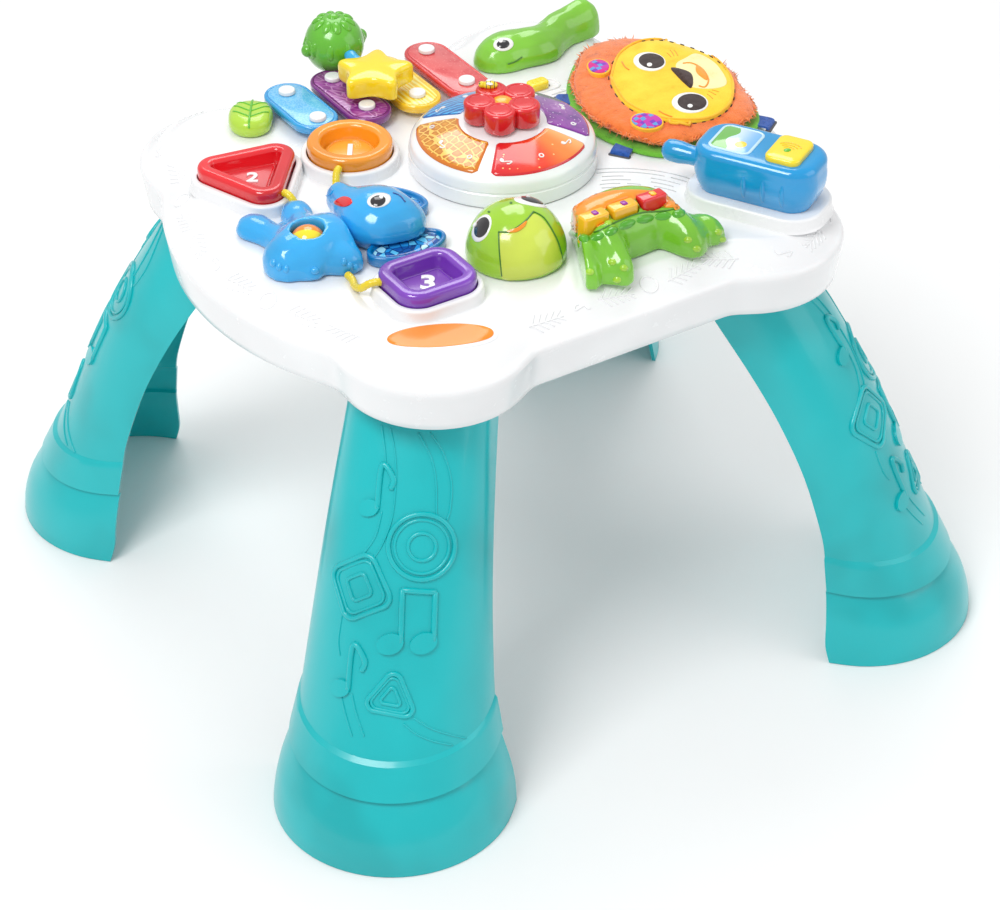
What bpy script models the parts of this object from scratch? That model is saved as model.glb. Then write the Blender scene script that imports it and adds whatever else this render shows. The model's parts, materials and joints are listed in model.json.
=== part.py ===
"""Toddler's activity table: a white lobed top full of toys on four snap-on turquoise legs.

The origin is on the floor under the middle of the table. +Z is up, the turtle faces -Y,
the elephant lies along the -X side, the soft lion page is on the +X side and the
xylophone is at the back, +Y. Lengths are in metres.
"""

import math

import bmesh
import bpy
from mathutils import Euler, Matrix, Vector

MM = 0.001
QUARTER_TURN = math.pi / 2
SMALL_SIDES = 10
ROD_SIDES = 12
ROUND_SIDES = 16
CORNER_STEPS = 4

# Hidden helpers whose own pieces run into each other
TANGLED_HELPERS = ("top_raised", "top_pockets", "top_holes", "base_raised", "base_holes", "straps")

# Walls and fits
WALL = 3 * MM
THIN_WALL = 2 * MM
GAP = 0.3 * MM
SLIDE_GAP = 0.5 * MM
OVERRUN = 6 * MM
SINK = 1.5 * MM
SOFT_EDGE = 1.5 * MM
MESH_GRAIN_SHARE = 0.01

# Tabletop
SKIRT_BOTTOM_Z = 282 * MM
WALL_HEIGHT = 33 * MM
BAND_RISE = 13 * MM
BAND_WIDTH = 20 * MM
WALL_LEAN = 4 * MM
RIM_ROUND = 4 * MM
LOBE_X = 125 * MM
LOBE_Y = 137 * MM
LOBE_RADIUS = 67 * MM
SIDE_REACH_X = 225 * MM
SIDE_REACH_Y = 188 * MM
SIDE_X_SPREAD = math.radians(40)
SIDE_Y_SPREAD = math.radians(30)
WAIST_SHARPNESS = 55
OUTLINE_POINTS = 84
DECK_Z = SKIRT_BOTTOM_Z + WALL_HEIGHT + BAND_RISE

# Base cover
BASE_RECESS = 4 * MM
BASE_THICKNESS = 2.5 * MM
SOCKET_HEIGHT = 15 * MM
POST_RADIUS = 4 * MM
POST_PLACE_X = 70 * MM
POST_PLACE_Y = 45 * MM
BOARD_Z = 308 * MM
BOARD_LENGTH = 160 * MM
BOARD_WIDTH = 110 * MM
BOARD_THICKNESS = 1.6 * MM
SCREW_HEAD_RADIUS = 3.5 * MM
SCREW_HEAD_HEIGHT = 2 * MM
SCREW_SHANK_RADIUS = 1.6 * MM
SCREW_LENGTH = 10 * MM
SCREW_PLACE_X = 195 * MM
SCREW_PLACE_Y = 162 * MM

# Battery compartment
CELL_COUNT = 3
CELL_RADIUS = 7.2 * MM
CELL_LENGTH = 50 * MM
CELL_PITCH = 15.5 * MM
CELL_TIP_RADIUS = 2.7 * MM
CELL_TIP_LENGTH = 1.2 * MM
DOOR_LENGTH = 66 * MM
DOOR_WIDTH = 56 * MM
DOOR_THICKNESS = 2 * MM
DOOR_CORNER = 5 * MM

# Legs
LEG_TOP_Z = 306 * MM
FOOT_REACH = 366 * MM
FOOT_HALF_WIDTH = 83 * MM
FOOT_OPENING = 273 * MM
SECTION_DROP = 9 * MM
DROP_FULL_Z = 80 * MM
SOCKET_FROM_SHARE = 0.9
CHANNEL_FROM_SHARE = 0.8
LEG_ARC_STEPS = 10
# Rows from the floor up: height, reach, half width and opening, as shares of the four sizes above.
LEG_ROW_SHARES = (
    (0.0, 1.0, 1.0, 1.0),
    (0.045, 0.996, 0.98, 0.986),
    (0.1, 0.982, 0.94, 0.982),
    (0.155, 0.957, 0.875, 0.976),
    (0.178, 0.944, 0.845, 0.972),
    (0.183, 0.952, 0.868, 0.974),
    (0.262, 0.922, 0.81, 0.96),
    (0.27, 0.912, 0.79, 0.96),
    (0.33, 0.888, 0.77, 0.945),
    (0.47, 0.836, 0.72, 0.89),
    (0.6, 0.786, 0.675, 0.817),
    (0.71, 0.738, 0.635, 0.74),
    (0.83, 0.678, 0.592, 0.645),
    (0.92, 0.628, 0.566, 0.575),
    (1.0, 0.58, 0.545, 0.512),
)
LEG_ANGLES = {
    "leg_front": math.radians(225),
    "leg_right": math.radians(315),
    "leg_back": math.radians(45),
    "leg_left": math.radians(135),
}

# Light dome
DOME_X = 18 * MM
DOME_Y = 5 * MM
DOME_RADIUS = 66 * MM
DOME_EDGE_RADIUS = 59 * MM
DOME_EDGE_HEIGHT = 24 * MM
DOME_HEIGHT = 35 * MM
DOME_POINTS = 32
DOME_RINGS = 5
DOME_WALL_SHARES = ((0.0, 0.45), (0.03, 0.75))
DOME_HOLLOW_RISE_SHARE = 0.5
DOME_HOLLOW_INSET_SHARE = 0.45
PANEL_INNER_RADIUS = 31 * MM
PANEL_OUTER_RADIUS = 57 * MM
PANEL_DEPTH = 3 * MM
PANEL_GAP = 0.45 * MM
RIB_HALF_ANGLE = math.radians(4)
PANEL_FIRST_ANGLE = math.radians(135)
PANEL_ARC_STEPS = 8
PANEL_RINGS = 4
PANEL_NAMES = ("light_panel_orange", "light_panel_red", "light_panel_purple", "light_panel_blue")

# Flower spinner
FLOWER_RADIUS = 28 * MM
FLOWER_HEIGHT = 15 * MM
FLOWER_NOTCH_SHARE = 0.24
PETALS = 5
FLOWER_TURN = math.radians(230)
PETAL_POINTS = 8
FLOWER_CORE_RADIUS = 10 * MM
FLOWER_CORE_HEIGHT = 7 * MM
FLOWER_SHARES = ((0.93, 0.0), (1.0, 0.25), (1.0, 0.6), (0.93, 0.85), (0.8, 1.0), (0.6, 0.9), (0.46, 0.62))
FLOWER_CORE_SHARES = ((0.94, 0.0), (1.0, 0.4), (0.85, 0.8), (0.5, 1.0))
FLOWER_SEAT_SHARE = 0.62
AXLE_RADIUS = 4 * MM
AXLE_LENGTH = 12 * MM
BEE_LENGTH = 12 * MM
BEE_WIDTH = 8 * MM
BEE_HEIGHT = 6 * MM
BEE_REACH = 18 * MM
BEE_ANGLE = math.radians(88)
BEE_TURN = math.radians(-32)

# Ring buttons
RING_HEIGHT = 18 * MM
RING_WIDTH = 10 * MM
RING_SEAT = 4 * MM
RING_ROUND = 3 * MM
RING_ROUND_SHARES = ((0.0, 1.6), (0.35, 0.5), (1.0, 0.0))
WELL_FLOOR = 7 * MM
POD_HEIGHT = 9 * MM
POD_MARGIN = 4 * MM
POD_SLOPE = 1 * MM
POD_FOOT_SHARE = 0.33
STEM_RADIUS = 5 * MM
STEM_LENGTH = 14 * MM
DISC_THICKNESS = 1 * MM
DISC_MARGIN = 1.5 * MM
CIRCLE_X = -72 * MM
CIRCLE_Y = 62 * MM
CIRCLE_RADIUS = 30 * MM
CIRCLE_POINTS = 28
TRIANGLE_X = -147 * MM
TRIANGLE_Y = 66 * MM
TRIANGLE_SIDE_REACH = 38 * MM
TRIANGLE_CORNER = 14 * MM
TRIANGLE_TURN = math.radians(51)
SQUARE_X = -115 * MM
SQUARE_Y = -113 * MM
SQUARE_LENGTH = 58 * MM
SQUARE_WIDTH = 51 * MM
SQUARE_CORNER = 16 * MM
SQUARE_TURN = math.radians(0)

# Yellow strings, each from a ring's wall to the elephant
STRING_RADIUS = 2.6 * MM
STRING_SIDES = 8
STRING_DROP_SHARES = ((0.0, 1.0), (0.72, 1.0), (1.0, 0.6), (1.08, 0.0))
CIRCLE_STRING_HEADING = math.radians(226)
CIRCLE_STRING_END_X = -104 * MM
CIRCLE_STRING_END_Y = 26 * MM
TRIANGLE_STRING_HEADING = math.radians(-80)
TRIANGLE_STRING_END_X = -139 * MM
TRIANGLE_STRING_END_Y = 15 * MM
SQUARE_STRING_HEADING = math.radians(158)
SQUARE_STRING_END_X = -150 * MM
SQUARE_STRING_END_Y = -68 * MM

# Elephant, with lump tables in shares of its length and height
FIGURE_GRAIN = 6.2 * MM
ELEPHANT_X = -158 * MM
ELEPHANT_Y = -32 * MM
ELEPHANT_LENGTH = 130 * MM
ELEPHANT_HEIGHT = 36 * MM
ELEPHANT_BODY_SHARES = (
    ((-0.01, -0.03, 0.2), (0.2, 0.19, 0.6), 0),
    ((0.14, 0.0, 0.2), (0.12, 0.14, 0.42), 0),
    ((-0.08, 0.2, 0.1), (0.08, 0.13, 0.26), 20),
    ((-0.125, 0.35, 0.1), (0.1, 0.1, 0.26), 30),
    ((0.08, 0.2, 0.12), (0.08, 0.12, 0.3), -15),
    ((0.12, 0.34, 0.12), (0.09, 0.095, 0.28), -10),
    ((-0.18, -0.06, 0.16), (0.095, 0.11, 0.42), 0),
    ((-0.085, -0.205, 0.12), (0.036, 0.036, 0.12), 0),
    ((-0.07, -0.16, 0.1), (0.03, 0.04, 0.1), 0),
    ((0.115, -0.13, 0.12), (0.07, 0.08, 0.28), 10),
    ((0.11, -0.21, 0.12), (0.085, 0.075, 0.3), 0),
)
ELEPHANT_HEAD_SHARES = (
    ((0.4, -0.02, 0.4), (0.2, 0.215, 0.56), 0),
    ((0.5, -0.12, 0.32), (0.1, 0.1, 0.36), 0),
    ((0.34, 0.16, 0.35), (0.08, 0.11, 0.34), 0),
    ((0.345, 0.28, 0.3), (0.07, 0.09, 0.36), 0),
)
NECK_SHARE = 0.19
BELLY_X = -161 * MM
BELLY_Y = -37 * MM
BELLY_Z = 14.8 * MM
BELLY_WINDOW_RADIUS = 11.4 * MM
BELLY_BALL_RADIUS = 12.2 * MM
BELLY_PIN_RADIUS = 2 * MM
BELLY_PIN_LENGTH = 3 * MM
BELLY_BALL_STEPS = 8
BELLY_TURN = math.radians(-32)
EAR_LENGTH = 58 * MM
EAR_WIDTH = 32 * MM
EAR_THICKNESS = 8 * MM
EAR_FLOOR = 6 * MM
EAR_RIM = 3.5 * MM
EAR_POINTS = 24
NEAR_EAR_X = -101 * MM
NEAR_EAR_Y = -63 * MM
NEAR_EAR_TURN = math.radians(-2)
FAR_EAR_X = -82 * MM
FAR_EAR_Y = -6 * MM
FAR_EAR_TURN = math.radians(-50)

# Turtle
TURTLE_X = 20 * MM
TURTLE_Y = -130 * MM
TURTLE_LENGTH = 130 * MM
TURTLE_HEIGHT = 40 * MM
TURTLE_BODY_SHARES = (
    ((0.03, 0.03, 0.22), (0.37, 0.2, 0.72), 0),
    ((-0.29, -0.13, 0.12), (0.065, 0.12, 0.5), 20),
    ((-0.33, -0.21, 0.1), (0.06, 0.1, 0.4), 20),
    ((-0.14, -0.15, 0.14), (0.07, 0.13, 0.55), 15),
    ((-0.165, -0.265, 0.1), (0.07, 0.1, 0.42), 15),
    ((0.28, -0.13, 0.12), (0.08, 0.13, 0.5), 15),
    ((0.3, -0.24, 0.1), (0.085, 0.1, 0.38), 15),
    ((0.44, -0.19, 0.1), (0.075, 0.11, 0.34), 25),
)
TURTLE_HEAD_SHARES = (
    ((-0.47, 0.2, 0.12), (0.262, 0.262, 0.86), 0),
)
TURTLE_NECK_SHARE = -0.23
TURTLE_NECK_TURN = math.radians(-25)
KEY_COUNT = 3
KEY_CORNER_STEPS = 2
KEY_LENGTH = 20 * MM
KEY_WIDTH = 10 * MM
KEY_PITCH = 23 * MM
KEY_ROW_X = 1 * MM
KEY_ROW_Y = -7 * MM
KEY_BASE = 16 * MM
KEY_PROUD = 2 * MM
KEY_TOP_SHARE = 0.86
KEY_TRAVEL = 2 * MM

# Leaf and green bean figure
LEAF_X = -107 * MM
LEAF_Y = 142 * MM
LEAF_LENGTH = 42 * MM
LEAF_REACH_SHARES = (1.0, 0.94, 0.78, 0.84, 0.9, 0.84, 0.72, 0.9)
LEAF_POINTS = 28
LEAF_HEIGHT = 13 * MM
LEAF_TURN = math.radians(57)
BEAN_X = 128 * MM
BEAN_Y = 128 * MM
BEAN_LENGTH = 118 * MM
BEAN_HEIGHT = 28 * MM
BEAN_SHARES = (
    ((-0.24, 0.0, 0.1), (0.23, 0.17, 0.7), 5),
    ((-0.02, -0.05, 0.1), (0.15, 0.14, 0.62), 0),
    ((0.17, 0.04, 0.15), (0.15, 0.12, 0.7), 15),
    ((0.36, 0.06, 0.15), (0.13, 0.12, 0.85), 0),
)

# Xylophone
BAR_XS = (-71 * MM, -33 * MM, 6.5 * MM, 46.5 * MM)
BAR_NAMES = ("xylophone_bar_blue", "xylophone_bar_purple", "xylophone_bar_yellow", "xylophone_bar_red")
BAR_FRONT_YS = (97.5 * MM, 87 * MM, 84 * MM, 81 * MM)
STUD_FRONT_YS = (109 * MM, 105 * MM, 101 * MM, 98 * MM)
STUD_BACK_Y = 154 * MM
BAR_BACK_Y = 170 * MM
BAR_WIDTH = 34 * MM
BAR_THICKNESS = 6 * MM
BAR_FLOAT = 5 * MM
BAR_END_FLAT = 0.15 * MM
STUD_BOSS_RADIUS = 6.5 * MM
STUD_PIN_RADIUS = 3.6 * MM
STUD_HEAD_RADIUS = 6 * MM
STUD_HEAD_HEIGHT = 3.5 * MM
STUD_SIDES = 8
BAR_END_STEPS = 8

# Mallet
MALLET_X = -17 * MM
MALLET_Y = 179 * MM
BALL_RADIUS = 22 * MM
BALL_SIDES = 16
BALL_RINGS = 10
BALL_CENTRE = 25 * MM
BALL_FLAT = 13 * MM
BALL_NECK_RADIUS = 8 * MM
BALL_KNOB_RADIUS = 5 * MM
NECK_BOSS_RADIUS = 11 * MM
ROD_RADIUS = 4 * MM
ROD_SOCKET = 6 * MM
STAR_Y = 121 * MM
STAR_REACH = 31 * MM
STAR_NOTCH_SHARE = 0.32
STAR_POINTS = 5
STAR_BOTTOM = 17.5 * MM
STAR_THICKNESS = 16 * MM
STAR_TURN = math.radians(-90)
PUFF_SHARES = ((0.88, 0.0), (0.985, 0.2), (1.0, 0.42), (0.97, 0.68), (0.86, 0.88), (0.62, 1.0))

# Soft lion page
PAGE_X = 157 * MM
PAGE_Y = 14 * MM
PAGE_REACH = 64 * MM
PAGE_REACH_SHARES = (1.0, 1.0, 1.22, 1.33, 1.1, 0.98, 0.99, 1.08, 1.22, 1.13, 1.2, 0.98)
PAGE_THICKNESS = 13 * MM
PAGE_POINTS = 36
BACKING_THICKNESS = 3.6 * MM
BACKING_MARGIN = 2 * MM
STRAP_WIDTH = 14 * MM
STRAP_THICKNESS = 1.6 * MM
STRAP_REACH = 9 * MM
STRAP_DROP = 5.4 * MM
STRAP_ROOT = 16 * MM
STRAP_SLOT_MARGIN = 1 * MM
STRAP_ANGLES = (math.radians(147), math.radians(215), math.radians(305), math.radians(50))

# Play phone
PHONE_X = 136 * MM
PHONE_Y = -135 * MM
PHONE_TURN = math.radians(-60)
PHONE_LENGTH = 90 * MM
PHONE_WIDTH = 50 * MM
PHONE_CORNER = 19 * MM
PHONE_HEIGHT = 34 * MM
PHONE_BELLY = 5 * MM
PHONE_SHOULDER = 7 * MM
PHONE_BELLY_SHARES = ((1.0, 0.0), (0.25, 0.25), (0.0, 0.55))
PHONE_SHOULDER_SHARES = ((0.25, 0.82), (1.0, 1.0))
PHONE_POD_HEIGHT = 9 * MM
PHONE_POD_MARGIN = 4 * MM
AERIAL_RADIUS = 8 * MM
AERIAL_LENGTH = 20 * MM
AERIAL_SIDE = 10 * MM
AERIAL_Z = 20 * MM
PHONE_KEY_LENGTH = 25 * MM
PHONE_KEY_WIDTH = 34 * MM
PHONE_KEY_CORNER = 6 * MM
PHONE_KEY_PLACE = 20 * MM
PHONE_KEY_PROUD = 4 * MM
PHONE_KEY_DEPTH = 8 * MM
PHONE_KEY_TRAVEL = 2.5 * MM

# Volume slider and speaker
SLIDER_X = 96 * MM
SLIDER_Y = 80 * MM
SLIDER_LENGTH = 16 * MM
SLIDER_WIDTH = 10 * MM
SLIDER_HEIGHT = 6 * MM
SLIDER_CORNER = 3.3 * MM
SLIDER_TRAVEL = 7 * MM
SLIDER_STEM_LENGTH = 5 * MM
SLIDER_STEM_WIDTH = 3 * MM
SPEAKER_X = 87 * MM
SPEAKER_Y = -68 * MM
SPEAKER_RADIUS = 27 * MM
SPEAKER_MAGNET_RADIUS = 14 * MM
SPEAKER_DEPTH = 16 * MM
SPEAKER_RIM = 3 * MM
SLOT_ROWS = 5
SLOT_ROW_PITCH = 5.5 * MM
SLOT_FIRST_RADIUS = 82.5 * MM
SLOT_WIDTH = 1.8 * MM
SLOTS_PER_ROW = 3
SLOT_SPREAD = math.radians(13)
SLOT_FILL_SHARE = 0.72
SLOT_STAGGER_SHARE = 0.25

COLOURS = {
    "white": (0.9, 0.9, 0.91),
    "turquoise": (0.0, 0.55, 0.56),
    "red": (0.75, 0.02, 0.03),
    "orange": (0.95, 0.33, 0.02),
    "amber": (0.95, 0.5, 0.03),
    "yellow": (0.97, 0.78, 0.05),
    "purple": (0.2, 0.07, 0.42),
    "violet": (0.42, 0.1, 0.5),
    "sky": (0.08, 0.5, 0.85),
    "blue": (0.01, 0.24, 0.6),
    "green": (0.22, 0.62, 0.08),
    "lime": (0.45, 0.72, 0.12),
    "fur": (0.9, 0.3, 0.05),
    "steel": (0.55, 0.55, 0.57),
    "dark": (0.05, 0.05, 0.06),
    "board": (0.02, 0.2, 0.08),
}


def clear_scene():
    """Remove what the scene holds, so that only the table is in it."""
    for old in list(bpy.data.objects):
        bpy.data.objects.remove(old, do_unlink=True)


def finish(colour, roughness=0.35, metallic=0.0):
    """Return the plain material of one colour, making it on first use."""
    name = f"{colour}_finish"
    found = bpy.data.materials.get(name)
    if found:
        return found
    made = bpy.data.materials.new(name)
    made.use_nodes = True
    shader = made.node_tree.nodes["Principled BSDF"]
    shader.inputs["Base Color"].default_value = (*COLOURS[colour], 1.0)
    shader.inputs["Roughness"].default_value = roughness
    shader.inputs["Metallic"].default_value = metallic
    return made


def add_object(name, data, material, hidden=False):
    """Put a mesh or a curve in the scene under its piece's name."""
    made = bpy.data.objects.new(name, data)
    bpy.context.scene.collection.objects.link(made)
    data.materials.append(material)
    if hidden:
        made.hide_render = True
        made.display_type = "WIRE"
    return made


def mesh_object(name, bm, material, place=None, hidden=False):
    """Turn a bmesh into an object whose faces point outwards."""
    bmesh.ops.recalc_face_normals(bm, faces=bm.faces)
    data = bpy.data.meshes.new(name)
    bm.to_mesh(data)
    bm.free()
    data.shade_smooth()
    data.set_sharp_from_angle(angle=math.radians(35))
    made = add_object(name, data, material, hidden)
    made.matrix_world = place or Matrix.Identity(4)
    return made


def combine(target, other, operation):
    """Leave a Boolean of one hidden helper on the target."""
    other.hide_render = True
    other.display_type = "WIRE"
    modifier = target.modifiers.new(other.name, "BOOLEAN")
    modifier.operation = operation
    modifier.object = other
    modifier.solver = "EXACT"
    modifier.use_self = other.name in TANGLED_HELPERS


def cut(target, *others):
    """Take hidden helpers away from the target."""
    for other in others:
        combine(target, other, "DIFFERENCE")


def join(target, *others):
    """Add hidden helpers to the target."""
    for other in others:
        combine(target, other, "UNION")


def at(x, y, z, turn=0.0):
    """A place with a turn about Z."""
    return Matrix.Translation((x, y, z)) @ Matrix.Rotation(turn, 4, "Z")


def circle(radius, points):
    """A round outline, anticlockwise."""
    return [
        Vector((radius * math.cos(2 * math.pi * i / points), radius * math.sin(2 * math.pi * i / points)))
        for i in range(points)
    ]


def ellipse(length, width, points):
    return [Vector((p.x * length / 2, p.y * width / 2)) for p in circle(1, points)]


def rounded_polygon(corners, radius, steps=CORNER_STEPS):
    """An anticlockwise outline whose corners are arcs of one radius."""
    outline = []
    for i, corner in enumerate(corners):
        before = (corners[i - 1] - corner).normalized()
        after = (corners[(i + 1) % len(corners)] - corner).normalized()
        half = before.angle(after) / 2
        centre = corner + (before + after).normalized() * (radius / math.sin(half))
        first = -Vector((-before.y, before.x))
        sweep = math.pi - 2 * half
        for k in range(steps + 1):
            ray = Matrix.Rotation(sweep * k / steps, 2) @ first
            outline.append(centre - ray * radius * (1 if first.dot(before + after) > 0 else -1))
    return outline


def rounded_box(length, width, radius, steps=CORNER_STEPS):
    x, y = length / 2, width / 2
    corners = [Vector((-x, -y)), Vector((x, -y)), Vector((x, y)), Vector((-x, y))]
    return rounded_polygon(corners, radius, steps)


def triangle_outline():
    corners = [
        (Matrix.Rotation(math.radians(90 + 120 * i), 2) @ Vector((TRIANGLE_SIDE_REACH + TRIANGLE_CORNER, 0)))
        for i in range(3)
    ]
    return rounded_polygon(corners, TRIANGLE_CORNER, CORNER_STEPS)


def inset(outline, distance):
    """Move each point of an outline along its own normal, inwards for a positive distance."""
    moved = []
    for i, point in enumerate(outline):
        along = (outline[(i + 1) % len(outline)] - outline[i - 1]).normalized()
        moved.append(point + Vector((-along.y, along.x)) * distance)
    return moved


def polar_curve(reach, shares, points):
    """A closed smooth outline through evenly spaced rays, as shares of one reach."""
    outline = []
    count = len(shares)
    for i in range(points):
        place = i * count / points
        k = int(place)
        t = place - k
        a, b, c, d = (shares[(k + j - 1) % count] for j in range(4))
        blend = b + 0.5 * t * (c - a + t * (2 * a - 5 * b + 4 * c - d + t * (3 * (b - c) + d - a)))
        angle = 2 * math.pi * i / points
        outline.append(Vector((math.cos(angle), math.sin(angle))) * reach * blend)
    return outline


def lobed_outline(reach, notch_share, lobes, points):
    """A flower or star outline that swells at each lobe."""
    outline = []
    for i in range(points):
        angle = 2 * math.pi * i / points
        share = 1 - notch_share * (0.5 - 0.5 * math.cos(lobes * angle))
        outline.append(Vector((math.cos(angle), math.sin(angle))) * reach * share)
    return outline


def table_outline():
    """The tabletop's edge: four corner lobes between two bowed and two straight sides."""
    lobe_distance = math.hypot(LOBE_X, LOBE_Y)
    lobe_angle = math.atan2(LOBE_Y, LOBE_X)
    outline = []
    for i in range(OUTLINE_POINTS):
        angle = 2 * math.pi * (i + 0.5) / OUTLINE_POINTS
        folded = math.atan2(abs(math.sin(angle)), abs(math.cos(angle)))
        off = folded - lobe_angle
        inside = LOBE_RADIUS**2 - (lobe_distance * math.sin(off)) ** 2
        reaches = [lobe_distance * math.cos(off) + math.sqrt(inside)] if inside > 0 else []
        if folded < SIDE_X_SPREAD:
            reaches.append(SIDE_REACH_X)
        if QUARTER_TURN - folded < SIDE_Y_SPREAD:
            reaches.append(SIDE_REACH_Y / math.sin(folded))
        largest = max(reaches)
        total = sum((reach / largest) ** WAIST_SHARPNESS for reach in reaches)
        reach = largest * total ** (1 / WAIST_SHARPNESS)
        outline.append(Vector((math.cos(angle), math.sin(angle))) * reach)
    return outline


def loft(rings):
    """A closed skin over rings of 3-D points, with flat ends."""
    bm = bmesh.new()
    loops = [[bm.verts.new(point) for point in ring] for ring in rings]
    for low, high in zip(loops, loops[1:]):
        for i in range(len(low)):
            j = (i + 1) % len(low)
            bm.faces.new((low[i], low[j], high[j], high[i]))
    bm.faces.new(reversed(loops[0]))
    bm.faces.new(loops[-1])
    return bm


def stack(outline, sections):
    """Loft one outline through (inset, height) sections."""
    return loft([[Vector((p.x, p.y, z)) for p in inset(outline, d)] for d, z in sections])


def swell(outline, shares, bottom, height):
    """Loft one outline scaled and raised through (size share, height share) pairs."""
    return loft([[Vector((p.x * size, p.y * size, bottom + height * up)) for p in outline] for size, up in shares])


def figure(lumps, length, height, grain):
    """Moulded figure of swelling lumps that run into each other, cut flat at its base.

    The lump tables hold centre and half sizes as shares: x and y of the length, z of the height.
    """
    family = bpy.data.metaballs.new("lumps")
    family.resolution = 1
    family.render_resolution = 1
    surface_share = math.sqrt(1 - (family.threshold / 2) ** (1 / 3))
    for centre, sizes, turn in lumps:
        half = Vector((sizes[0] * length, sizes[1] * length, sizes[2] * height)) / grain
        lump = family.elements.new(type="ELLIPSOID")
        lump.co = Vector((centre[0] * length, centre[1] * length, centre[2] * height)) / grain
        lump.stiffness = 2
        lump.radius = max(half) / surface_share
        lump.size_x, lump.size_y, lump.size_z = half / max(half)
        lump.rotation = Euler((0, 0, math.radians(turn))).to_quaternion()
    ball = bpy.data.objects.new("lumps", family)
    bpy.context.scene.collection.objects.link(ball)
    bpy.context.view_layer.update()
    graph = bpy.context.evaluated_depsgraph_get()
    skin = bpy.data.meshes.new_from_object(ball.evaluated_get(graph))
    bm = bmesh.new()
    bm.from_mesh(skin)
    bpy.data.objects.remove(ball, do_unlink=True)
    bpy.data.metaballs.remove(family)
    bpy.data.meshes.remove(skin)
    bmesh.ops.scale(bm, vec=Vector((grain, grain, grain)), verts=bm.verts)
    slice_off(bm, Vector((0, 0, 0)), Vector((0, 0, -1)))
    return bm


def slice_off(bm, point, normal):
    """Cut away what lies beyond a plane and close the cut."""
    geometry = list(bm.verts) + list(bm.edges) + list(bm.faces)
    bmesh.ops.bisect_plane(
        bm, geom=geometry, dist=GAP * MESH_GRAIN_SHARE, plane_co=point, plane_no=normal, clear_outer=True
    )
    bmesh.ops.remove_doubles(bm, verts=bm.verts, dist=GAP * MESH_GRAIN_SHARE)
    rim = [edge for edge in bm.edges if edge.is_boundary]
    bmesh.ops.holes_fill(bm, edges=rim, sides=0)


def rod(start, end, radius, sides=ROD_SIDES):
    """A plain round bar between two points."""
    axis = end - start
    bm = bmesh.new()
    turn = Vector((0, 0, 1)).rotation_difference(axis).to_matrix().to_4x4()
    place = Matrix.Translation((start + end) / 2) @ turn
    bmesh.ops.create_cone(
        bm, cap_ends=True, segments=sides, radius1=radius, radius2=radius, depth=axis.length, matrix=place
    )
    return bm


def block(size, place):
    """A plain box of the given size about a placed centre."""
    bm = bmesh.new()
    bmesh.ops.create_cube(bm, size=1, matrix=place @ Matrix.Diagonal((*size, 1)))
    return bm


def merge(name, meshes, material):
    """One hidden helper made of several meshes that don't touch."""
    together = bmesh.new()
    for bm in meshes:
        bmesh.ops.recalc_face_normals(bm, faces=bm.faces)
        part = bpy.data.meshes.new(name)
        bm.to_mesh(part)
        bm.free()
        together.from_mesh(part)
        bpy.data.meshes.remove(part)
    data = bpy.data.meshes.new(name)
    together.to_mesh(data)
    together.free()
    return add_object(name, data, material, hidden=True)


def placed(bm, place):
    bmesh.ops.transform(bm, matrix=place, verts=bm.verts)
    return bm


def leg_ring(height, reach, half_width, opening, grow):
    """One level of a leg: a horseshoe of wall, open towards the middle of the table."""
    drop = SECTION_DROP * min(height / DROP_FULL_Z, 1)
    ring = []
    for side, offset in ((1, grow), (-1, -WALL - grow)):
        w = half_width + offset
        centre = reach + offset - w
        path = [Vector((opening - grow, -w))]
        for i in range(LEG_ARC_STEPS + 1):
            angle = -QUARTER_TURN + math.pi * i / LEG_ARC_STEPS
            path.append(Vector((centre + w * math.cos(angle), w * math.sin(angle))))
        path.append(Vector((opening - grow, w)))
        ring += path if side > 0 else reversed(path)
    depth = reach - opening
    return [Vector((p.x, p.y, height - drop * (p.x - opening) / depth)) for p in ring]


def leg_rows(lowest=0.0):
    """The sizes of a leg at each of its levels, in real lengths."""
    rows = []
    for z_share, reach_share, width_share, opening_share in LEG_ROW_SHARES:
        if z_share * LEG_TOP_Z >= lowest:
            rows.append(
                (
                    z_share * LEG_TOP_Z,
                    reach_share * FOOT_REACH,
                    width_share * FOOT_HALF_WIDTH,
                    opening_share * FOOT_OPENING,
                )
            )
    return rows


def leg_shape(grow=0.0, lowest=0.0):
    return loft([leg_ring(*row, grow) for row in leg_rows(lowest)])


def make_legs():
    """Four arched legs with bell feet, each a horseshoe channel."""
    for name, angle in LEG_ANGLES.items():
        mesh_object(name, leg_shape(), finish("turquoise"), at(0, 0, 0, angle))


def ring_specs():
    """Name, outline, place, turn and colour of each of the three ring buttons."""
    return (
        ("circle", circle(CIRCLE_RADIUS, CIRCLE_POINTS), (CIRCLE_X, CIRCLE_Y), 0.0, "orange"),
        ("triangle", triangle_outline(), (TRIANGLE_X, TRIANGLE_Y), TRIANGLE_TURN, "red"),
        ("square", rounded_box(SQUARE_LENGTH, SQUARE_WIDTH, SQUARE_CORNER), (SQUARE_X, SQUARE_Y), SQUARE_TURN, "purple"),
    )


def stud_places():
    for x, front_y in zip(BAR_XS, STUD_FRONT_YS):
        yield x, front_y
        yield x, STUD_BACK_Y


def strap_frames():
    """Where each strap leaves the backing page, and which way it points."""
    outline = page_outline(-BACKING_MARGIN)
    for angle in STRAP_ANGLES:
        nearest = max(outline, key=lambda p: p.normalized().dot(Vector((math.cos(angle), math.sin(angle)))))
        yield at(PAGE_X + nearest.x, PAGE_Y + nearest.y, DECK_Z, angle)


def page_outline(margin=0.0):
    return inset(polar_curve(PAGE_REACH, PAGE_REACH_SHARES, PAGE_POINTS), margin)


def phone_outline():
    return rounded_box(PHONE_LENGTH, PHONE_WIDTH, PHONE_CORNER)


def phone_place(z=0.0):
    return at(PHONE_X, PHONE_Y, z, PHONE_TURN)


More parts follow.
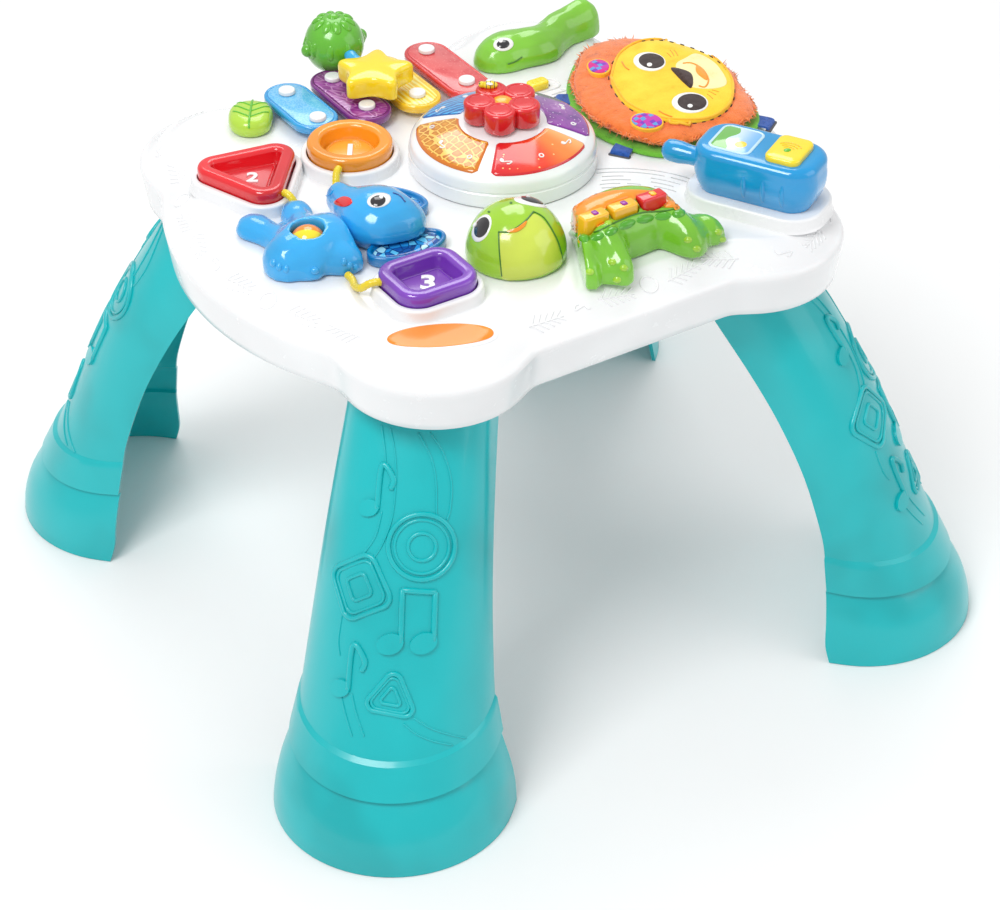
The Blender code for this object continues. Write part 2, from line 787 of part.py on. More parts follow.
def dome_height(radius):
    """Height of the light dome's skin over the deck at a radius from its middle."""
    share = (radius / DOME_EDGE_RADIUS) ** 2
    return DOME_HEIGHT - (DOME_HEIGHT - DOME_EDGE_HEIGHT) * share


def slot_cutters():
    """Rows of short curved slots over the speaker, following rings about the dome."""
    middle = math.atan2(SPEAKER_Y - DOME_Y, SPEAKER_X - DOME_X)
    for row in range(SLOT_ROWS):
        radius = SLOT_FIRST_RADIUS + row * SLOT_ROW_PITCH
        for k in range(SLOTS_PER_ROW):
            spread = SLOT_SPREAD * (k - (SLOTS_PER_ROW - 1) / 2 + SLOT_STAGGER_SHARE * (row % 2))
            angle = middle + spread
            length = radius * SLOT_SPREAD * SLOT_FILL_SHARE
            centre = at(DOME_X + radius * math.cos(angle), DOME_Y + radius * math.sin(angle), DECK_Z, angle)
            yield block((SLOT_WIDTH, length, 2 * OVERRUN), centre)


def make_table_top():
    """The white moulded top, open below, with its pods, studs, pockets and slots."""
    outline = table_outline()
    inner_edge = RIM_ROUND + BAND_WIDTH
    rim_z = SKIRT_BOTTOM_Z + WALL_HEIGHT
    sections = (
        (inner_edge + WALL, DECK_Z - WALL),
        (RIM_ROUND + WALL, rim_z - WALL),
        (WALL, rim_z - RIM_ROUND - WALL),
        (WALL_LEAN + WALL, SKIRT_BOTTOM_Z),
        (WALL_LEAN, SKIRT_BOTTOM_Z),
        (0, rim_z - RIM_ROUND),
        (RIM_ROUND / 4, rim_z - RIM_ROUND / 3),
        (RIM_ROUND, rim_z + RIM_ROUND / 3),
        (inner_edge - SOFT_EDGE, DECK_Z - SOFT_EDGE / 2),
        (inner_edge + SOFT_EDGE, DECK_Z),
    )
    top = mesh_object("table_top", stack(outline, sections), finish("white"))
    raised = []
    for name, shape, (x, y), turn, _ in ring_specs():
        sections = (
            (-POD_MARGIN - POD_SLOPE, DECK_Z - SINK),
            (-POD_MARGIN - POD_SLOPE, DECK_Z + POD_HEIGHT * POD_FOOT_SHARE),
            (-POD_MARGIN, DECK_Z + POD_HEIGHT - SOFT_EDGE),
            (-POD_MARGIN + SOFT_EDGE, DECK_Z + POD_HEIGHT),
        )
        raised.append(placed(stack(shape, sections), at(x, y, 0, turn)))
    sections = (
        (-PHONE_POD_MARGIN - POD_SLOPE, DECK_Z - SINK),
        (-PHONE_POD_MARGIN, DECK_Z + PHONE_POD_HEIGHT - SOFT_EDGE),
        (-PHONE_POD_MARGIN + SOFT_EDGE, DECK_Z + PHONE_POD_HEIGHT),
    )
    raised.append(placed(stack(phone_outline(), sections), phone_place()))
    bar_top = DECK_Z + BAR_FLOAT + BAR_THICKNESS
    stud = circle(STUD_BOSS_RADIUS, STUD_SIDES)
    for x, y in stud_places():
        sections = (
            (0, DECK_Z - SINK),
            (0, DECK_Z + BAR_FLOAT - GAP),
            (STUD_BOSS_RADIUS - STUD_PIN_RADIUS, DECK_Z + BAR_FLOAT - GAP),
            (STUD_BOSS_RADIUS - STUD_PIN_RADIUS, bar_top + GAP),
            (STUD_BOSS_RADIUS - STUD_HEAD_RADIUS, bar_top + GAP),
            (STUD_BOSS_RADIUS - STUD_HEAD_RADIUS, bar_top + STUD_HEAD_HEIGHT - SOFT_EDGE / 2),
            (STUD_BOSS_RADIUS - STUD_HEAD_RADIUS + SOFT_EDGE / 2, bar_top + STUD_HEAD_HEIGHT),
        )
        raised.append(placed(stack(stud, sections), at(x, y, 0)))
    boss_bottom = DECK_Z - BAND_RISE
    boss = stack(circle(NECK_BOSS_RADIUS, ROUND_SIDES), ((0, boss_bottom), (SOFT_EDGE, DECK_Z)))
    raised.append(placed(boss, at(MALLET_X, MALLET_Y, 0)))
    join(top, merge("top_raised", raised, finish("white")))
    pockets = []
    for name, shape, (x, y), turn, _ in ring_specs():
        sections = ((-SLIDE_GAP, DECK_Z), (-SLIDE_GAP, DECK_Z + POD_HEIGHT + OVERRUN))
        pockets.append(placed(stack(shape, sections), at(x, y, 0, turn)))
    cut(top, merge("top_pockets", pockets, finish("white")))
    holes = []
    for name, shape, (x, y), turn, _ in ring_specs():
        low, high = Vector((x, y, DECK_Z - WALL - OVERRUN)), Vector((x, y, DECK_Z + OVERRUN / 3))
        holes.append(rod(low, high, STEM_RADIUS + SLIDE_GAP))
    slot_length = SLIDER_STEM_LENGTH + 2 * SLIDER_TRAVEL + 2 * SLIDE_GAP
    slot = (slot_length, SLIDER_STEM_WIDTH + 2 * SLIDE_GAP, 2 * OVERRUN)
    holes.append(block(slot, at(SLIDER_X, SLIDER_Y, DECK_Z)))
    for frame in strap_frames():
        slot = (STRAP_THICKNESS + 2 * STRAP_SLOT_MARGIN, STRAP_WIDTH + 2 * STRAP_SLOT_MARGIN, 2 * OVERRUN)
        holes.append(block(slot, frame @ at(STRAP_REACH - STRAP_THICKNESS / 2, 0, 0)))
    holes += list(slot_cutters())
    low = Vector((DOME_X, DOME_Y, DECK_Z - WALL - OVERRUN))
    high = Vector((DOME_X, DOME_Y, DECK_Z + OVERRUN))
    holes.append(rod(low, high, AXLE_RADIUS + OVERRUN, ROUND_SIDES))
    cut(top, merge("top_holes", holes, finish("white")))


def make_base_cover():
    """The underside: a plate inside the skirt with leg sockets, posts and a battery box."""
    low = SKIRT_BOTTOM_Z + BASE_RECESS
    edge = WALL_LEAN + WALL + SLIDE_GAP
    outline = table_outline()
    high = low + BASE_THICKNESS
    cover = mesh_object("base_cover", stack(outline, ((edge, low), (edge, high))), finish("white"))
    raised = []
    for angle in LEG_ANGLES.values():
        socket = loft(
            [
                [Vector((p.x, p.y, z)) for p in leg_ring(*row[:4], THIN_WALL + SLIDE_GAP)]
                for row, z in zip(leg_rows(LEG_TOP_Z * SOCKET_FROM_SHARE), (low + SINK / 2, low + SOCKET_HEIGHT))
            ]
        )
        raised.append(placed(socket, at(0, 0, 0, angle)))
    for sx in (-1, 1):
        for sy in (-1, 1):
            foot = Vector((sx * POST_PLACE_X, sy * POST_PLACE_Y, high - SINK))
            raised.append(rod(foot, Vector((foot.x, foot.y, BOARD_Z - GAP)), POST_RADIUS, SMALL_SIDES))
    box_top = low + DOOR_THICKNESS + 2 * CELL_RADIUS + 2 * THIN_WALL
    box = stack(rounded_box(DOOR_LENGTH + 2 * THIN_WALL, DOOR_WIDTH + 2 * THIN_WALL, DOOR_CORNER + THIN_WALL),
                ((0, low + SINK / 2), (0, box_top)))
    raised.append(box)
    join(cover, merge("base_raised", raised, finish("white")))
    holes = [placed(leg_shape(SLIDE_GAP, LEG_TOP_Z * CHANNEL_FROM_SHARE), at(0, 0, 0, a)) for a in LEG_ANGLES.values()]
    door_hole = rounded_box(DOOR_LENGTH, DOOR_WIDTH, DOOR_CORNER)
    holes.append(stack(door_hole, ((0, low - OVERRUN), (0, box_top - THIN_WALL))))
    shank = SCREW_SHANK_RADIUS + GAP
    screw_places = ((-SCREW_PLACE_X, 0), (0, -SCREW_PLACE_Y), (SCREW_PLACE_X, 0), (0, SCREW_PLACE_Y))
    for x, y in screw_places:
        holes.append(rod(Vector((x, y, low - OVERRUN)), Vector((x, y, high + OVERRUN)), shank, SMALL_SIDES))
    cut(cover, merge("base_holes", holes, finish("white")))
    for i, (x, y) in enumerate(screw_places, start=1):
        make_screw(f"base_screw_{i}", x, y, low - GAP)
    ledge = low + DOOR_THICKNESS
    door = mesh_object(
        "battery_door",
        stack(rounded_box(DOOR_LENGTH, DOOR_WIDTH, DOOR_CORNER), ((GAP, low), (GAP, ledge))),
        finish("white"),
    )
    x = DOOR_LENGTH / 2 - 2 * SCREW_HEAD_RADIUS
    shaft_hole = rod(Vector((x, 0, low - OVERRUN)), Vector((x, 0, ledge + OVERRUN)), shank, SMALL_SIDES)
    cut(door, mesh_object("door_hole", shaft_hole, finish("white"), hidden=True))
    make_screw("battery_door_screw", x, 0, low - GAP)
    cell_z = ledge + GAP + CELL_RADIUS
    for i in range(CELL_COUNT):
        y = (i - (CELL_COUNT - 1) / 2) * CELL_PITCH
        x0 = -DOOR_LENGTH / 2 + 2 * GAP
        body_end = x0 + CELL_LENGTH - CELL_TIP_LENGTH
        cell = rod(Vector((x0, y, cell_z)), Vector((body_end, y, cell_z)), CELL_RADIUS, ROUND_SIDES)
        made = mesh_object(f"battery_{i + 1}", cell, finish("dark"))
        tip = rod(Vector((body_end - SINK, y, cell_z)), Vector((x0 + CELL_LENGTH, y, cell_z)), CELL_TIP_RADIUS, SMALL_SIDES)
        join(made, mesh_object(f"battery_tip_{i + 1}", tip, finish("dark"), hidden=True))
    size = (BOARD_LENGTH, BOARD_WIDTH, BOARD_THICKNESS)
    board = block(size, at(0, 0, BOARD_Z + BOARD_THICKNESS / 2))
    mesh_object("circuit_board", board, finish("board", 0.5))


def make_screw(name, x, y, seat_z):
    """A pan-head screw that enters upwards, its head under the seat."""
    ratio = SCREW_HEAD_RADIUS - SCREW_SHANK_RADIUS
    sections = (
        (SOFT_EDGE / 3, seat_z - SCREW_HEAD_HEIGHT),
        (0, seat_z - SCREW_HEAD_HEIGHT / 2),
        (0, seat_z),
        (ratio, seat_z),
        (ratio, seat_z + SCREW_LENGTH),
    )
    mesh_object(name, stack(circle(SCREW_HEAD_RADIUS, SMALL_SIDES), sections), finish("steel", 0.3, 1.0), at(x, y, 0))


def make_speaker():
    """The loudspeaker under the slots, held against the deck."""
    top = DECK_Z - WALL - GAP
    sections = (
        (SPEAKER_RADIUS - SPEAKER_MAGNET_RADIUS, top - SPEAKER_DEPTH),
        (SPEAKER_RADIUS - SPEAKER_MAGNET_RADIUS, top - SPEAKER_DEPTH / 2),
        (SPEAKER_RIM, top - SPEAKER_RIM),
        (0, top - SPEAKER_RIM),
        (0, top),
    )
    cone = stack(circle(SPEAKER_RADIUS, ROUND_SIDES), sections)
    mesh_object("speaker", cone, finish("dark", 0.5), at(SPEAKER_X, SPEAKER_Y, 0))


def sector(a0, a1, r0, r1, low_by, high_by):
    """A slab of the dome's skin between two angles and two radii, from low_by to high_by off the skin."""
    bm = bmesh.new()
    rows = []
    for k in range(PANEL_RINGS):
        radius = r0 + (r1 - r0) * k / (PANEL_RINGS - 1)
        z = DECK_Z + dome_height(radius)
        row = []
        for i in range(PANEL_ARC_STEPS + 1):
            angle = a0 + (a1 - a0) * i / PANEL_ARC_STEPS
            x, y = radius * math.cos(angle), radius * math.sin(angle)
            row.append((bm.verts.new((x, y, z + high_by)), bm.verts.new((x, y, z + low_by))))
        rows.append(row)
    for near, far in zip(rows, rows[1:]):
        for i in range(PANEL_ARC_STEPS):
            for side in (0, 1):
                bm.faces.new((near[i][side], far[i][side], far[i + 1][side], near[i + 1][side]))
    for row in (rows[0], rows[-1]):
        for i in range(PANEL_ARC_STEPS):
            bm.faces.new((row[i][0], row[i + 1][0], row[i + 1][1], row[i][1]))
    for end in (0, PANEL_ARC_STEPS):
        for near, far in zip(rows, rows[1:]):
            bm.faces.new((near[end][0], far[end][0], far[end][1], near[end][1]))
    return bm


def make_dome():
    """The light drum: a white housing with ribs and four glowing panels let into it."""
    rise = DOME_EDGE_HEIGHT - SOFT_EDGE
    sections = [(0, DECK_Z + GAP)]
    sections += [(DOME_RADIUS * lean, DECK_Z + rise * up) for lean, up in DOME_WALL_SHARES]
    sections.append((DOME_RADIUS - DOME_EDGE_RADIUS, DECK_Z + DOME_EDGE_HEIGHT))
    for k in range(1, DOME_RINGS):
        radius = DOME_EDGE_RADIUS * (1 - k / DOME_RINGS)
        sections.append((DOME_RADIUS - radius, DECK_Z + dome_height(radius)))
    place = at(DOME_X, DOME_Y, 0)
    housing = mesh_object("dome_housing", stack(circle(DOME_RADIUS, DOME_POINTS), sections), finish("white"), place)
    pockets = []
    quarter = QUARTER_TURN
    for i, name in enumerate(PANEL_NAMES):
        a0 = PANEL_FIRST_ANGLE + i * quarter + RIB_HALF_ANGLE
        a1 = PANEL_FIRST_ANGLE + (i + 1) * quarter - RIB_HALF_ANGLE
        gap = PANEL_GAP / PANEL_INNER_RADIUS
        pocket = sector(a0, a1, PANEL_INNER_RADIUS, PANEL_OUTER_RADIUS, -PANEL_DEPTH, OVERRUN)
        pockets.append(placed(pocket, place))
        panel = sector(
            a0 + gap, a1 - gap, PANEL_INNER_RADIUS + PANEL_GAP, PANEL_OUTER_RADIUS - PANEL_GAP, GAP - PANEL_DEPTH, SOFT_EDGE / 3
        )
        colour = ("amber", "red", "violet", "blue")[i]
        mesh_object(name, panel, finish(colour, 0.15), place)
    cut(housing, merge("dome_pockets", pockets, finish("white")))
    low = Vector((DOME_X, DOME_Y, DECK_Z - OVERRUN))
    high = Vector((DOME_X, DOME_Y, DECK_Z + DOME_HEIGHT + OVERRUN))
    bore = rod(low, high, AXLE_RADIUS + GAP, ROUND_SIDES)
    cut(housing, mesh_object("dome_bore", bore, finish("white"), hidden=True))
    sections = (
        (WALL, DECK_Z - OVERRUN),
        (WALL, DECK_Z + rise * DOME_HOLLOW_RISE_SHARE),
        (DOME_RADIUS * DOME_HOLLOW_INSET_SHARE, DECK_Z + DOME_EDGE_HEIGHT),
    )
    hollow = stack(circle(DOME_RADIUS, DOME_POINTS), sections)
    cut(housing, mesh_object("dome_hollow", hollow, finish("white"), place, hidden=True))


def make_flower():
    """The red flower that spins on the dome, its yellow middle and a bee on one petal."""
    base = DECK_Z + DOME_HEIGHT + GAP
    pivot = at(DOME_X, DOME_Y, 0, FLOWER_TURN)
    outline = lobed_outline(FLOWER_RADIUS, FLOWER_NOTCH_SHARE, PETALS, PETAL_POINTS * PETALS)
    petals = swell(outline, FLOWER_SHARES, base, FLOWER_HEIGHT)
    spinner = mesh_object("flower_spinner", petals, finish("red"), pivot)
    axle = rod(Vector((DOME_X, DOME_Y, base - AXLE_LENGTH)), Vector((DOME_X, DOME_Y, base + SINK)), AXLE_RADIUS)
    join(spinner, mesh_object("flower_axle", axle, finish("red"), hidden=True))
    seat = base + FLOWER_HEIGHT * FLOWER_SEAT_SHARE + GAP
    core = swell(circle(FLOWER_CORE_RADIUS, ROUND_SIDES), FLOWER_CORE_SHARES, seat, FLOWER_CORE_HEIGHT)
    mesh_object("flower_centre", core, finish("amber"), pivot)
    bee = bmesh.new()
    bmesh.ops.create_uvsphere(bee, u_segments=SMALL_SIDES, v_segments=SMALL_SIDES // 2, radius=0.5)
    bmesh.ops.scale(bee, vec=Vector((BEE_LENGTH, BEE_WIDTH, BEE_HEIGHT)), verts=bee.verts)
    bee_z = base + FLOWER_HEIGHT + BEE_HEIGHT / 2 + GAP
    bee_x = DOME_X + BEE_REACH * math.cos(BEE_ANGLE)
    bee_y = DOME_Y + BEE_REACH * math.sin(BEE_ANGLE)
    mesh_object("bee", bee, finish("dark"), at(bee_x, bee_y, bee_z, BEE_TURN))


def make_ring_buttons():
    """Circle, triangle and square rings that press down in their pods, each with a number disc in its well."""
    for name, shape, (x, y), turn, colour in ring_specs():
        place = at(x, y, 0, turn)
        bottom = DECK_Z + RING_SEAT
        top = DECK_Z + RING_HEIGHT
        sections = (
            (0, bottom),
            *((RING_ROUND * lean, top - RING_ROUND * drop) for lean, drop in RING_ROUND_SHARES),
            (RING_WIDTH - RING_ROUND, top),
            (RING_WIDTH, top - RING_ROUND),
            (RING_WIDTH + SOFT_EDGE, DECK_Z + WELL_FLOOR),
        )
        button = mesh_object(f"{name}_button", stack(shape, sections), finish(colour), place)
        stem = rod(Vector((x, y, bottom - STEM_LENGTH)), Vector((x, y, bottom + SINK)), STEM_RADIUS)
        join(button, mesh_object(f"{name}_stem", stem, finish(colour), hidden=True))
        floor = DECK_Z + WELL_FLOOR + GAP
        inner = RING_WIDTH + SOFT_EDGE + DISC_MARGIN
        disc = stack(shape, ((inner, floor), (inner, floor + DISC_THICKNESS)))
        mesh_object(f"{name}_number_disc", disc, finish(colour), place)


def string_path(anchor, heading, end):
    """From a ring's wall, over the pod's edge and down to the deck, then on to the elephant."""
    out = Vector((math.cos(heading), math.sin(heading), 0))
    start = STRING_RADIUS + SLIDE_GAP + GAP
    over = POD_MARGIN + POD_SLOPE + 2 * STRING_RADIUS
    low = STRING_RADIUS + GAP
    path = []
    for along, up in STRING_DROP_SHARES:
        distance = start + (over - start) * along
        path.append(anchor + out * distance + Vector((0, 0, DECK_Z + low + (POD_HEIGHT + GAP) * up)))
    path.append(Vector((*end, DECK_Z + low)))
    return path


def tube(points, radius):
    """A round bar that follows a path of points, with flat ends."""
    rings = []
    for i, point in enumerate(points):
        before = points[max(i - 1, 0)]
        after = points[min(i + 1, len(points) - 1)]
        side = (after - before).normalized().cross(Vector((0, 0, 1)))
        side = side.normalized() if side.length > GAP else Vector((1, 0, 0))
        up = side.cross(after - before).normalized()
        rings.append([point + side * p.x + up * p.y for p in circle(radius, STRING_SIDES)])
    return loft(rings)


def ring_wall(outline, x, y, turn, heading):
    """The point of a ring's outer wall that a ray from its middle meets first."""
    ray = Vector((math.cos(heading - turn), math.sin(heading - turn)))
    nearest = max(outline, key=lambda p: p.normalized().dot(ray))
    return at(x, y, 0, turn) @ Vector((*nearest, 0))


def make_strings():
    """The yellow moulded strings that tie the three rings to the elephant's feet and trunk."""
    runs = {
        "circle": (CIRCLE_STRING_HEADING, (CIRCLE_STRING_END_X, CIRCLE_STRING_END_Y)),
        "triangle": (TRIANGLE_STRING_HEADING, (TRIANGLE_STRING_END_X, TRIANGLE_STRING_END_Y)),
        "square": (SQUARE_STRING_HEADING, (SQUARE_STRING_END_X, SQUARE_STRING_END_Y)),
    }
    for name, outline, (x, y), turn, _ in ring_specs():
        heading, end = runs[name]
        anchor = ring_wall(outline, x, y, turn, heading)
        path = string_path(anchor, heading, end)
        mesh_object(f"string_{name}", tube(path, STRING_RADIUS), finish("yellow"))
        path[-1] += (path[-1] - path[-2]).normalized() * SLIDE_GAP
        notch = mesh_object(f"{name}_notch", tube(path, STRING_RADIUS + SLIDE_GAP), finish("sky"), hidden=True)
        cut(bpy.data.objects["elephant_head" if name == "circle" else "elephant_body"], notch)


def ball_with_pins(grow):
    """The belly's ball on its two short pins, along X, grown all over by a clearance."""
    ball, pin = BELLY_BALL_RADIUS + grow, BELLY_PIN_RADIUS + grow
    first = math.asin(pin / ball)
    angles = [first + (math.pi - 2 * first) * k / BELLY_BALL_STEPS for k in range(BELLY_BALL_STEPS + 1)]
    end = BELLY_BALL_RADIUS + BELLY_PIN_LENGTH + grow
    stations = [(-end, pin)] + [(-ball * math.cos(a), ball * math.sin(a)) for a in angles] + [(end, pin)]
    return loft([[Vector((x, p.x, p.y)) for p in circle(radius, ROUND_SIDES)] for x, radius in stations])


def make_elephant():
    """The blue elephant: body with legs and tail, head with trunk, two ears and a belly roller."""
    base = DECK_Z + GAP
    place = at(ELEPHANT_X, ELEPHANT_Y, base)
    neck = Vector((NECK_SHARE * ELEPHANT_LENGTH, 0, 0))
    toward_head = Vector((1, 0, 0))
    body = figure(ELEPHANT_BODY_SHARES, ELEPHANT_LENGTH, ELEPHANT_HEIGHT, FIGURE_GRAIN)
    slice_off(body, neck - toward_head * GAP / 2, toward_head)
    body_object = mesh_object("elephant_body", body, finish("sky"), place)
    head = figure(ELEPHANT_HEAD_SHARES, ELEPHANT_LENGTH, ELEPHANT_HEIGHT, FIGURE_GRAIN)
    slice_off(head, neck + toward_head * GAP / 2, -toward_head)
    head_object = mesh_object("elephant_head", head, finish("sky"), place)
    belly = at(BELLY_X, BELLY_Y, DECK_Z + BELLY_Z, BELLY_TURN)
    openings = (
        mesh_object("belly_socket", ball_with_pins(SLIDE_GAP), finish("sky"), belly, hidden=True),
        mesh_object(
            "belly_window",
            rod(Vector((0, 0, 0)), Vector((0, 0, ELEPHANT_HEIGHT)), BELLY_WINDOW_RADIUS, ROUND_SIDES),
            finish("sky"),
            belly,
            hidden=True,
        ),
    )
    cut(body_object, *openings)
    mesh_object("belly_roller", ball_with_pins(0), finish("amber"), belly)
    for name, x, y, turn in (
        ("elephant_ear_near", NEAR_EAR_X, NEAR_EAR_Y, NEAR_EAR_TURN),
        ("elephant_ear_far", FAR_EAR_X, FAR_EAR_Y, FAR_EAR_TURN),
    ):
        outline = ellipse(EAR_LENGTH, EAR_WIDTH, EAR_POINTS)
        sections = (
            (SOFT_EDGE / 2, base),
            (0, base + EAR_THICKNESS - SOFT_EDGE),
            (SOFT_EDGE / 2, base + EAR_THICKNESS),
            (EAR_RIM, base + EAR_THICKNESS),
            (EAR_RIM + SOFT_EDGE / 2, base + EAR_FLOOR),
        )
        mesh_object(name, stack(outline, sections), finish("blue"), at(x, y, 0, turn))
        over = stack(outline, ((-GAP, DECK_Z - OVERRUN), (-GAP, base + EAR_THICKNESS + GAP)))
        cut(head_object, mesh_object(f"{name}_clearance", over, finish("sky"), at(x, y, 0, turn), hidden=True))


def make_turtle():
    """The green turtle: body with flippers, round head and three piano keys in its shell."""
    base = DECK_Z + GAP
    place = at(TURTLE_X, TURTLE_Y, base)
    neck = Vector((TURTLE_NECK_SHARE * TURTLE_LENGTH, 0, 0))
    toward_head = Vector((-math.cos(TURTLE_NECK_TURN), -math.sin(TURTLE_NECK_TURN), 0))
    body = figure(TURTLE_BODY_SHARES, TURTLE_LENGTH, TURTLE_HEIGHT, FIGURE_GRAIN)
    slice_off(body, neck - toward_head * GAP / 2, toward_head)
    body_object = mesh_object("turtle_body", body, finish("green"), place)
    head = figure(TURTLE_HEAD_SHARES, TURTLE_LENGTH, TURTLE_HEIGHT, FIGURE_GRAIN)
    slice_off(head, neck + toward_head * GAP / 2, -toward_head)
    mesh_object("turtle_head", head, finish("lime"), place)
    pockets = []
    for i in range(KEY_COUNT):
        x = TURTLE_X + KEY_ROW_X + (i - 1) * KEY_PITCH
        y = TURTLE_Y + KEY_ROW_Y
        low = DECK_Z + KEY_BASE
        outline = rounded_box(KEY_LENGTH, KEY_WIDTH, SOFT_EDGE, KEY_CORNER_STEPS)
        top = DECK_Z + TURTLE_HEIGHT * KEY_TOP_SHARE + KEY_PROUD
        pockets.append(
            placed(
                stack(outline, ((-SLIDE_GAP, low - KEY_TRAVEL - GAP), (-SLIDE_GAP, top + OVERRUN * 2))),
                at(x, y, 0),
            )
        )
        key = stack(outline, ((0, low), (0, top - SOFT_EDGE), (SOFT_EDGE / 2, top)))
        mesh_object(f"piano_key_{i + 1}", key, finish("red" if i == 2 else "amber"), at(x, y, 0))
    cut(body_object, merge("key_pockets", pockets, finish("green")))


def make_leaf_and_bean():
    """The puffy leaf and the long green figure in the back corners."""
    outline = polar_curve(LEAF_LENGTH / 2, LEAF_REACH_SHARES, LEAF_POINTS)
    leaf = swell(outline, PUFF_SHARES, DECK_Z + GAP, LEAF_HEIGHT)
    mesh_object("leaf", leaf, finish("lime"), at(LEAF_X, LEAF_Y, 0, LEAF_TURN))
    bean = figure(BEAN_SHARES, BEAN_LENGTH, BEAN_HEIGHT, FIGURE_GRAIN)
    mesh_object("green_bean_figure", bean, finish("green"), at(BEAN_X, BEAN_Y, DECK_Z + GAP))


def make_xylophone():
    """Four round-ended bars, each held by two studs of the top."""
    low = DECK_Z + BAR_FLOAT
    high = low + BAR_THICKNESS
    colours = ("sky", "violet", "yellow", "red")
    for name, x, front_y, colour in zip(BAR_NAMES, BAR_XS, BAR_FRONT_YS, colours):
        length = BAR_BACK_Y - front_y
        outline = rounded_box(BAR_WIDTH, length, BAR_WIDTH / 2 - BAR_END_FLAT, BAR_END_STEPS)
        sections = ((SOFT_EDGE / 2, low), (0, low + SOFT_EDGE), (0, high - SOFT_EDGE / 2), (SOFT_EDGE, high))
        middle_y = (front_y + BAR_BACK_Y) / 2
        bar = mesh_object(name, stack(outline, sections), finish(colour), at(x, middle_y, 0))
        holes = []
        for stud_x, stud_y in stud_places():
            if stud_x == x:
                start = Vector((x, stud_y, low - OVERRUN))
                holes.append(rod(start, Vector((x, stud_y, high + OVERRUN)), STUD_PIN_RADIUS + GAP, STUD_SIDES))
        cut(bar, merge(f"{name}_holes", holes, finish(colour)))


def make_mallet():
    """The star that swings over the bars, on a blue rod from its green ball."""
    pivot = at(MALLET_X, MALLET_Y, DECK_Z)
    centre = Vector((0, 0, BALL_CENTRE))
    ball = bmesh.new()
    bmesh.ops.create_uvsphere(ball, u_segments=BALL_SIDES, v_segments=BALL_RINGS, radius=BALL_RADIUS, matrix=Matrix.Translation(centre))
    slice_off(ball, Vector((0, 0, BALL_FLAT)), Vector((0, 0, -1)))
    ball_object = mesh_object("mallet_ball", ball, finish("green"), pivot)
    extras = [rod(Vector((0, 0, GAP)), Vector((0, 0, BALL_CENTRE)), BALL_NECK_RADIUS, ROUND_SIDES)]
    for side in (-1, 1):
        knob = bmesh.new()
        knob_place = Matrix.Translation(centre + Vector((side * BALL_RADIUS, 0, 0)))
        bmesh.ops.create_uvsphere(knob, u_segments=STUD_SIDES, v_segments=STUD_SIDES // 2, radius=BALL_KNOB_RADIUS, matrix=knob_place)
        extras.append(knob)
    extra = merge("ball_extras", extras, finish("green"))
    extra.matrix_world = pivot
    join(ball_object, extra)
    star_y = STAR_Y - MALLET_Y
    outline = lobed_outline(STAR_REACH, STAR_NOTCH_SHARE, STAR_POINTS, PETAL_POINTS * STAR_POINTS)
    star = swell(outline, PUFF_SHARES, STAR_BOTTOM, STAR_THICKNESS)
    star_object = mesh_object("mallet_star", star, finish("yellow"), pivot @ at(0, star_y, 0, STAR_TURN))
    start = Vector((0, -BALL_RADIUS + ROD_SOCKET, BALL_CENTRE))
    end = Vector((0, star_y + STAR_REACH * (1 - STAR_NOTCH_SHARE) - ROD_SOCKET, BALL_CENTRE))
    mesh_object("mallet_rod", rod(start, end, ROD_RADIUS), finish("sky"), pivot)
    reach = Vector((0, GAP, 0))
    socket = mesh_object("rod_socket", rod(start + reach, end - reach, ROD_RADIUS + GAP), finish("sky"), pivot, hidden=True)
    cut(ball_object, socket)
    cut(star_object, socket)


def make_lion_page():
    """The soft page with the lion's mane, over a green backing page held by four straps."""
    low = DECK_Z + GAP + BACKING_THICKNESS + GAP
    page = swell(page_outline(), PUFF_SHARES, low, PAGE_THICKNESS)
    mesh_object("lion_page", page, finish("fur", 0.9), at(PAGE_X, PAGE_Y, 0))
    base = DECK_Z + GAP
    top = base + BACKING_THICKNESS
    sections = ((0, base), (0, top))
    backing = mesh_object(
        "backing_page", stack(page_outline(-BACKING_MARGIN), sections), finish("green", 0.9), at(PAGE_X, PAGE_Y, 0)
    )
    straps = []
    for frame in strap_frames():
        run = STRAP_ROOT + STRAP_REACH
        flat = (run, STRAP_WIDTH, STRAP_THICKNESS)
        centre = at((STRAP_REACH - STRAP_ROOT) / 2, 0, GAP + BACKING_THICKNESS / 2)
        straps.append(block(flat, frame @ centre))
        drop = (STRAP_THICKNESS, STRAP_WIDTH, STRAP_DROP)
        height = GAP + BACKING_THICKNESS / 2 + STRAP_THICKNESS / 2 - STRAP_DROP / 2
        tail = block(drop, frame @ at(STRAP_REACH - STRAP_THICKNESS / 2, 0, height))
        join(backing, mesh_object("strap_tail", tail, finish("blue"), hidden=True))
    join(backing, merge("straps", straps, finish("blue")))


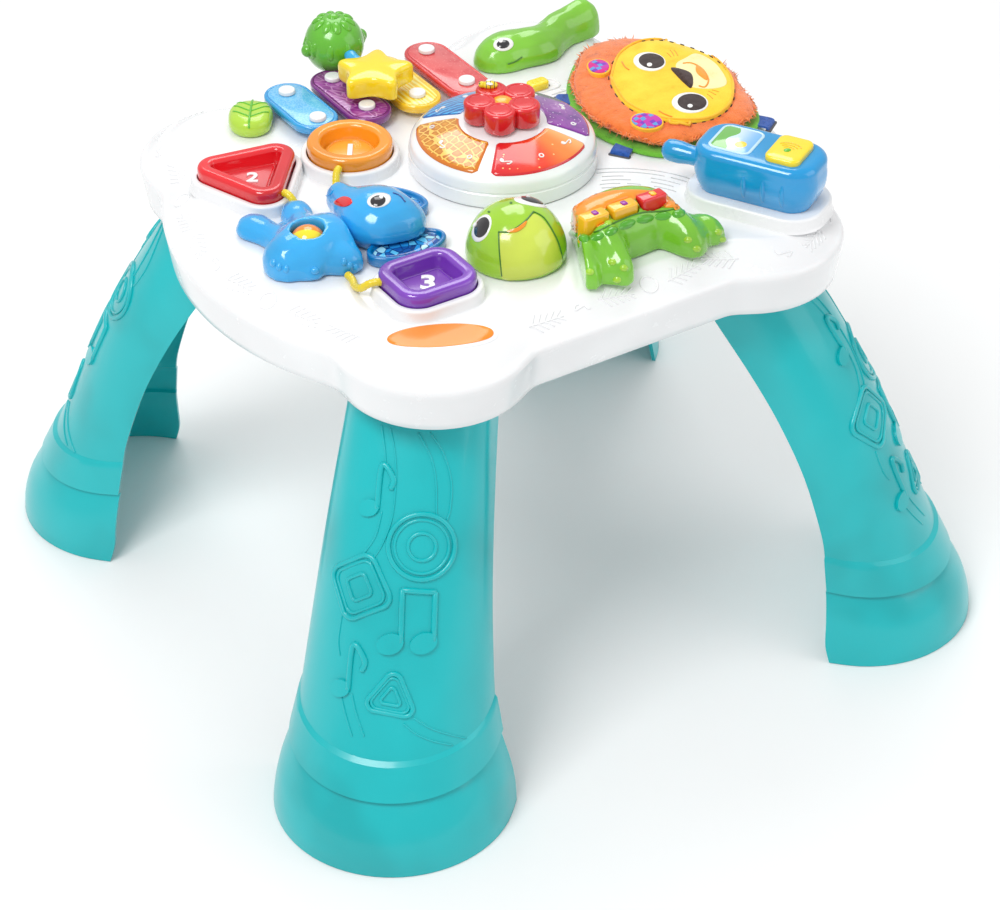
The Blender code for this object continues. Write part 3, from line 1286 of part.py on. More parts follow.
def make_phone():
    """The blue play phone on its pod, with a stub aerial and one big yellow key."""
    low = DECK_Z + PHONE_POD_HEIGHT + GAP
    high = low + PHONE_HEIGHT
    sections = [(PHONE_BELLY * lean, low + PHONE_HEIGHT * up) for lean, up in PHONE_BELLY_SHARES]
    sections += [(PHONE_SHOULDER * lean, low + PHONE_HEIGHT * up) for lean, up in PHONE_SHOULDER_SHARES]
    phone = mesh_object("phone", stack(phone_outline(), sections), finish("blue"), phone_place())
    aerial_z = DECK_Z + PHONE_POD_HEIGHT + AERIAL_Z
    root = Vector((-PHONE_LENGTH / 2 + PHONE_CORNER, -AERIAL_SIDE, aerial_z))
    tip = Vector((-PHONE_LENGTH / 2 - AERIAL_LENGTH + AERIAL_RADIUS, -AERIAL_SIDE, aerial_z))
    aerial = mesh_object("aerial", rod(tip, root, AERIAL_RADIUS, ROUND_SIDES), finish("blue"), phone_place(), hidden=True)
    join(phone, aerial)
    key_outline = rounded_box(PHONE_KEY_LENGTH, PHONE_KEY_WIDTH, PHONE_KEY_CORNER)
    floor = high - PHONE_KEY_DEPTH
    place = phone_place() @ at(PHONE_KEY_PLACE, 0, 0)
    pocket = stack(key_outline, ((-SLIDE_GAP, floor - PHONE_KEY_TRAVEL - GAP), (-SLIDE_GAP, high + OVERRUN)))
    cut(phone, mesh_object("phone_key_pocket", pocket, finish("blue"), place, hidden=True))
    top = high + PHONE_KEY_PROUD
    key = stack(key_outline, ((0, floor), (0, top - SOFT_EDGE), (SOFT_EDGE, top)))
    mesh_object("phone_key", key, finish("yellow"), place)


def make_volume_slider():
    """The yellow volume slider, its stem down a slot in the deck."""
    low = DECK_Z + GAP
    outline = rounded_box(SLIDER_LENGTH, SLIDER_WIDTH, SLIDER_CORNER)
    knob = stack(outline, ((0, low), (0, low + SLIDER_HEIGHT - SOFT_EDGE), (SOFT_EDGE, low + SLIDER_HEIGHT)))
    slider = mesh_object("volume_slider", knob, finish("yellow"), at(SLIDER_X, SLIDER_Y, 0))
    size = (SLIDER_STEM_LENGTH, SLIDER_STEM_WIDTH, WALL + 2 * SINK)
    stem = block(size, at(SLIDER_X, SLIDER_Y, low + SINK - size[2] / 2))
    join(slider, mesh_object("slider_stem", stem, finish("yellow"), hidden=True))


def main():
    clear_scene()
    make_table_top()
    make_base_cover()
    make_legs()
    make_speaker()
    make_dome()
    make_flower()
    make_ring_buttons()
    make_elephant()
    make_strings()
    make_turtle()
    make_leaf_and_bean()
    make_xylophone()
    make_mallet()
    make_lion_page()
    make_phone()
    make_volume_slider()


main()
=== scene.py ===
"""Looks of a toddler's activity table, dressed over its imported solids.

The origin is on the floor under the middle of the table, +Z is up and the turtle faces -Y.
Lengths are in metres.
"""

import json
import logging
import math
import random
from collections.abc import Callable, Sequence
from dataclasses import dataclass, field
from enum import Enum

import bmesh
import bpy
from mathutils import Matrix, Vector
from mathutils.bvhtree import BVHTree

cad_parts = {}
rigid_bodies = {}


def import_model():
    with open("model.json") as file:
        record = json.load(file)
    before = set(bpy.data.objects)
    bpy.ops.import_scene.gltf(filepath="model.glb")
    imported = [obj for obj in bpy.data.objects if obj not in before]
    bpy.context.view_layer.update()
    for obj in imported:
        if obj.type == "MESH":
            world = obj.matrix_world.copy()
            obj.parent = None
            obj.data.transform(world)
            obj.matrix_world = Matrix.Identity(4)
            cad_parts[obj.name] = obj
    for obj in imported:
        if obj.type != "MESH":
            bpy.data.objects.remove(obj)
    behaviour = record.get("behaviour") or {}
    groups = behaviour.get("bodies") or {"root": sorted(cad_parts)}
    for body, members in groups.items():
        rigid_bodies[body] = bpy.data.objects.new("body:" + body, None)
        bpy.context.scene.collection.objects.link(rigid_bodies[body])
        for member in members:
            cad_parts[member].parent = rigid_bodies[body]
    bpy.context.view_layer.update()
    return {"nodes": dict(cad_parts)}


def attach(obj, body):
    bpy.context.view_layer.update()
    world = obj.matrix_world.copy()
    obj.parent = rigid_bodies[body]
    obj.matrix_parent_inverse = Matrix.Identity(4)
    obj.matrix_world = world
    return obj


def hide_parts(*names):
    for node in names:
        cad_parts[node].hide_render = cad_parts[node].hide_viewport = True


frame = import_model()

LOG = logging.getLogger("activity_table")
MM = 0.001
DECK_Z = 0.328
TABLE = "table"
UP = Vector((0.0, 0.0, 1.0))
WELD = 1e-6
CAD_WELD = 2e-5
SUNK = 0.0004
TIP_REACH, TIP_SHARE = 0.4, 0.6
CAP_SHARE = 0.7
SENSOR_WIDTH = 36.0

Colour = tuple[float, float, float]
Outline = list[Vector]


class Hue(Enum):
    """Base colours of the mouldings and cloths, linear."""

    PEARL = (0.86, 0.865, 0.875)
    TURQUOISE = (0.0, 0.47, 0.5)
    ORANGE = (0.93, 0.27, 0.012)
    AMBER = (0.95, 0.42, 0.015)
    RED = (0.74, 0.012, 0.018)
    PLUM = (0.3, 0.02, 0.34)
    YELLOW = (0.94, 0.72, 0.02)
    SKY = (0.035, 0.42, 0.8)
    OCEAN = (0.0, 0.2, 0.52)
    PHONE_BLUE = (0.0, 0.3, 0.66)
    GRASS = (0.13, 0.5, 0.03)
    PALE_LIME = (0.42, 0.66, 0.05)
    INK = (0.018, 0.016, 0.02)
    SMOKE = (0.09, 0.09, 0.1)
    CHALK = (0.88, 0.88, 0.87)
    FUR = (0.86, 0.2, 0.02)
    # Painted shade for the roots of orange fur pile.
    RUST = (0.55, 0.1, 0.01)
    NAVY = (0.01, 0.07, 0.3)
    STEEL = (0.5, 0.5, 0.52)
    BOARD = (0.02, 0.16, 0.06)


class Tree:
    """A small hand for wiring a node tree."""

    def __init__(self, tree: bpy.types.NodeTree) -> None:
        """Keep the tree to work on.

        Args:
            tree: The node tree of a material or a group.
        """
        self.tree = tree

    def add(self, kind: str, **settings: object) -> bpy.types.Node:
        """Add a node and set its properties.

        Args:
            kind: The node's type name without its ShaderNode prefix.
            settings: Properties of the node, by name.

        Returns:
            The new node.
        """
        prefix = "" if kind.startswith("NodeGroup") else "ShaderNode"
        made = self.tree.nodes.new(prefix + kind)
        for key, value in settings.items():
            setattr(made, key, value)
        return made

    def link(self, source: bpy.types.NodeSocket, target: bpy.types.NodeSocket) -> None:
        """Join two sockets."""
        self.tree.links.new(source, target)

    def feed(self, target: bpy.types.NodeSocket, value: object) -> None:
        """Link a socket's value, or set it when it is plain."""
        if isinstance(value, bpy.types.NodeSocket):
            self.link(value, target)
        else:
            target.default_value = value

    def math(self, operation: str, a: object, b: object = 0.0, clamp: bool = False) -> bpy.types.NodeSocket:
        """One Math node over two values.

        Args:
            operation: The Math node's operation.
            a: First value or socket.
            b: Second value or socket.
            clamp: Whether the result stays between 0 and 1.

        Returns:
            The result's socket.
        """
        made = self.add("Math", operation=operation, use_clamp=clamp)
        self.feed(made.inputs[0], a)
        self.feed(made.inputs[1], b)
        return made.outputs[0]

    def mix(self, factor: object, a: object, b: object, blend: str = "MIX") -> bpy.types.NodeSocket:
        """One colour Mix node.

        Args:
            factor: Share of the second colour.
            a: First colour or socket.
            b: Second colour or socket.
            blend: How the two are blended.

        Returns:
            The mixed colour's socket.
        """
        made = self.add("Mix", data_type="RGBA", blend_type=blend)
        self.feed(made.inputs["Factor"], factor)
        self.feed(made.inputs["A"], (*a, 1.0) if isinstance(a, tuple) and len(a) == 3 else a)
        self.feed(made.inputs["B"], (*b, 1.0) if isinstance(b, tuple) and len(b) == 3 else b)
        return made.outputs["Result"]

    def ramp(
        self, value: object, stops: Sequence[tuple[float, Colour]], smooth: bool = True
    ) -> bpy.types.NodeSocket:
        """One Color Ramp node.

        Args:
            value: What picks the colour.
            stops: Positions and colours, in order.
            smooth: Whether the colours run into each other.

        Returns:
            The colour's socket.
        """
        made = self.add("ValToRGB")
        made.color_ramp.interpolation = "EASE" if smooth else "CONSTANT"
        elements = made.color_ramp.elements
        while len(elements) < len(stops):
            elements.new(0.5)
        for element, (place, colour) in zip(elements, stops):
            element.position = place
            element.color = (*colour, 1.0)
        self.feed(made.inputs["Fac"], value)
        return made.outputs["Color"]

    def place(
        self, centre: Vector = Vector(), turn: float = 0.0, stretch: Colour = (1.0, 1.0, 1.0)
    ) -> bpy.types.NodeSocket:
        """Object coordinates about a centre, turned and stretched for a pattern.

        Args:
            centre: Point of the object that becomes the pattern's middle.
            turn: Turn about Z.
            stretch: Scale along each axis after the turn.

        Returns:
            The coordinates' socket.
        """
        coords = self.add("TexCoord")
        shift = self.add("Mapping", vector_type="POINT")
        shift.inputs["Location"].default_value = -centre
        self.link(coords.outputs["Object"], shift.inputs["Vector"])
        turned = self.add("Mapping", vector_type="POINT")
        turned.inputs["Rotation"].default_value = (0.0, 0.0, -turn)
        self.link(shift.outputs["Vector"], turned.inputs["Vector"])
        scaled = self.add("Mapping", vector_type="POINT")
        scaled.inputs["Scale"].default_value = stretch
        self.link(turned.outputs["Vector"], scaled.inputs["Vector"])
        return scaled.outputs["Vector"]

    def noise(
        self, coords: object, scale: float, detail: float = 3.0, roughness: float = 0.5
    ) -> bpy.types.NodeSocket:
        """One Noise texture's value."""
        made = self.add("TexNoise")
        self.feed(made.inputs["Vector"], coords)
        made.inputs["Scale"].default_value = scale
        made.inputs["Detail"].default_value = detail
        made.inputs["Roughness"].default_value = roughness
        return made.outputs["Fac"]

    def cells(self, coords: object, scale: float, feature: str = "F1", jitter: float = 1.0) -> bpy.types.Node:
        """One Voronoi texture node."""
        made = self.add("TexVoronoi", feature=feature)
        self.feed(made.inputs["Vector"], coords)
        made.inputs["Scale"].default_value = scale
        made.inputs["Randomness"].default_value = jitter
        return made

    def bump(self, height: object, strength: float, distance: float) -> bpy.types.NodeSocket:
        """One Bump node's normal."""
        made = self.add("Bump")
        made.inputs["Strength"].default_value = strength
        made.inputs["Distance"].default_value = distance
        self.feed(made.inputs["Height"], height)
        return made.outputs["Normal"]


def effect_group(
    name: str, inputs: dict[str, float], build: Callable[[Tree, dict], dict]
) -> bpy.types.NodeTree:
    """Make a shader node group once.

    Args:
        name: The group's name.
        inputs: Names and first values of its number inputs.
        build: Wires the inside from a dict of input sockets and returns a dict of output sockets.

    Returns:
        The group.
    """
    found = bpy.data.node_groups.get(name)
    if found:
        return found
    group = bpy.data.node_groups.new(name, "ShaderNodeTree")
    for key, value in inputs.items():
        socket = group.interface.new_socket(key, in_out="INPUT", socket_type="NodeSocketFloat")
        socket.default_value = value
    tree = Tree(group)
    entry = tree.add("NodeGroupInput")
    results = build(tree, {key: entry.outputs[key] for key in inputs})
    for key in results:
        group.interface.new_socket(key, in_out="OUTPUT", socket_type="NodeSocketFloat")
    leave = tree.add("NodeGroupOutput")
    for key, socket in results.items():
        tree.link(socket, leave.inputs[key])
    return group


def wire_moulding(tree: Tree, given: dict) -> dict:
    """Soft flow marks, fine grain and light handling wear of moulded plastic."""
    coords = tree.place()
    cloudy = tree.noise(coords, 14.0, 2.0)
    tree.feed(cloudy.node.inputs["Scale"], given["Cloud Scale"])
    grain = tree.noise(coords, 900.0, 4.0, 0.6)
    tree.feed(grain.node.inputs["Scale"], given["Grain Scale"])
    rubbed = tree.noise(coords, 55.0, 5.0, 0.7)
    wear = tree.math("MULTIPLY", tree.math("SUBTRACT", rubbed, 0.56, clamp=True), 2.2, clamp=True)
    return {"Cloud": cloudy, "Grain": grain, "Wear": wear}


def moulding() -> bpy.types.NodeTree:
    """The effect that every moulded plastic shares."""
    return effect_group("moulding_effect", {"Cloud Scale": 14.0, "Grain Scale": 900.0}, wire_moulding)


def wire_pile(tree: Tree, given: dict) -> dict:
    """Short brushed pile or woven threads of cloth, as a height and a shade."""
    coords = tree.place()
    strands = tree.noise(coords, 500.0, 5.0, 0.65)
    tree.feed(strands.node.inputs["Scale"], given["Thread Scale"])
    clumps = tree.noise(coords, 60.0, 3.0, 0.55)
    tree.feed(clumps.node.inputs["Scale"], given["Clump Scale"])
    height = tree.math("ADD", tree.math("MULTIPLY", strands, 0.6), tree.math("MULTIPLY", clumps, 0.6))
    return {"Strands": strands, "Clumps": clumps, "Height": height}


def pile() -> bpy.types.NodeTree:
    """The effect that every cloth shares."""
    return effect_group("pile_effect", {"Thread Scale": 500.0, "Clump Scale": 60.0}, wire_pile)


@dataclass(frozen=True)
class Finish:
    """A base for finishes: a named material made once."""

    name: str

    def material(self) -> bpy.types.Material:
        """Return the finish's material, wiring it on first use."""
        found = bpy.data.materials.get(self.name)
        if found:
            return found
        made = bpy.data.materials.new(self.name)
        made.use_nodes = True
        tree = Tree(made.node_tree)
        shader = made.node_tree.nodes["Principled BSDF"]
        self.wire(tree, shader.inputs)
        return made

    def wire(self, tree: Tree, sockets: bpy.types.bpy_prop_collection) -> None:
        """Fill in the Principled shader's sockets."""
        raise NotImplementedError


@dataclass(frozen=True)
class Plastic(Finish):
    """Moulded plastic, from glossy to satin."""

    hue: Colour = Hue.PEARL.value
    roughness: float = 0.2
    coat: float = 0.4
    grain: float = 0.02
    glow: float = 0.0
    subsurface: float = 0.0
    shade: float = 0.82

    def base(self, tree: Tree, cloud: bpy.types.NodeSocket) -> bpy.types.NodeSocket:
        """The colour before wear.

        Args:
            tree: The material's tree.
            cloud: Slow variation over the piece.

        Returns:
            The colour's socket.
        """
        dark = tuple(c * self.shade for c in self.hue)
        return tree.ramp(
            cloud, ((0.3, dark), (0.55, self.hue), (0.8, tuple(min(1.0, c * 1.06) for c in self.hue)))
        )

    def wire(self, tree: Tree, sockets: bpy.types.bpy_prop_collection) -> None:
        """Colour with slow variation, handling wear in the gloss and a fine grain."""
        effect = tree.add("Group", node_tree=moulding())
        colour = self.base(tree, effect.outputs["Cloud"])
        pale = tuple(min(1.0, c * 0.92 + 0.06) for c in self.hue)
        worn = tree.math("MULTIPLY", effect.outputs["Wear"], 0.16)
        tree.link(tree.mix(worn, colour, pale), sockets["Base Color"])
        rough = tree.math("MULTIPLY_ADD", effect.outputs["Wear"], 0.22)
        rough.node.inputs[2].default_value = self.roughness
        tree.link(rough, sockets["Roughness"])
        tree.link(tree.bump(effect.outputs["Grain"], self.grain * 6, 0.0002), sockets["Normal"])
        sockets["Coat Weight"].default_value = self.coat
        sockets["Coat Roughness"].default_value = 0.08
        sockets["IOR"].default_value = 1.5
        if self.subsurface:
            sockets["Subsurface Weight"].default_value = self.subsurface
            sockets["Subsurface Radius"].default_value = (0.004, 0.003, 0.003)
            sockets["Subsurface Scale"].default_value = 1.0
        if self.glow:
            sockets["Emission Color"].default_value = (*self.hue, 1.0)
            sockets["Emission Strength"].default_value = self.glow


@dataclass(frozen=True)
class Printed(Plastic):
    """Plastic whose colour follows a pattern function."""

    pattern: Callable[[Tree], bpy.types.NodeSocket] | None = None
    relief: Callable[[Tree], bpy.types.NodeSocket] | None = None
    relief_depth: float = 0.0003

    def base(self, tree: Tree, cloud: bpy.types.NodeSocket) -> bpy.types.NodeSocket:
        """The pattern's colour under a slight variation."""
        colour = self.pattern(tree) if self.pattern else super().base(tree, cloud)
        return tree.mix(tree.math("MULTIPLY", cloud, 0.18), colour, (0.0, 0.0, 0.0), "SOFT_LIGHT")

    def wire(self, tree: Tree, sockets: bpy.types.bpy_prop_collection) -> None:
        """As plastic, with the pattern's own relief."""
        super().wire(tree, sockets)
        if self.relief:
            tree.link(tree.bump(self.relief(tree), 0.6, self.relief_depth), sockets["Normal"])


@dataclass(frozen=True)
class Cloth(Finish):
    """Plush or woven cloth."""

    hue: Colour = Hue.FUR.value
    # Painted shade: the colour of the pile's low roots.
    root_shade: Colour = Hue.RUST.value
    thread: float = 900.0
    clump: float = 90.0
    height: float = 0.0012
    sheen: float = 0.4
    pattern: Callable[[Tree], bpy.types.NodeSocket] | None = None

    def wire(self, tree: Tree, sockets: bpy.types.bpy_prop_collection) -> None:
        """Pile with painted shade at its roots, painted highlight at its tips and a soft sheen."""
        effect = tree.add("Group", node_tree=pile())
        effect.inputs["Thread Scale"].default_value = self.thread
        effect.inputs["Clump Scale"].default_value = self.clump
        # Painted highlight at the pile's tips and painted shade at its roots, over the random tone of its
        # clumps.
        light = tuple(min(1.0, c * 1.12 + 0.015) for c in self.hue)
        colour = tree.ramp(effect.outputs["Height"], ((0.42, self.root_shade), (0.56, self.hue), (0.75, light)))
        if self.pattern:
            colour = tree.mix(0.82, colour, self.pattern(tree))
        tree.link(colour, sockets["Base Color"])
        tree.link(tree.bump(effect.outputs["Height"], 0.8, self.height), sockets["Normal"])
        rough = tree.math("MULTIPLY_ADD", effect.outputs["Strands"], 0.2)
        rough.node.inputs[2].default_value = 0.75
        tree.link(rough, sockets["Roughness"])
        sockets["Sheen Weight"].default_value = self.sheen
        sockets["Sheen Roughness"].default_value = 0.5
        sockets["Specular IOR Level"].default_value = 0.2


@dataclass(frozen=True)
class Metal(Finish):
    """Small steel parts."""

    hue: Colour = Hue.STEEL.value

    def wire(self, tree: Tree, sockets: bpy.types.bpy_prop_collection) -> None:
        """Brushed steel with a slight tarnish."""
        effect = tree.add("Group", node_tree=moulding())
        dark = tuple(c * 0.8 for c in self.hue)
        tree.link(tree.ramp(effect.outputs["Cloud"], ((0.3, dark), (0.7, self.hue))), sockets["Base Color"])
        sockets["Metallic"].default_value = 1.0
        rough = tree.math("MULTIPLY_ADD", effect.outputs["Grain"], 0.2)
        rough.node.inputs[2].default_value = 0.25
        tree.link(rough, sockets["Roughness"])


def direction(angle: float) -> Vector:
    """The flat direction at an angle from X."""
    return Vector((math.cos(angle), math.sin(angle)))


def mesh_of(name: str, bm: bmesh.types.BMesh) -> bpy.types.Mesh:
    """A new mesh from a bmesh, which is used up."""
    mesh = bpy.data.meshes.new(name)
    bm.to_mesh(mesh)
    bm.free()
    return mesh


def linked(name: str, data: bpy.types.ID | None) -> bpy.types.Object:
    """A new object, put in the scene."""
    made = bpy.data.objects.new(name, data)
    bpy.context.scene.collection.objects.link(made)
    return made


def taken(held: bpy.types.Object) -> bmesh.types.BMesh:
    """The evaluated shape of a held object, which is removed."""
    bpy.context.view_layer.update()
    graph = bpy.context.evaluated_depsgraph_get()
    bm = bmesh.new()
    bm.from_mesh(bpy.data.meshes.new_from_object(held.evaluated_get(graph)))
    bpy.data.objects.remove(held, do_unlink=True)
    return bm


def circle(radius: float, points: int) -> Outline:
    """A round outline, anticlockwise."""
    return [
        Vector((radius * math.cos(2 * math.pi * i / points), radius * math.sin(2 * math.pi * i / points)))
        for i in range(points)
    ]


def oval(length: float, width: float, points: int = 48) -> Outline:
    """An elliptic outline of a whole length along X and width along Y."""
    return [Vector((p.x * length / 2, p.y * width / 2)) for p in circle(1.0, points)]


def rounded_polygon(corners: Sequence[Vector], radius: float, steps: int = 12) -> Outline:
    """An anticlockwise outline whose corners are arcs of one radius.

    Args:
        corners: The sharp corners.
        radius: The arcs' radius.
        steps: Segments of each arc.

    Returns:
        The outline's points.
    """
    outline = []
    for i, corner in enumerate(corners):
        before = (corners[i - 1] - corner).normalized()
        after = (corners[(i + 1) % len(corners)] - corner).normalized()
        half = before.angle(after) / 2
        centre = corner + (before + after).normalized() * (radius / math.sin(half))
        start = Vector((before.y, -before.x))
        start = start if start.dot(before + after) < 0 else -start
        for k in range(steps + 1):
            outline.append(centre + Matrix.Rotation((math.pi - 2 * half) * k / steps, 2) @ start * radius)
    return outline


def rounded_box(length: float, width: float, radius: float, steps: int = 12) -> Outline:
    """A rectangle's outline with round corners."""
    x, y = length / 2, width / 2
    return rounded_polygon([Vector((-x, -y)), Vector((x, -y)), Vector((x, y)), Vector((-x, y))], radius, steps)


def inset(outline: Outline, distance: float) -> Outline:
    """Move each point along its own normal, inwards for a positive distance."""
    moved = []
    for i, point in enumerate(outline):
        along = (outline[(i + 1) % len(outline)] - outline[i - 1]).normalized()
        moved.append(point + Vector((-along.y, along.x)) * distance)
    return moved


def turned(outline: Outline, turn: float, x: float = 0.0, y: float = 0.0) -> Outline:
    """Turn and shift a flat outline."""
    spin = Matrix.Rotation(turn, 2)
    return [spin @ p + Vector((x, y)) for p in outline]


def spline(points: Sequence[Vector], steps: int, closed: bool = False) -> list[Vector]:
    """A smooth path through a few points.

    Args:
        points: The points that it passes.
        steps: Segments between two of them.
        closed: Whether it comes back to its start.

    Returns:
        The path's points.
    """
    count = len(points)
    path = []
    for i in range(count if closed else count - 1):
        quad = [
            points[(i + j - 1) % count] if closed else points[min(max(i + j - 1, 0), count - 1)]
            for j in range(4)
        ]
        a, b, c, d = quad
        for k in range(steps):
            t = k / steps
            path.append(b + 0.5 * t * (c - a + t * (2 * a - 5 * b + 4 * c - d + t * (3 * (b - c) + d - a))))
    return path if closed else path + [points[-1]]


def loft(rings: Sequence[Sequence[Vector]], low: bool = True, high: bool = True) -> bmesh.types.BMesh:
    """Extrude a first ring through all the others.

    Args:
        rings: Rings of equally many 3-D points.
        low: Whether the first ring is closed with a face.
        high: Whether the last one is.

    Returns:
        The shell's bmesh, facing outwards.
    """
    bm = bmesh.new()
    current = [bm.verts.new(p) for p in rings[0]]
    edges = [bm.edges.new((a, b)) for a, b in zip(current, current[1:] + current[:1])]
    if low:
        bm.faces.new(current)
    for ring in rings[1:]:
        grown = bmesh.ops.extrude_edge_only(bm, edges=edges)["geom"]
        fresh = {g for g in grown if isinstance(g, bmesh.types.BMVert)}
        raised = []
        for old in current:
            raised.append(next(e.other_vert(old) for e in old.link_edges if e.other_vert(old) in fresh))
        for vert, place in zip(raised, ring):
            vert.co = place
        edges = [bm.edges.get((a, b)) for a, b in zip(raised, raised[1:] + raised[:1])]
        current = raised
    if high:
        bm.faces.new(current)
    bmesh.ops.recalc_face_normals(bm, faces=bm.faces)
    return bm


def stack(
    outline: Outline, sections: Sequence[tuple[float, float]], low: bool = True, high: bool = True
) -> bmesh.types.BMesh:
    """Loft one outline through (inset, height) sections."""
    return loft([[Vector((p.x, p.y, z)) for p in inset(outline, d)] for d, z in sections], low, high)


def lathe(profile: Sequence[tuple[float, float]], steps: int = 96) -> bmesh.types.BMesh:
    """Spin a profile of (radius, height) points about Z."""
    bm = bmesh.new()
    verts = [bm.verts.new((r, 0.0, z)) for r, z in profile]
    edges = [bm.edges.new(pair) for pair in zip(verts, verts[1:])]
    bmesh.ops.spin(
        bm, geom=verts + edges, axis=(0, 0, 1), cent=(0, 0, 0), angle=2 * math.pi, steps=steps, use_merge=True
    )
    bmesh.ops.remove_doubles(bm, verts=bm.verts, dist=WELD)
    bmesh.ops.recalc_face_normals(bm, faces=bm.faces)
    return bm


def arc(
    cx: float, cz: float, radius: float, first: float, last: float, steps: int = 6
) -> list[tuple[float, float]]:
    """Points of an arc in a profile, angles in degrees."""
    points = []
    for k in range(steps + 1):
        angle = math.radians(first + (last - first) * k / steps)
        points.append((cx + radius * math.cos(angle), cz + radius * math.sin(angle)))
    return points


def tube(path: Sequence[Vector], radius: float | Sequence[float], sides: int = 16) -> bmesh.types.BMesh:
    """A round bar along a path; its ends draw in by TIP_SHARE over TIP_REACH of the radius."""
    radii = [radius] * len(path) if isinstance(radius, float) else list(radius)
    rings = []
    side = None
    for i, point in enumerate(path):
        along = (path[min(i + 1, len(path) - 1)] - path[max(i - 1, 0)]).normalized()
        if side is None:
            side = along.cross(UP)
            side = side if side.length > 1e-3 else along.cross(Vector((1, 0, 0)))
        side = (side - along * side.dot(along)).normalized()
        up = along.cross(side)
        rings.append([point + side * p.x + up * p.y for p in circle(radii[i], sides)])
    tips = []
    for ring, end, inward in ((rings[0], path[0], path[1]), (rings[-1], path[-1], path[-2])):
        out = (end - inward).normalized() * radii[0] * TIP_REACH
        tips.append([end + (p - end) * TIP_SHARE + out for p in ring])
    return loft([tips[0]] + rings + [tips[1]])


def ball(
    centre: Vector, sizes: tuple[float, float, float], turn: float = 0.0, detail: int = 24
) -> bmesh.types.BMesh:
    """A squashed ball from a stretched sphere."""
    bm = bmesh.new()
    bmesh.ops.create_uvsphere(bm, u_segments=detail, v_segments=detail // 2, radius=1.0)
    place = Matrix.Translation(centre) @ Matrix.Rotation(turn, 4, "Z") @ Matrix.Diagonal((*sizes, 1.0))
    bmesh.ops.transform(bm, matrix=place, verts=bm.verts)
    return bm


def moved(
    bm: bmesh.types.BMesh, x: float = 0.0, y: float = 0.0, z: float = 0.0, turn: float = 0.0
) -> bmesh.types.BMesh:
    """Turn about Z and shift a bmesh."""
    bmesh.ops.transform(
        bm, matrix=Matrix.Translation((x, y, z)) @ Matrix.Rotation(turn, 4, "Z"), verts=bm.verts
    )
    return bm


def joined(parts: Sequence[bmesh.types.BMesh]) -> bmesh.types.BMesh:
    """Put several bmeshes in one."""
    whole = bmesh.new()
    for part in parts:
        held = bpy.data.meshes.new("held")
        part.to_mesh(held)
        part.free()
        whole.from_mesh(held)
        bpy.data.meshes.remove(held)
    return whole


def piece(
    name: str, bm: bmesh.types.BMesh, finish: Finish, body: str = TABLE,
    crease: float = 40.0
) -> bpy.types.Object:
    """Make a finished piece that rides on a body.

    Args:
        name: The piece's name.
        bm: Its shape, which is used up.
        finish: What it is made of.
        body: The body that it moves with.
        crease: Edges sharper than this, in degrees, stay sharp.

    Returns:
        The piece's object.
    """
    mesh = mesh_of(name, bm)
    return dressed(bpy.data.objects.new(name, mesh), finish, body, crease)


def dressed(
    made: bpy.types.Object, finish: Finish, body: str, crease: float = 40.0
) -> bpy.types.Object:
    """Link an object, shade it, give it its finish and its body."""
    if made.name not in bpy.context.scene.collection.objects:
        bpy.context.scene.collection.objects.link(made)
    made.data.shade_smooth()
    made.data.set_sharp_from_angle(angle=math.radians(crease))
    made.data.materials.clear()
    made.data.materials.append(finish.material())
    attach(made, body)
    LOG.info("%s: %d faces on %s", made.name, len(made.data.polygons), body)
    return made


def merged_copy(node: str) -> bmesh.types.BMesh:
    """A CAD node's shape with its loose triangles merged."""
    bm = bmesh.new()
    bm.from_mesh(frame["nodes"][node].data)
    bmesh.ops.remove_doubles(bm, verts=bm.verts, dist=CAD_WELD)
    return bm


def remeshed(bm: bmesh.types.BMesh, voxel: float, rounds: int, factor: float = 0.5) -> bmesh.types.BMesh:
    """Melt a shape's pieces into one smooth skin.

    Args:
        bm: The shape, which is used up.
        voxel: Size of the new faces.
        rounds: Smoothing rounds.
        factor: Strength of each round.

    Returns:
        The smooth shape.
    """
    mesh = mesh_of("raw", bm)
    held = linked("raw", mesh)
    remesh = held.modifiers.new("voxels", "REMESH")
    remesh.mode = "VOXEL"
    remesh.voxel_size = voxel
    smooth = held.modifiers.new("smooth", "SMOOTH")
    smooth.factor = factor
    smooth.iterations = rounds
    return taken(held)


def skin_of(made: bpy.types.Object) -> BVHTree:
    """A piece's surface, for placing others on it."""
    bm = bmesh.new()
    bm.from_mesh(made.data)
    tree = BVHTree.FromBMesh(bm)
    bm.free()
    return tree


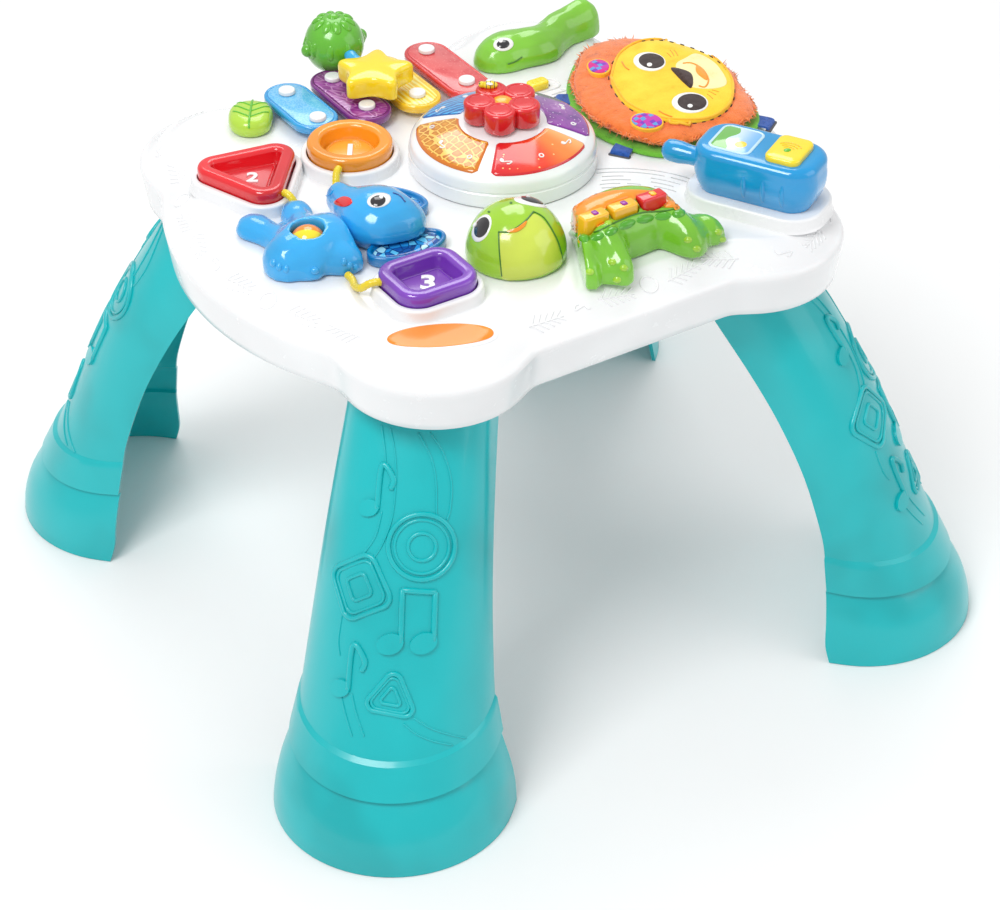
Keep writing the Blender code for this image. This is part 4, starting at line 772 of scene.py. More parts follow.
@dataclass
class Studio:
    """Pale floor, soft lights and the camera at the photograph's angle."""

    azimuth: float = -32.5
    elevation: float = 36.06
    distance: float = 1.9916
    target: Vector = field(default_factory=lambda: Vector((-0.0458, -0.0916, 0.158)))
    lens: float = 102.2
    width: int = 1000
    height: int = 910

    def back(self) -> Vector:
        """From the target towards the camera."""
        a, e = math.radians(self.azimuth), math.radians(self.elevation)
        return Vector((math.sin(a) * math.cos(e), -math.cos(a) * math.cos(e), math.sin(e)))

    def camera(self) -> bpy.types.Object:
        """Make the camera."""
        data = bpy.data.cameras.new("camera")
        data.lens = self.lens
        data.sensor_width = SENSOR_WIDTH
        data.clip_end = 20.0
        made = linked("camera", data)
        made.location = self.target + self.back() * self.distance
        made.rotation_mode = "QUATERNION"
        made.rotation_quaternion = (-self.back()).to_track_quat("-Z", "Y")
        bpy.context.scene.camera = made
        return made

    def ray(self, px: float, py: float) -> tuple[Vector, Vector]:
        """The camera's place and the direction through a pixel of the 1000 x 910 view."""
        turn = (-self.back()).to_track_quat("-Z", "Y").to_matrix()
        scale = SENSOR_WIDTH / self.lens / self.width
        aim = turn @ Vector(((px - self.width / 2) * scale, (self.height / 2 - py) * scale, -1.0))
        return self.target + self.back() * self.distance, aim.normalized()

    def hit(self, skin: BVHTree, px: float, py: float) -> tuple[Vector, Vector]:
        """Where a pixel's ray meets a piece, and the surface's normal there."""
        eye, aim = self.ray(px, py)
        place, normal, _, _ = skin.ray_cast(eye, aim)
        if place is None:
            place, normal, _, _ = skin.find_nearest(eye + aim * (self.target - eye).dot(aim))
        return place, normal

    def light(
        self, name: str, place: Vector, size: float, power: float, colour: Colour = (1.0, 1.0, 1.0)
    ) -> None:
        """Make one square soft light that faces the table."""
        data = bpy.data.lights.new(name, "AREA")
        data.size = size
        data.energy = power
        data.color = colour
        made = linked(name, data)
        made.location = place
        made.rotation_mode = "QUATERNION"
        made.rotation_quaternion = (Vector((0.0, 0.0, 0.2)) - place).to_track_quat("-Z", "Y")

    def build(self) -> None:
        """Floor, world, lights and camera."""
        bm = bmesh.new()
        bmesh.ops.create_grid(bm, x_segments=1, y_segments=1, size=8.0)
        mesh = mesh_of("floor", bm)
        floor = bpy.data.objects.new("floor", mesh)
        floor.location = (0.0, 0.0, -0.0005)
        bpy.context.scene.collection.objects.link(floor)
        made = bpy.data.materials.new("floor_paper")
        made.use_nodes = True
        shader = made.node_tree.nodes["Principled BSDF"]
        shader.inputs["Base Color"].default_value = (0.93, 0.93, 0.93, 1.0)
        shader.inputs["Roughness"].default_value = 0.6
        shader.inputs["Specular IOR Level"].default_value = 0.2
        mesh.materials.append(made)
        world = bpy.data.worlds.new("studio")
        world.use_nodes = True
        world.node_tree.nodes["Background"].inputs["Color"].default_value = (1.0, 1.0, 1.0, 1.0)
        world.node_tree.nodes["Background"].inputs["Strength"].default_value = 0.62
        bpy.context.scene.world = world
        bpy.context.scene.view_settings.view_transform = "Standard"
        self.light("key", Vector((-1.3, -0.5, 2.2)), 1.0, 30.0)
        self.light("fill", Vector((1.5, -1.6, 1.2)), 1.6, 9.0)
        self.light("top", Vector((0.6, 1.2, 2.0)), 1.2, 14.0)
        self.camera()


def conforming(
    skin: BVHTree, place: Vector, normal: Vector, outline: Outline, up: Vector, lift: float, crown: float = 0.0,
    rings: int = 6, reach: float = 0.03
) -> bmesh.types.BMesh:
    """A thin raised patch that follows a surface.

    Args:
        skin: The surface below.
        place: The patch's middle on it.
        normal: The direction that the patch is laid on from.
        outline: Its flat outline, x across and y along up.
        up: The patch's upward direction.
        lift: Height of its edge over the surface.
        crown: Extra height of its middle.
        rings: Rings of faces from edge to middle.
        reach: How far above the middle the rays start.

    Returns:
        The patch's bmesh.
    """
    normal = normal.normalized()
    along = (up - normal * up.dot(normal)).normalized()
    across = along.cross(normal)
    middle = sum(outline, Vector((0.0, 0.0))) / len(outline)

    def laid(p: Vector, height: float) -> Vector:
        start = place + across * p.x + along * p.y + normal * reach
        found, local, _, _ = skin.ray_cast(start, -normal, reach * 2.5)
        if found is None:
            found, local, _, _ = skin.find_nearest(start - normal * reach)
        return found + (local if local.dot(normal) > 0 else -local) * height

    levels = [[laid(p, -SUNK) for p in outline], [laid(p, lift * 0.6) for p in outline]]
    for share in [1.0 - 0.96 * (k / rings) for k in range(rings + 1)]:
        height = lift + crown * (1.0 - share**2)
        share = min(share, 0.985)
        levels.append([laid(middle + (p - middle) * share, height) for p in outline])
    return loft(levels, low=False, high=True)


def traced(
    skin: BVHTree, points: Sequence[Vector], normal: Vector, radius: float, sink: float = 0.5,
    reach: float = 0.03
) -> bmesh.types.BMesh:
    """A thin bead that follows a surface through points above it."""
    path = []
    for point in points:
        found, local, _, _ = skin.ray_cast(point + normal * reach, -normal, reach * 2.5)
        if found is None:
            found, local, _, _ = skin.find_nearest(point)
        path.append(found + local * radius * sink)
    return tube(path, radius, 8)


def lettering(text: str, size: float, depth: float) -> bmesh.types.BMesh:
    """A raised figure that stands on z = 0, centred.

    Args:
        text: The figure.
        size: Its height.
        depth: How far it rises.

    Returns:
        Its bmesh.
    """
    curve = bpy.data.curves.new("figure", "FONT")
    curve.body = text
    curve.size = size / CAP_SHARE
    curve.extrude = depth / 2
    curve.bevel_depth = depth / 5
    curve.offset = size * 0.03
    curve.align_x = "CENTER"
    held = linked("figure", curve)
    bm = taken(held)
    bmesh.ops.remove_doubles(bm, verts=bm.verts, dist=WELD)
    xs, ys = [v.co.x for v in bm.verts], [v.co.y for v in bm.verts]
    return moved(bm, -(min(xs) + max(xs)) / 2, -(min(ys) + max(ys)) / 2, depth / 2)


def dress(node: str, finish: Finish) -> None:
    """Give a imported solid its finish."""
    made = frame["nodes"][node]
    made.data.materials.clear()
    made.data.materials.append(finish.material())
    LOG.info("%s: dressed as packed", node)


def polar_curve(reach: float, shares: Sequence[float], points: int) -> Outline:
    """A closed smooth outline through evenly spaced rays, as shares of one reach."""
    path = []
    count = len(shares)
    for i in range(points):
        place = i * count / points
        k, t = int(place), place - int(place)
        a, b, c, d = (shares[(k + j - 1) % count] for j in range(4))
        blend = b + 0.5 * t * (c - a + t * (2 * a - 5 * b + 4 * c - d + t * (3 * (b - c) + d - a)))
        angle = 2 * math.pi * i / points
        path.append(direction(angle) * reach * blend)
    return path


class Motif(Enum):
    """Simple shapes that stand in relief on the mouldings."""

    CIRCLE = "circle"
    SQUARE = "square"
    TRIANGLE = "triangle"
    NOTE = "note"
    BEAM = "beamed notes"
    FERN = "leaf spray"

    def strokes(self, size: float) -> list[list[Vector]]:
        """The motif's bead lines, flat about its middle.

        Args:
            size: Whole height of the motif.

        Returns:
            Open paths; a closed one ends where it begins.
        """
        r = size / 2
        closed = {
            Motif.CIRCLE: circle(r, 48),
            Motif.SQUARE: rounded_box(size, size, r * 0.42, 8),
            Motif.TRIANGLE: rounded_polygon(
                [direction(a) * r * 1.25 for a in (math.pi / 2, math.pi * 7 / 6, -math.pi / 6)], r * 0.3, 8
            ),
        }
        if self in closed:
            return [closed[self] + closed[self][:2]]
        if self is Motif.NOTE:
            return [
                spline(
                    [
                        Vector((r * 0.15, -r * 0.62)), Vector((r * 0.12, r * 0.9)), Vector((r * 0.6, r * 0.5)),
                        Vector((r * 0.55, r * 0.15))
                    ],
                    8
                )
            ]
        if self is Motif.BEAM:
            ends = ((-0.3, -0.6, -0.22, 0.9), (-0.22, 0.9, 0.7, 0.8), (0.7, 0.8, 0.62, -0.6))
        else:
            ends = [(0.0, -1.0, 0.06, 1.0)]
            for k in range(5):
                low = -0.85 + 0.36 * k
                ends += [(0.0, low, side * (0.5 - 0.05 * k), low + 0.42) for side in (-1, 1)]
        return [
            [Vector((x0, y0)).lerp(Vector((x1, y1)), k / 4) * r for k in range(5)] for x0, y0, x1, y1 in ends
        ]

    def heads(self, size: float) -> list[Outline]:
        """The motif's filled parts: heads of notes."""
        r = size / 2
        head = turned(oval(r * 0.8, r * 0.6, 20), 0.4)
        places = {Motif.NOTE: ((-0.15, -0.66),), Motif.BEAM: ((-0.6, -0.66), (0.33, -0.66))}
        return [turned(head, 0.0, x * r, y * r) for x, y in places.get(self, ())]


def relief(
    skin: BVHTree, place: Vector, normal: Vector, motif: Motif, size: float, bead: float, turn: float = 0.0,
    up: Vector = UP
) -> list[bmesh.types.BMesh]:
    """One motif in relief on a surface.

    Args:
        skin: The surface.
        place: The motif's middle on it.
        normal: The side that it is laid on from.
        motif: Which motif.
        size: Its height.
        bead: Radius of its lines.
        turn: Turn in the surface's plane.
        up: The motif's upward direction.

    Returns:
        Its pieces.
    """
    normal = normal.normalized()
    along = (up - normal * up.dot(normal)).normalized()
    across = along.cross(normal)
    parts = []
    for path in motif.strokes(size):
        points = [place + across * p.x + along * p.y for p in turned(path, turn)]
        parts.append(traced(skin, points, normal, bead, 0.15))
    for head in motif.heads(size):
        parts.append(conforming(skin, place, normal, turned(head, turn), up, bead, 0.0, 4))
    return parts


@dataclass
class Tabletop:
    """The white lobed top with its pods, studs, speaker slots, label and relief."""

    skirt_z: float = 0.282
    rim_z: float = 0.315
    band: float = 0.020
    lean: float = 0.004
    wall: float = 0.003
    round_: float = 0.005
    lobe: tuple[float, float] = (0.125, 0.137)
    lobe_radius: float = 0.067
    side: tuple[float, float] = (0.225, 0.188)
    spread: tuple[float, float] = (40.0, 30.0)
    sharpness: float = 55.0
    dome: tuple[float, float] = (0.018, 0.005)
    speaker: tuple[float, float] = (0.089, -0.067)
    finish: Finish = Plastic("pearl_shell", Hue.PEARL.value, 0.24, 0.35, 0.015, shade=0.97, subsurface=0.08)
    plain: Finish = Plastic("pearl_relief", Hue.PEARL.value, 0.26, 0.3, 0.01, shade=0.98)
    label: Finish = Plastic("label_orange", Hue.ORANGE.value, 0.3, 0.3, 0.01)
    # Painted shade, seen through the speaker slots.
    dark: Finish = Plastic("slot_shadow", Hue.SMOKE.value, 0.8, 0.0)
    slot_centre: tuple[float, float] = (0.034, -0.122)
    slot_half: float = 0.0006
    skin: BVHTree | None = None

    SLOT_ARCS = (
        (0.0885, 20, 68),
        (0.0835, 36, 69),
        (0.0835, 22, 33),
        (0.078, 56, 67),
        (0.078, 26, 42),
        (0.073, 52, 68),
        (0.073, 28, 41),
        (0.068, 58, 70),
        (0.068, 46, 54),
        (0.068, 24, 38),
        (0.063, 60, 70),
        (0.063, 42, 56),
    )

    def outline(self, points: int = 360) -> Outline:
        """The edge: four corner lobes between two bowed and two straight sides."""
        far, lobe_angle = math.hypot(*self.lobe), math.atan2(self.lobe[1], self.lobe[0])
        edge = []
        for i in range(points):
            angle = 2 * math.pi * (i + 0.5) / points
            folded = math.atan2(abs(math.sin(angle)), abs(math.cos(angle)))
            off = folded - lobe_angle
            inside = self.lobe_radius**2 - (far * math.sin(off)) ** 2
            reaches = [far * math.cos(off) + math.sqrt(inside)] if inside > 0 else []
            if folded < math.radians(self.spread[0]):
                reaches.append(self.side[0])
            if math.pi / 2 - folded < math.radians(self.spread[1]):
                reaches.append(self.side[1] / math.sin(folded))
            largest = max(reaches)
            total = sum((reach / largest) ** self.sharpness for reach in reaches)
            edge.append(direction(angle) * largest * total ** (1 / self.sharpness))
        return edge

    def build(self) -> None:
        """Make the shell with its slots, then all that stands on it."""
        inner = self.round_ + self.band
        sections = [(inner + self.wall, DECK_Z - self.wall), (self.round_ + self.wall, self.rim_z - self.wall)]
        sections += [(self.wall, self.rim_z - self.round_ - self.wall), (self.lean + self.wall, self.skirt_z)]
        sections += [(self.lean + 0.0006, self.skirt_z), (self.lean, self.skirt_z + 0.0006)]
        sections += [
            (self.lean * (1 - k / 6), self.skirt_z + 0.0006 + (self.rim_z - self.round_ - self.skirt_z) * k / 6)
            for k in range(1, 6)
        ]
        for r, z in arc(self.round_, self.rim_z - self.round_, self.round_, 180, 100, 10):
            sections.append((r, z))
        first, last = sections[-1], (inner - 0.001, DECK_Z - 0.0011)
        for k in range(1, 10):
            t = k / 9
            bow = math.sin(math.pi * t) * 0.0009
            sections.append((first[0] + (last[0] - first[0]) * t, first[1] + (last[1] - first[1]) * t + bow))
        sections += [
            (inner + 0.0005, DECK_Z - 0.0005), (inner + 0.002, DECK_Z - 0.0001), (inner + 0.004, DECK_Z)
        ]
        shell = self.cut_slots(stack(self.outline(), sections))
        top = piece("tabletop_shell", shell, self.finish, crease=50.0)
        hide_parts("table_top")
        self.skin = skin_of(top)
        self.build_studs()
        self.build_label()
        self.build_relief()
        self.build_slot_floor()

    def slots(self) -> list[bmesh.types.BMesh]:
        """Thin curved slots in rows over the speaker."""
        cutters = []
        for radius, first, last in self.SLOT_ARCS:
            angles = [math.radians(first + (last - first) * i / 12) for i in range(13)]
            rim = [direction(a) * (radius + self.slot_half) for a in angles]
            rim += [direction(a) * (radius - self.slot_half) for a in reversed(angles)]
            x, y = self.slot_centre
            cutters.append(
                loft([[Vector((p.x + x, p.y + y, z)) for p in rim] for z in (DECK_Z - 0.01, DECK_Z + 0.01)])
            )
        return cutters

    def cut_slots(self, shell: bmesh.types.BMesh) -> bmesh.types.BMesh:
        """Cut the speaker slots through the deck."""
        objects = []
        for name, bm in (("shell", shell), ("slots", joined(self.slots()))):
            mesh = bpy.data.meshes.new(name)
            bmesh.ops.recalc_face_normals(bm, faces=bm.faces)
            bm.to_mesh(mesh)
            bm.free()
            objects.append(bpy.data.objects.new(name, mesh))
            bpy.context.scene.collection.objects.link(objects[-1])
        cutter = objects[0].modifiers.new("slots", "BOOLEAN")
        cutter.operation = "DIFFERENCE"
        cutter.object = objects[1]
        cutter.solver = "EXACT"
        bpy.context.view_layer.update()
        graph = bpy.context.evaluated_depsgraph_get()
        made = bmesh.new()
        made.from_mesh(bpy.data.meshes.new_from_object(objects[0].evaluated_get(graph)))
        for held in objects:
            bpy.data.objects.remove(held, do_unlink=True)
        return made

    def build_slot_floor(self) -> None:
        """A dark plate below the slots: painted shade seen through them."""
        plate = moved(stack(circle(0.036, 48), ((0.0, DECK_Z - 0.0035), (0.0, DECK_Z - 0.0031))), *self.speaker)
        piece("speaker_cloth", plate, self.dark)

    def build_studs(self) -> None:
        """Round studs that hold the bars, and the mallet's boss."""
        studs = []
        bar_low, bar_high = DECK_Z + 0.005, DECK_Z + 0.011
        for x, front in zip((-0.071, -0.033, 0.0065, 0.0465), (0.109, 0.105, 0.101, 0.098)):
            for y in (front, 0.154):
                profile = [
                    (0.0065, DECK_Z - 0.001), (0.0065, bar_low - 0.0003), (0.0036, bar_low - 0.0003),
                    (0.0036, bar_high + 0.0003)
                ]
                profile += [(0.0056, bar_high + 0.0003), (0.006, bar_high + 0.0007)]
                profile += arc(0.0049, bar_high + 0.0024, 0.0011, 0, 90, 5)
                profile += [(0.003, bar_high + 0.0035), (0.0, bar_high + 0.0035)]
                studs.append(moved(lathe(profile, 40), x, y))
        piece("bar_studs", joined(studs), self.plain)
        boss = moved(
            lathe([(0.011, DECK_Z - 0.01), (0.0105, DECK_Z - 0.0015), (0.0095, DECK_Z), (0.0, DECK_Z)], 48),
            -0.017, 0.179
        )
        piece("mallet_boss", boss, self.plain)

    def build_label(self) -> None:
        """The bare orange label with its pale edge, laid over the near left lobe."""
        place, normal = Vector((-0.133, -0.158, DECK_Z - 0.004)), Vector((-0.25, -0.35, 1.0))
        up = Vector((0.45, 0.89, 0.0))
        back = conforming(self.skin, place, normal, oval(0.074, 0.030, 72), up, 0.0003, 0.0, 8)
        piece("label_edge", back, self.plain)
        front = conforming(self.skin, place, normal, oval(0.068, 0.024, 72), up, 0.0006, 0.0, 8)
        piece("label", front, self.label)

    def build_relief(self) -> None:
        """Leaf sprays and small shapes in relief along the sloping band, and the slider's arrow."""
        parts = []
        edge = inset(self.outline(360), 0.0145)
        kinds = (Motif.FERN, Motif.FERN, Motif.NOTE, Motif.FERN, Motif.CIRCLE)
        for i, start in enumerate(range(3, 360, 8)):
            point = edge[start]
            found, normal, _, _ = self.skin.ray_cast(Vector((point.x, point.y, 0.4)), Vector((0, 0, -1)))
            if found is None or (-0.18 < point.x < -0.09 and point.y < -0.12):
                continue
            ahead = edge[(start + 3) % 360] - edge[start - 3]
            up = Vector((ahead.x, ahead.y, 0.0)) * (1 if i % 2 else -1)
            kind = kinds[i % len(kinds)]
            parts += relief(
                self.skin, found, normal, kind, 0.026 if kind is Motif.FERN else 0.012, 0.00065,
                0.15 * (i % 3 - 1), up
            )
        arrow = [
            Vector((0.0, -0.008)), Vector((0.0, 0.006)), Vector((-0.004, 0.002)), Vector((0.0, 0.006)),
            Vector((0.004, 0.002))
        ]
        path = [Vector((0.107 + p.y, 0.066 + p.x, DECK_Z)) for p in arrow]
        parts.append(traced(self.skin, path, UP, 0.0007, 0.2))
        piece("tabletop_relief", joined(parts), self.plain)


@dataclass
class Leg:
    """One arched leg with a bell foot, a horseshoe channel with shapes in relief."""

    name: str
    heading: float
    top_z: float = 0.306
    reach: float = 0.366
    half: float = 0.083
    opening: float = 0.273
    wall: float = 0.003
    drop: float = 0.009
    drop_z: float = 0.080
    finish: Finish = Plastic(
        "turquoise_satin", Hue.TURQUOISE.value, 0.3, 0.25, 0.03, subsurface=0.0, shade=0.85
    )

    ROWS = (
        (0.0, 1.0, 1.0, 1.0),
        (0.045, 0.996, 0.98, 0.986),
        (0.1, 0.982, 0.94, 0.982),
        (0.155, 0.957, 0.875, 0.976),
        (0.178, 0.944, 0.845, 0.972),
        (0.183, 0.952, 0.868, 0.974),
        (0.262, 0.922, 0.81, 0.96),
        (0.27, 0.912, 0.79, 0.96),
        (0.33, 0.888, 0.77, 0.945),
        (0.47, 0.836, 0.72, 0.89),
        (0.6, 0.786, 0.675, 0.817),
        (0.71, 0.738, 0.635, 0.74),
        (0.83, 0.678, 0.592, 0.645),
        (0.92, 0.628, 0.566, 0.575),
        (1.0, 0.58, 0.545, 0.512),
    )
    SMOOTH_RUNS = ((0, 4), (5, 6), (7, 14))
    SIGNS = (
        (376, 490, Motif.NOTE, 0.037, 0.1),
        (422, 547, Motif.CIRCLE, 0.043, 0.0),
        (359, 587, Motif.SQUARE, 0.036, 0.66),
        (411, 621, Motif.BEAM, 0.046, 0.0),
        (347, 670, Motif.NOTE, 0.040, 0.1),
        (391, 698, Motif.TRIANGLE, 0.035, -0.12),
    )
    GROOVES = (
        ((381.8, 426), (384.9, 449), (385.9, 466)),
        ((381.8, 512), (375.7, 536), (362, 556)),
        ((390.4, 428), (395, 453), (396, 481), (392, 518), (382, 545), (370, 563)),
        ((418.6, 433), (430.8, 457), (435.9, 481), (436.5, 516)),
        ((430.8, 433), (443, 453), (451.2, 481), (450.2, 508), (447, 520)),
        ((342, 616), (338.6, 640), (340, 655)),
        ((341, 694), (345, 712), (352, 736)),
        ((352, 694), (356, 712), (364, 736)),
        ((404, 724), (416.5, 734), (433, 741), (452, 745)),
        ((414, 718), (430, 728), (451, 735), (466, 738)),
    )

    def rows(self) -> list[tuple[float, float, float, float]]:
        """The levels, with smooth ones put between those of each plain run."""
        found = []
        for first, last in self.SMOOTH_RUNS:
            run = [Vector(row) for row in self.ROWS[first : last + 1]]
            found += [tuple(v) for v in spline(run, 5)]
        return found

    def ring(self, row: tuple[float, float, float, float], steps: int = 40) -> list[Vector]:
        """One level: a horseshoe of wall, open towards the middle of the table."""
        height, reach, half = row[0] * self.top_z, row[1] * self.reach, row[2] * self.half
        opening = row[3] * self.opening
        fall = self.drop * min(height / self.drop_z, 1.0)
        points = []
        for side, offset in ((1, 0.0), (-1, -self.wall)):
            w = half + offset
            centre = reach + offset - w
            path = [Vector((opening + (centre - opening) * k / 6, -w)) for k in range(6)]
            for i in range(steps + 1):
                angle = -math.pi / 2 + math.pi * i / steps
                path.append(Vector((centre + w * math.cos(angle), w * math.sin(angle))))
            path += [Vector((centre + (opening - centre) * k / 6, w)) for k in range(1, 7)]
            points += path if side > 0 else list(reversed(path))
        return [Vector((p.x, p.y, height - fall * (p.x - opening) / (reach - opening))) for p in points]

    def build(self, studio: Studio) -> None:
        """Make the leg and its relief.

        Args:
            studio: Gives the rays through the places of the shapes on the front leg.
        """
        shape = loft([self.ring(row) for row in self.rows()])
        bmesh.ops.transform(
            shape, matrix=Matrix.Rotation(math.radians(self.heading), 4, "Z"), verts=shape.verts
        )
        leg = piece(f"{self.name}_moulding", shape, self.finish, crease=28.0)
        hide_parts(self.name)
        skin = skin_of(leg)
        parts = [sign for row in self.SIGNS for sign in self.sign(studio, skin, *row)]
        for run in self.GROOVES:
            path = [self.spot(studio, skin, *p) for p in spline([Vector(q) for q in run], 6)]
            path = [place + normal * 0.0001 for place, normal in path if place is not None]
            if len(path) > 3:
                parts.append(tube(path, 0.0007, 8))
        if parts:
            piece(f"{self.name}_relief", joined(parts), self.finish, crease=50.0)

    def spot(self, studio: Studio, skin: BVHTree, px: float, py: float) -> tuple[Vector | None, Vector | None]:
        """Where this leg has what the front leg has at a pixel of the view."""
        turn = Matrix.Rotation(math.radians(self.heading - 225.0), 3, "Z")
        eye, aim = studio.ray(px, py)
        place, normal, _, _ = skin.ray_cast(turn @ eye, turn @ aim)
        return place, normal

    def sign(
        self, studio: Studio, skin: BVHTree, px: float, py: float, motif: Motif, size: float, turn: float
    ) -> list[bmesh.types.BMesh]:
        """One sign: a note of thick bars, or an outline of two beads round a raised inner one."""
        place, normal = self.spot(studio, skin, px, py)
        if place is None:
            return []
        if motif in (Motif.NOTE, Motif.BEAM):
            return relief(skin, place, normal, motif, size, 0.0021, turn)
        parts = []
        for share, bead in ((1.0, 0.0018), (0.82, 0.0011), (0.42, 0.0013)):
            parts += relief(skin, place, normal, motif, size * share, bead, turn)
        return parts


def border_mix(tree: Tree, inside: object, rim: Colour, width: float) -> bpy.types.NodeSocket:
    """A print with a rim of another colour round a panel, from the panel's UV shares."""
    coords = tree.add("TexCoord")
    parts = tree.add("SeparateXYZ")
    tree.link(coords.outputs["UV"], parts.inputs[0])
    u = tree.math("PINGPONG", parts.outputs[0], 0.5)
    v = tree.math("PINGPONG", parts.outputs[1], 0.5)
    near = tree.math("MINIMUM", tree.math("MULTIPLY", u, 2.2), v)
    return tree.mix(tree.math("LESS_THAN", near, width), inside, rim)


def honeycomb(tree: Tree) -> bpy.types.NodeSocket:
    """Amber cells with pale walls inside a thick orange rim."""
    edge = tree.cells(tree.place(), 165.0, "DISTANCE_TO_EDGE", 0.35)
    shade = tree.cells(tree.place(), 165.0, "F1", 0.35)
    cell = tree.ramp(shade.outputs["Distance"], ((0.0, (0.78, 0.36, 0.03)), (0.7, (0.52, 0.16, 0.006))))
    wall = tree.math("LESS_THAN", edge.outputs["Distance"], 0.08)
    return border_mix(tree, tree.mix(wall, cell, (0.95, 0.6, 0.12)), (0.72, 0.2, 0.006), 0.06)


def sunset(tree: Tree) -> bpy.types.NodeSocket:
    """Red that runs into orange, with round sparks."""
    coords = tree.add("TexCoord")
    parts = tree.add("SeparateXYZ")
    tree.link(coords.outputs["UV"], parts.inputs[0])
    run = tree.ramp(
        parts.outputs[0],
        (
            (0.0, (0.72, 0.012, 0.02)), (0.45, (0.84, 0.05, 0.015)), (0.75, (0.93, 0.26, 0.04)),
            (1.0, (0.95, 0.48, 0.16))
        )
    )
    spots = tree.cells(tree.place(), 190.0)
    spark = tree.math("LESS_THAN", spots.outputs["Distance"], 0.13)
    return border_mix(tree, tree.mix(spark, run, (1.0, 0.6, 0.24)), (0.74, 0.01, 0.02), 0.035)


def sparkle(tree: Tree) -> bpy.types.NodeSocket:
    """Purple to lilac with pale stars of dust."""
    cloudy = tree.noise(tree.place(), 70.0, 4.0, 0.6)
    wash = tree.ramp(cloudy, ((0.3, (0.14, 0.02, 0.26)), (0.55, (0.3, 0.06, 0.4)), (0.78, (0.56, 0.26, 0.62))))
    dust = tree.cells(tree.place(), 330.0)
    dot = tree.math("LESS_THAN", dust.outputs["Distance"], 0.14)
    return border_mix(tree, tree.mix(dot, wash, (0.92, 0.8, 0.95)), (0.2, 0.02, 0.3), 0.035)


def ripple(tree: Tree) -> bpy.types.NodeSocket:
    """Blue rings of water."""
    wave = tree.add("TexWave", wave_type="RINGS", rings_direction="SPHERICAL")
    tree.link(tree.place(Vector((-0.02, -0.03, 0.36))), wave.inputs["Vector"])
    wave.inputs["Scale"].default_value = 75.0
    wave.inputs["Distortion"].default_value = 4.0
    wave.inputs["Detail"].default_value = 2.0
    wave.inputs["Detail Scale"].default_value = 2.0
    inside = tree.ramp(
        wave.outputs["Fac"], ((0.15, (0.0, 0.1, 0.4)), (0.5, (0.0, 0.24, 0.62)), (0.85, (0.06, 0.45, 0.82)))
    )
    return border_mix(tree, inside, (0.0, 0.12, 0.42), 0.035)


def lace(tree: Tree) -> bpy.types.NodeSocket:
    """Fine pale lines in blue, like lace."""
    lines = tree.cells(tree.place(), 430.0, "DISTANCE_TO_EDGE")
    big = tree.cells(tree.place(), 120.0, "F1")
    tone = tree.ramp(big.outputs["Distance"], ((0.1, (0.09, 0.45, 0.8)), (0.7, (0.13, 0.52, 0.85))))
    line = tree.math("LESS_THAN", lines.outputs["Distance"], 0.07)
    return tree.mix(tree.math("MULTIPLY", line, 0.4), tone, (0.4, 0.76, 0.95))


def petal_print(tree: Tree) -> bpy.types.NodeSocket:
    """Dark and light purple leaves."""
    bent = tree.place(turn=0.6, stretch=(1.0, 0.45, 1.0))
    blades = tree.cells(bent, 210.0, "F1")
    edge = tree.cells(bent, 210.0, "DISTANCE_TO_EDGE")
    tone = tree.ramp(
        blades.outputs["Distance"],
        ((0.1, (0.42, 0.1, 0.42)), (0.45, (0.3, 0.026, 0.3)), (0.8, (0.2, 0.012, 0.22)))
    )
    return tree.mix(tree.math("LESS_THAN", edge.outputs["Distance"], 0.05), tone, (0.5, 0.18, 0.5))


def timber(tree: Tree) -> bpy.types.NodeSocket:
    """Yellow with wavy grain along the bar."""
    wave = tree.add("TexWave", wave_type="BANDS", bands_direction="X")
    tree.link(tree.place(stretch=(1.0, 0.16, 1.0)), wave.inputs["Vector"])
    wave.inputs["Scale"].default_value = 95.0
    wave.inputs["Distortion"].default_value = 7.0
    wave.inputs["Detail"].default_value = 3.0
    wave.inputs["Detail Scale"].default_value = 1.5
    return tree.ramp(
        wave.outputs["Fac"], ((0.2, (0.95, 0.62, 0.02)), (0.6, (0.97, 0.8, 0.08)), (0.9, (0.99, 0.9, 0.3)))
    )


def speckle(tree: Tree) -> bpy.types.NodeSocket:
    """Salmon and red specks."""
    grains = tree.cells(tree.place(), 520.0, "F1")
    cloudy = tree.noise(tree.place(), 90.0, 3.0)
    tone = tree.ramp(cloudy, ((0.35, (0.7, 0.07, 0.08)), (0.6, (0.78, 0.13, 0.13))))
    return tree.mix(tree.math("LESS_THAN", grains.outputs["Distance"], 0.2), tone, (0.86, 0.26, 0.24))


def mosaic(tree: Tree) -> bpy.types.NodeSocket:
    """Uneven blue and turquoise tiles with dark joints."""
    tiles = tree.cells(tree.place(), 170.0, "F1")
    joints = tree.cells(tree.place(), 170.0, "DISTANCE_TO_EDGE")
    value = tree.add("SeparateColor")
    tree.link(tiles.outputs["Color"], value.inputs[0])
    tone = tree.ramp(
        value.outputs[0],
        ((0.2, (0.01, 0.1, 0.4)), (0.4, (0.02, 0.3, 0.72)), (0.6, (0.12, 0.56, 0.86)), (0.8, (0.4, 0.78, 0.9))),
        False
    )
    return tree.mix(tree.math("LESS_THAN", joints.outputs["Distance"], 0.05), tone, (0.005, 0.04, 0.2))


def patchwork(tree: Tree) -> bpy.types.NodeSocket:
    """Small square patches of pink, purple, blue and turquoise."""
    tiles = tree.cells(tree.place(), 290.0, "F1", 0.25)
    tiles.distance = "CHEBYCHEV"
    value = tree.add("SeparateColor")
    tree.link(tiles.outputs["Color"], value.inputs[0])
    return tree.ramp(
        value.outputs[0],
        (
            (0.15, (0.72, 0.02, 0.22)), (0.35, (0.16, 0.05, 0.5)), (0.55, (0.05, 0.4, 0.72)),
            (0.75, (0.55, 0.05, 0.4))
        ),
        False
    )


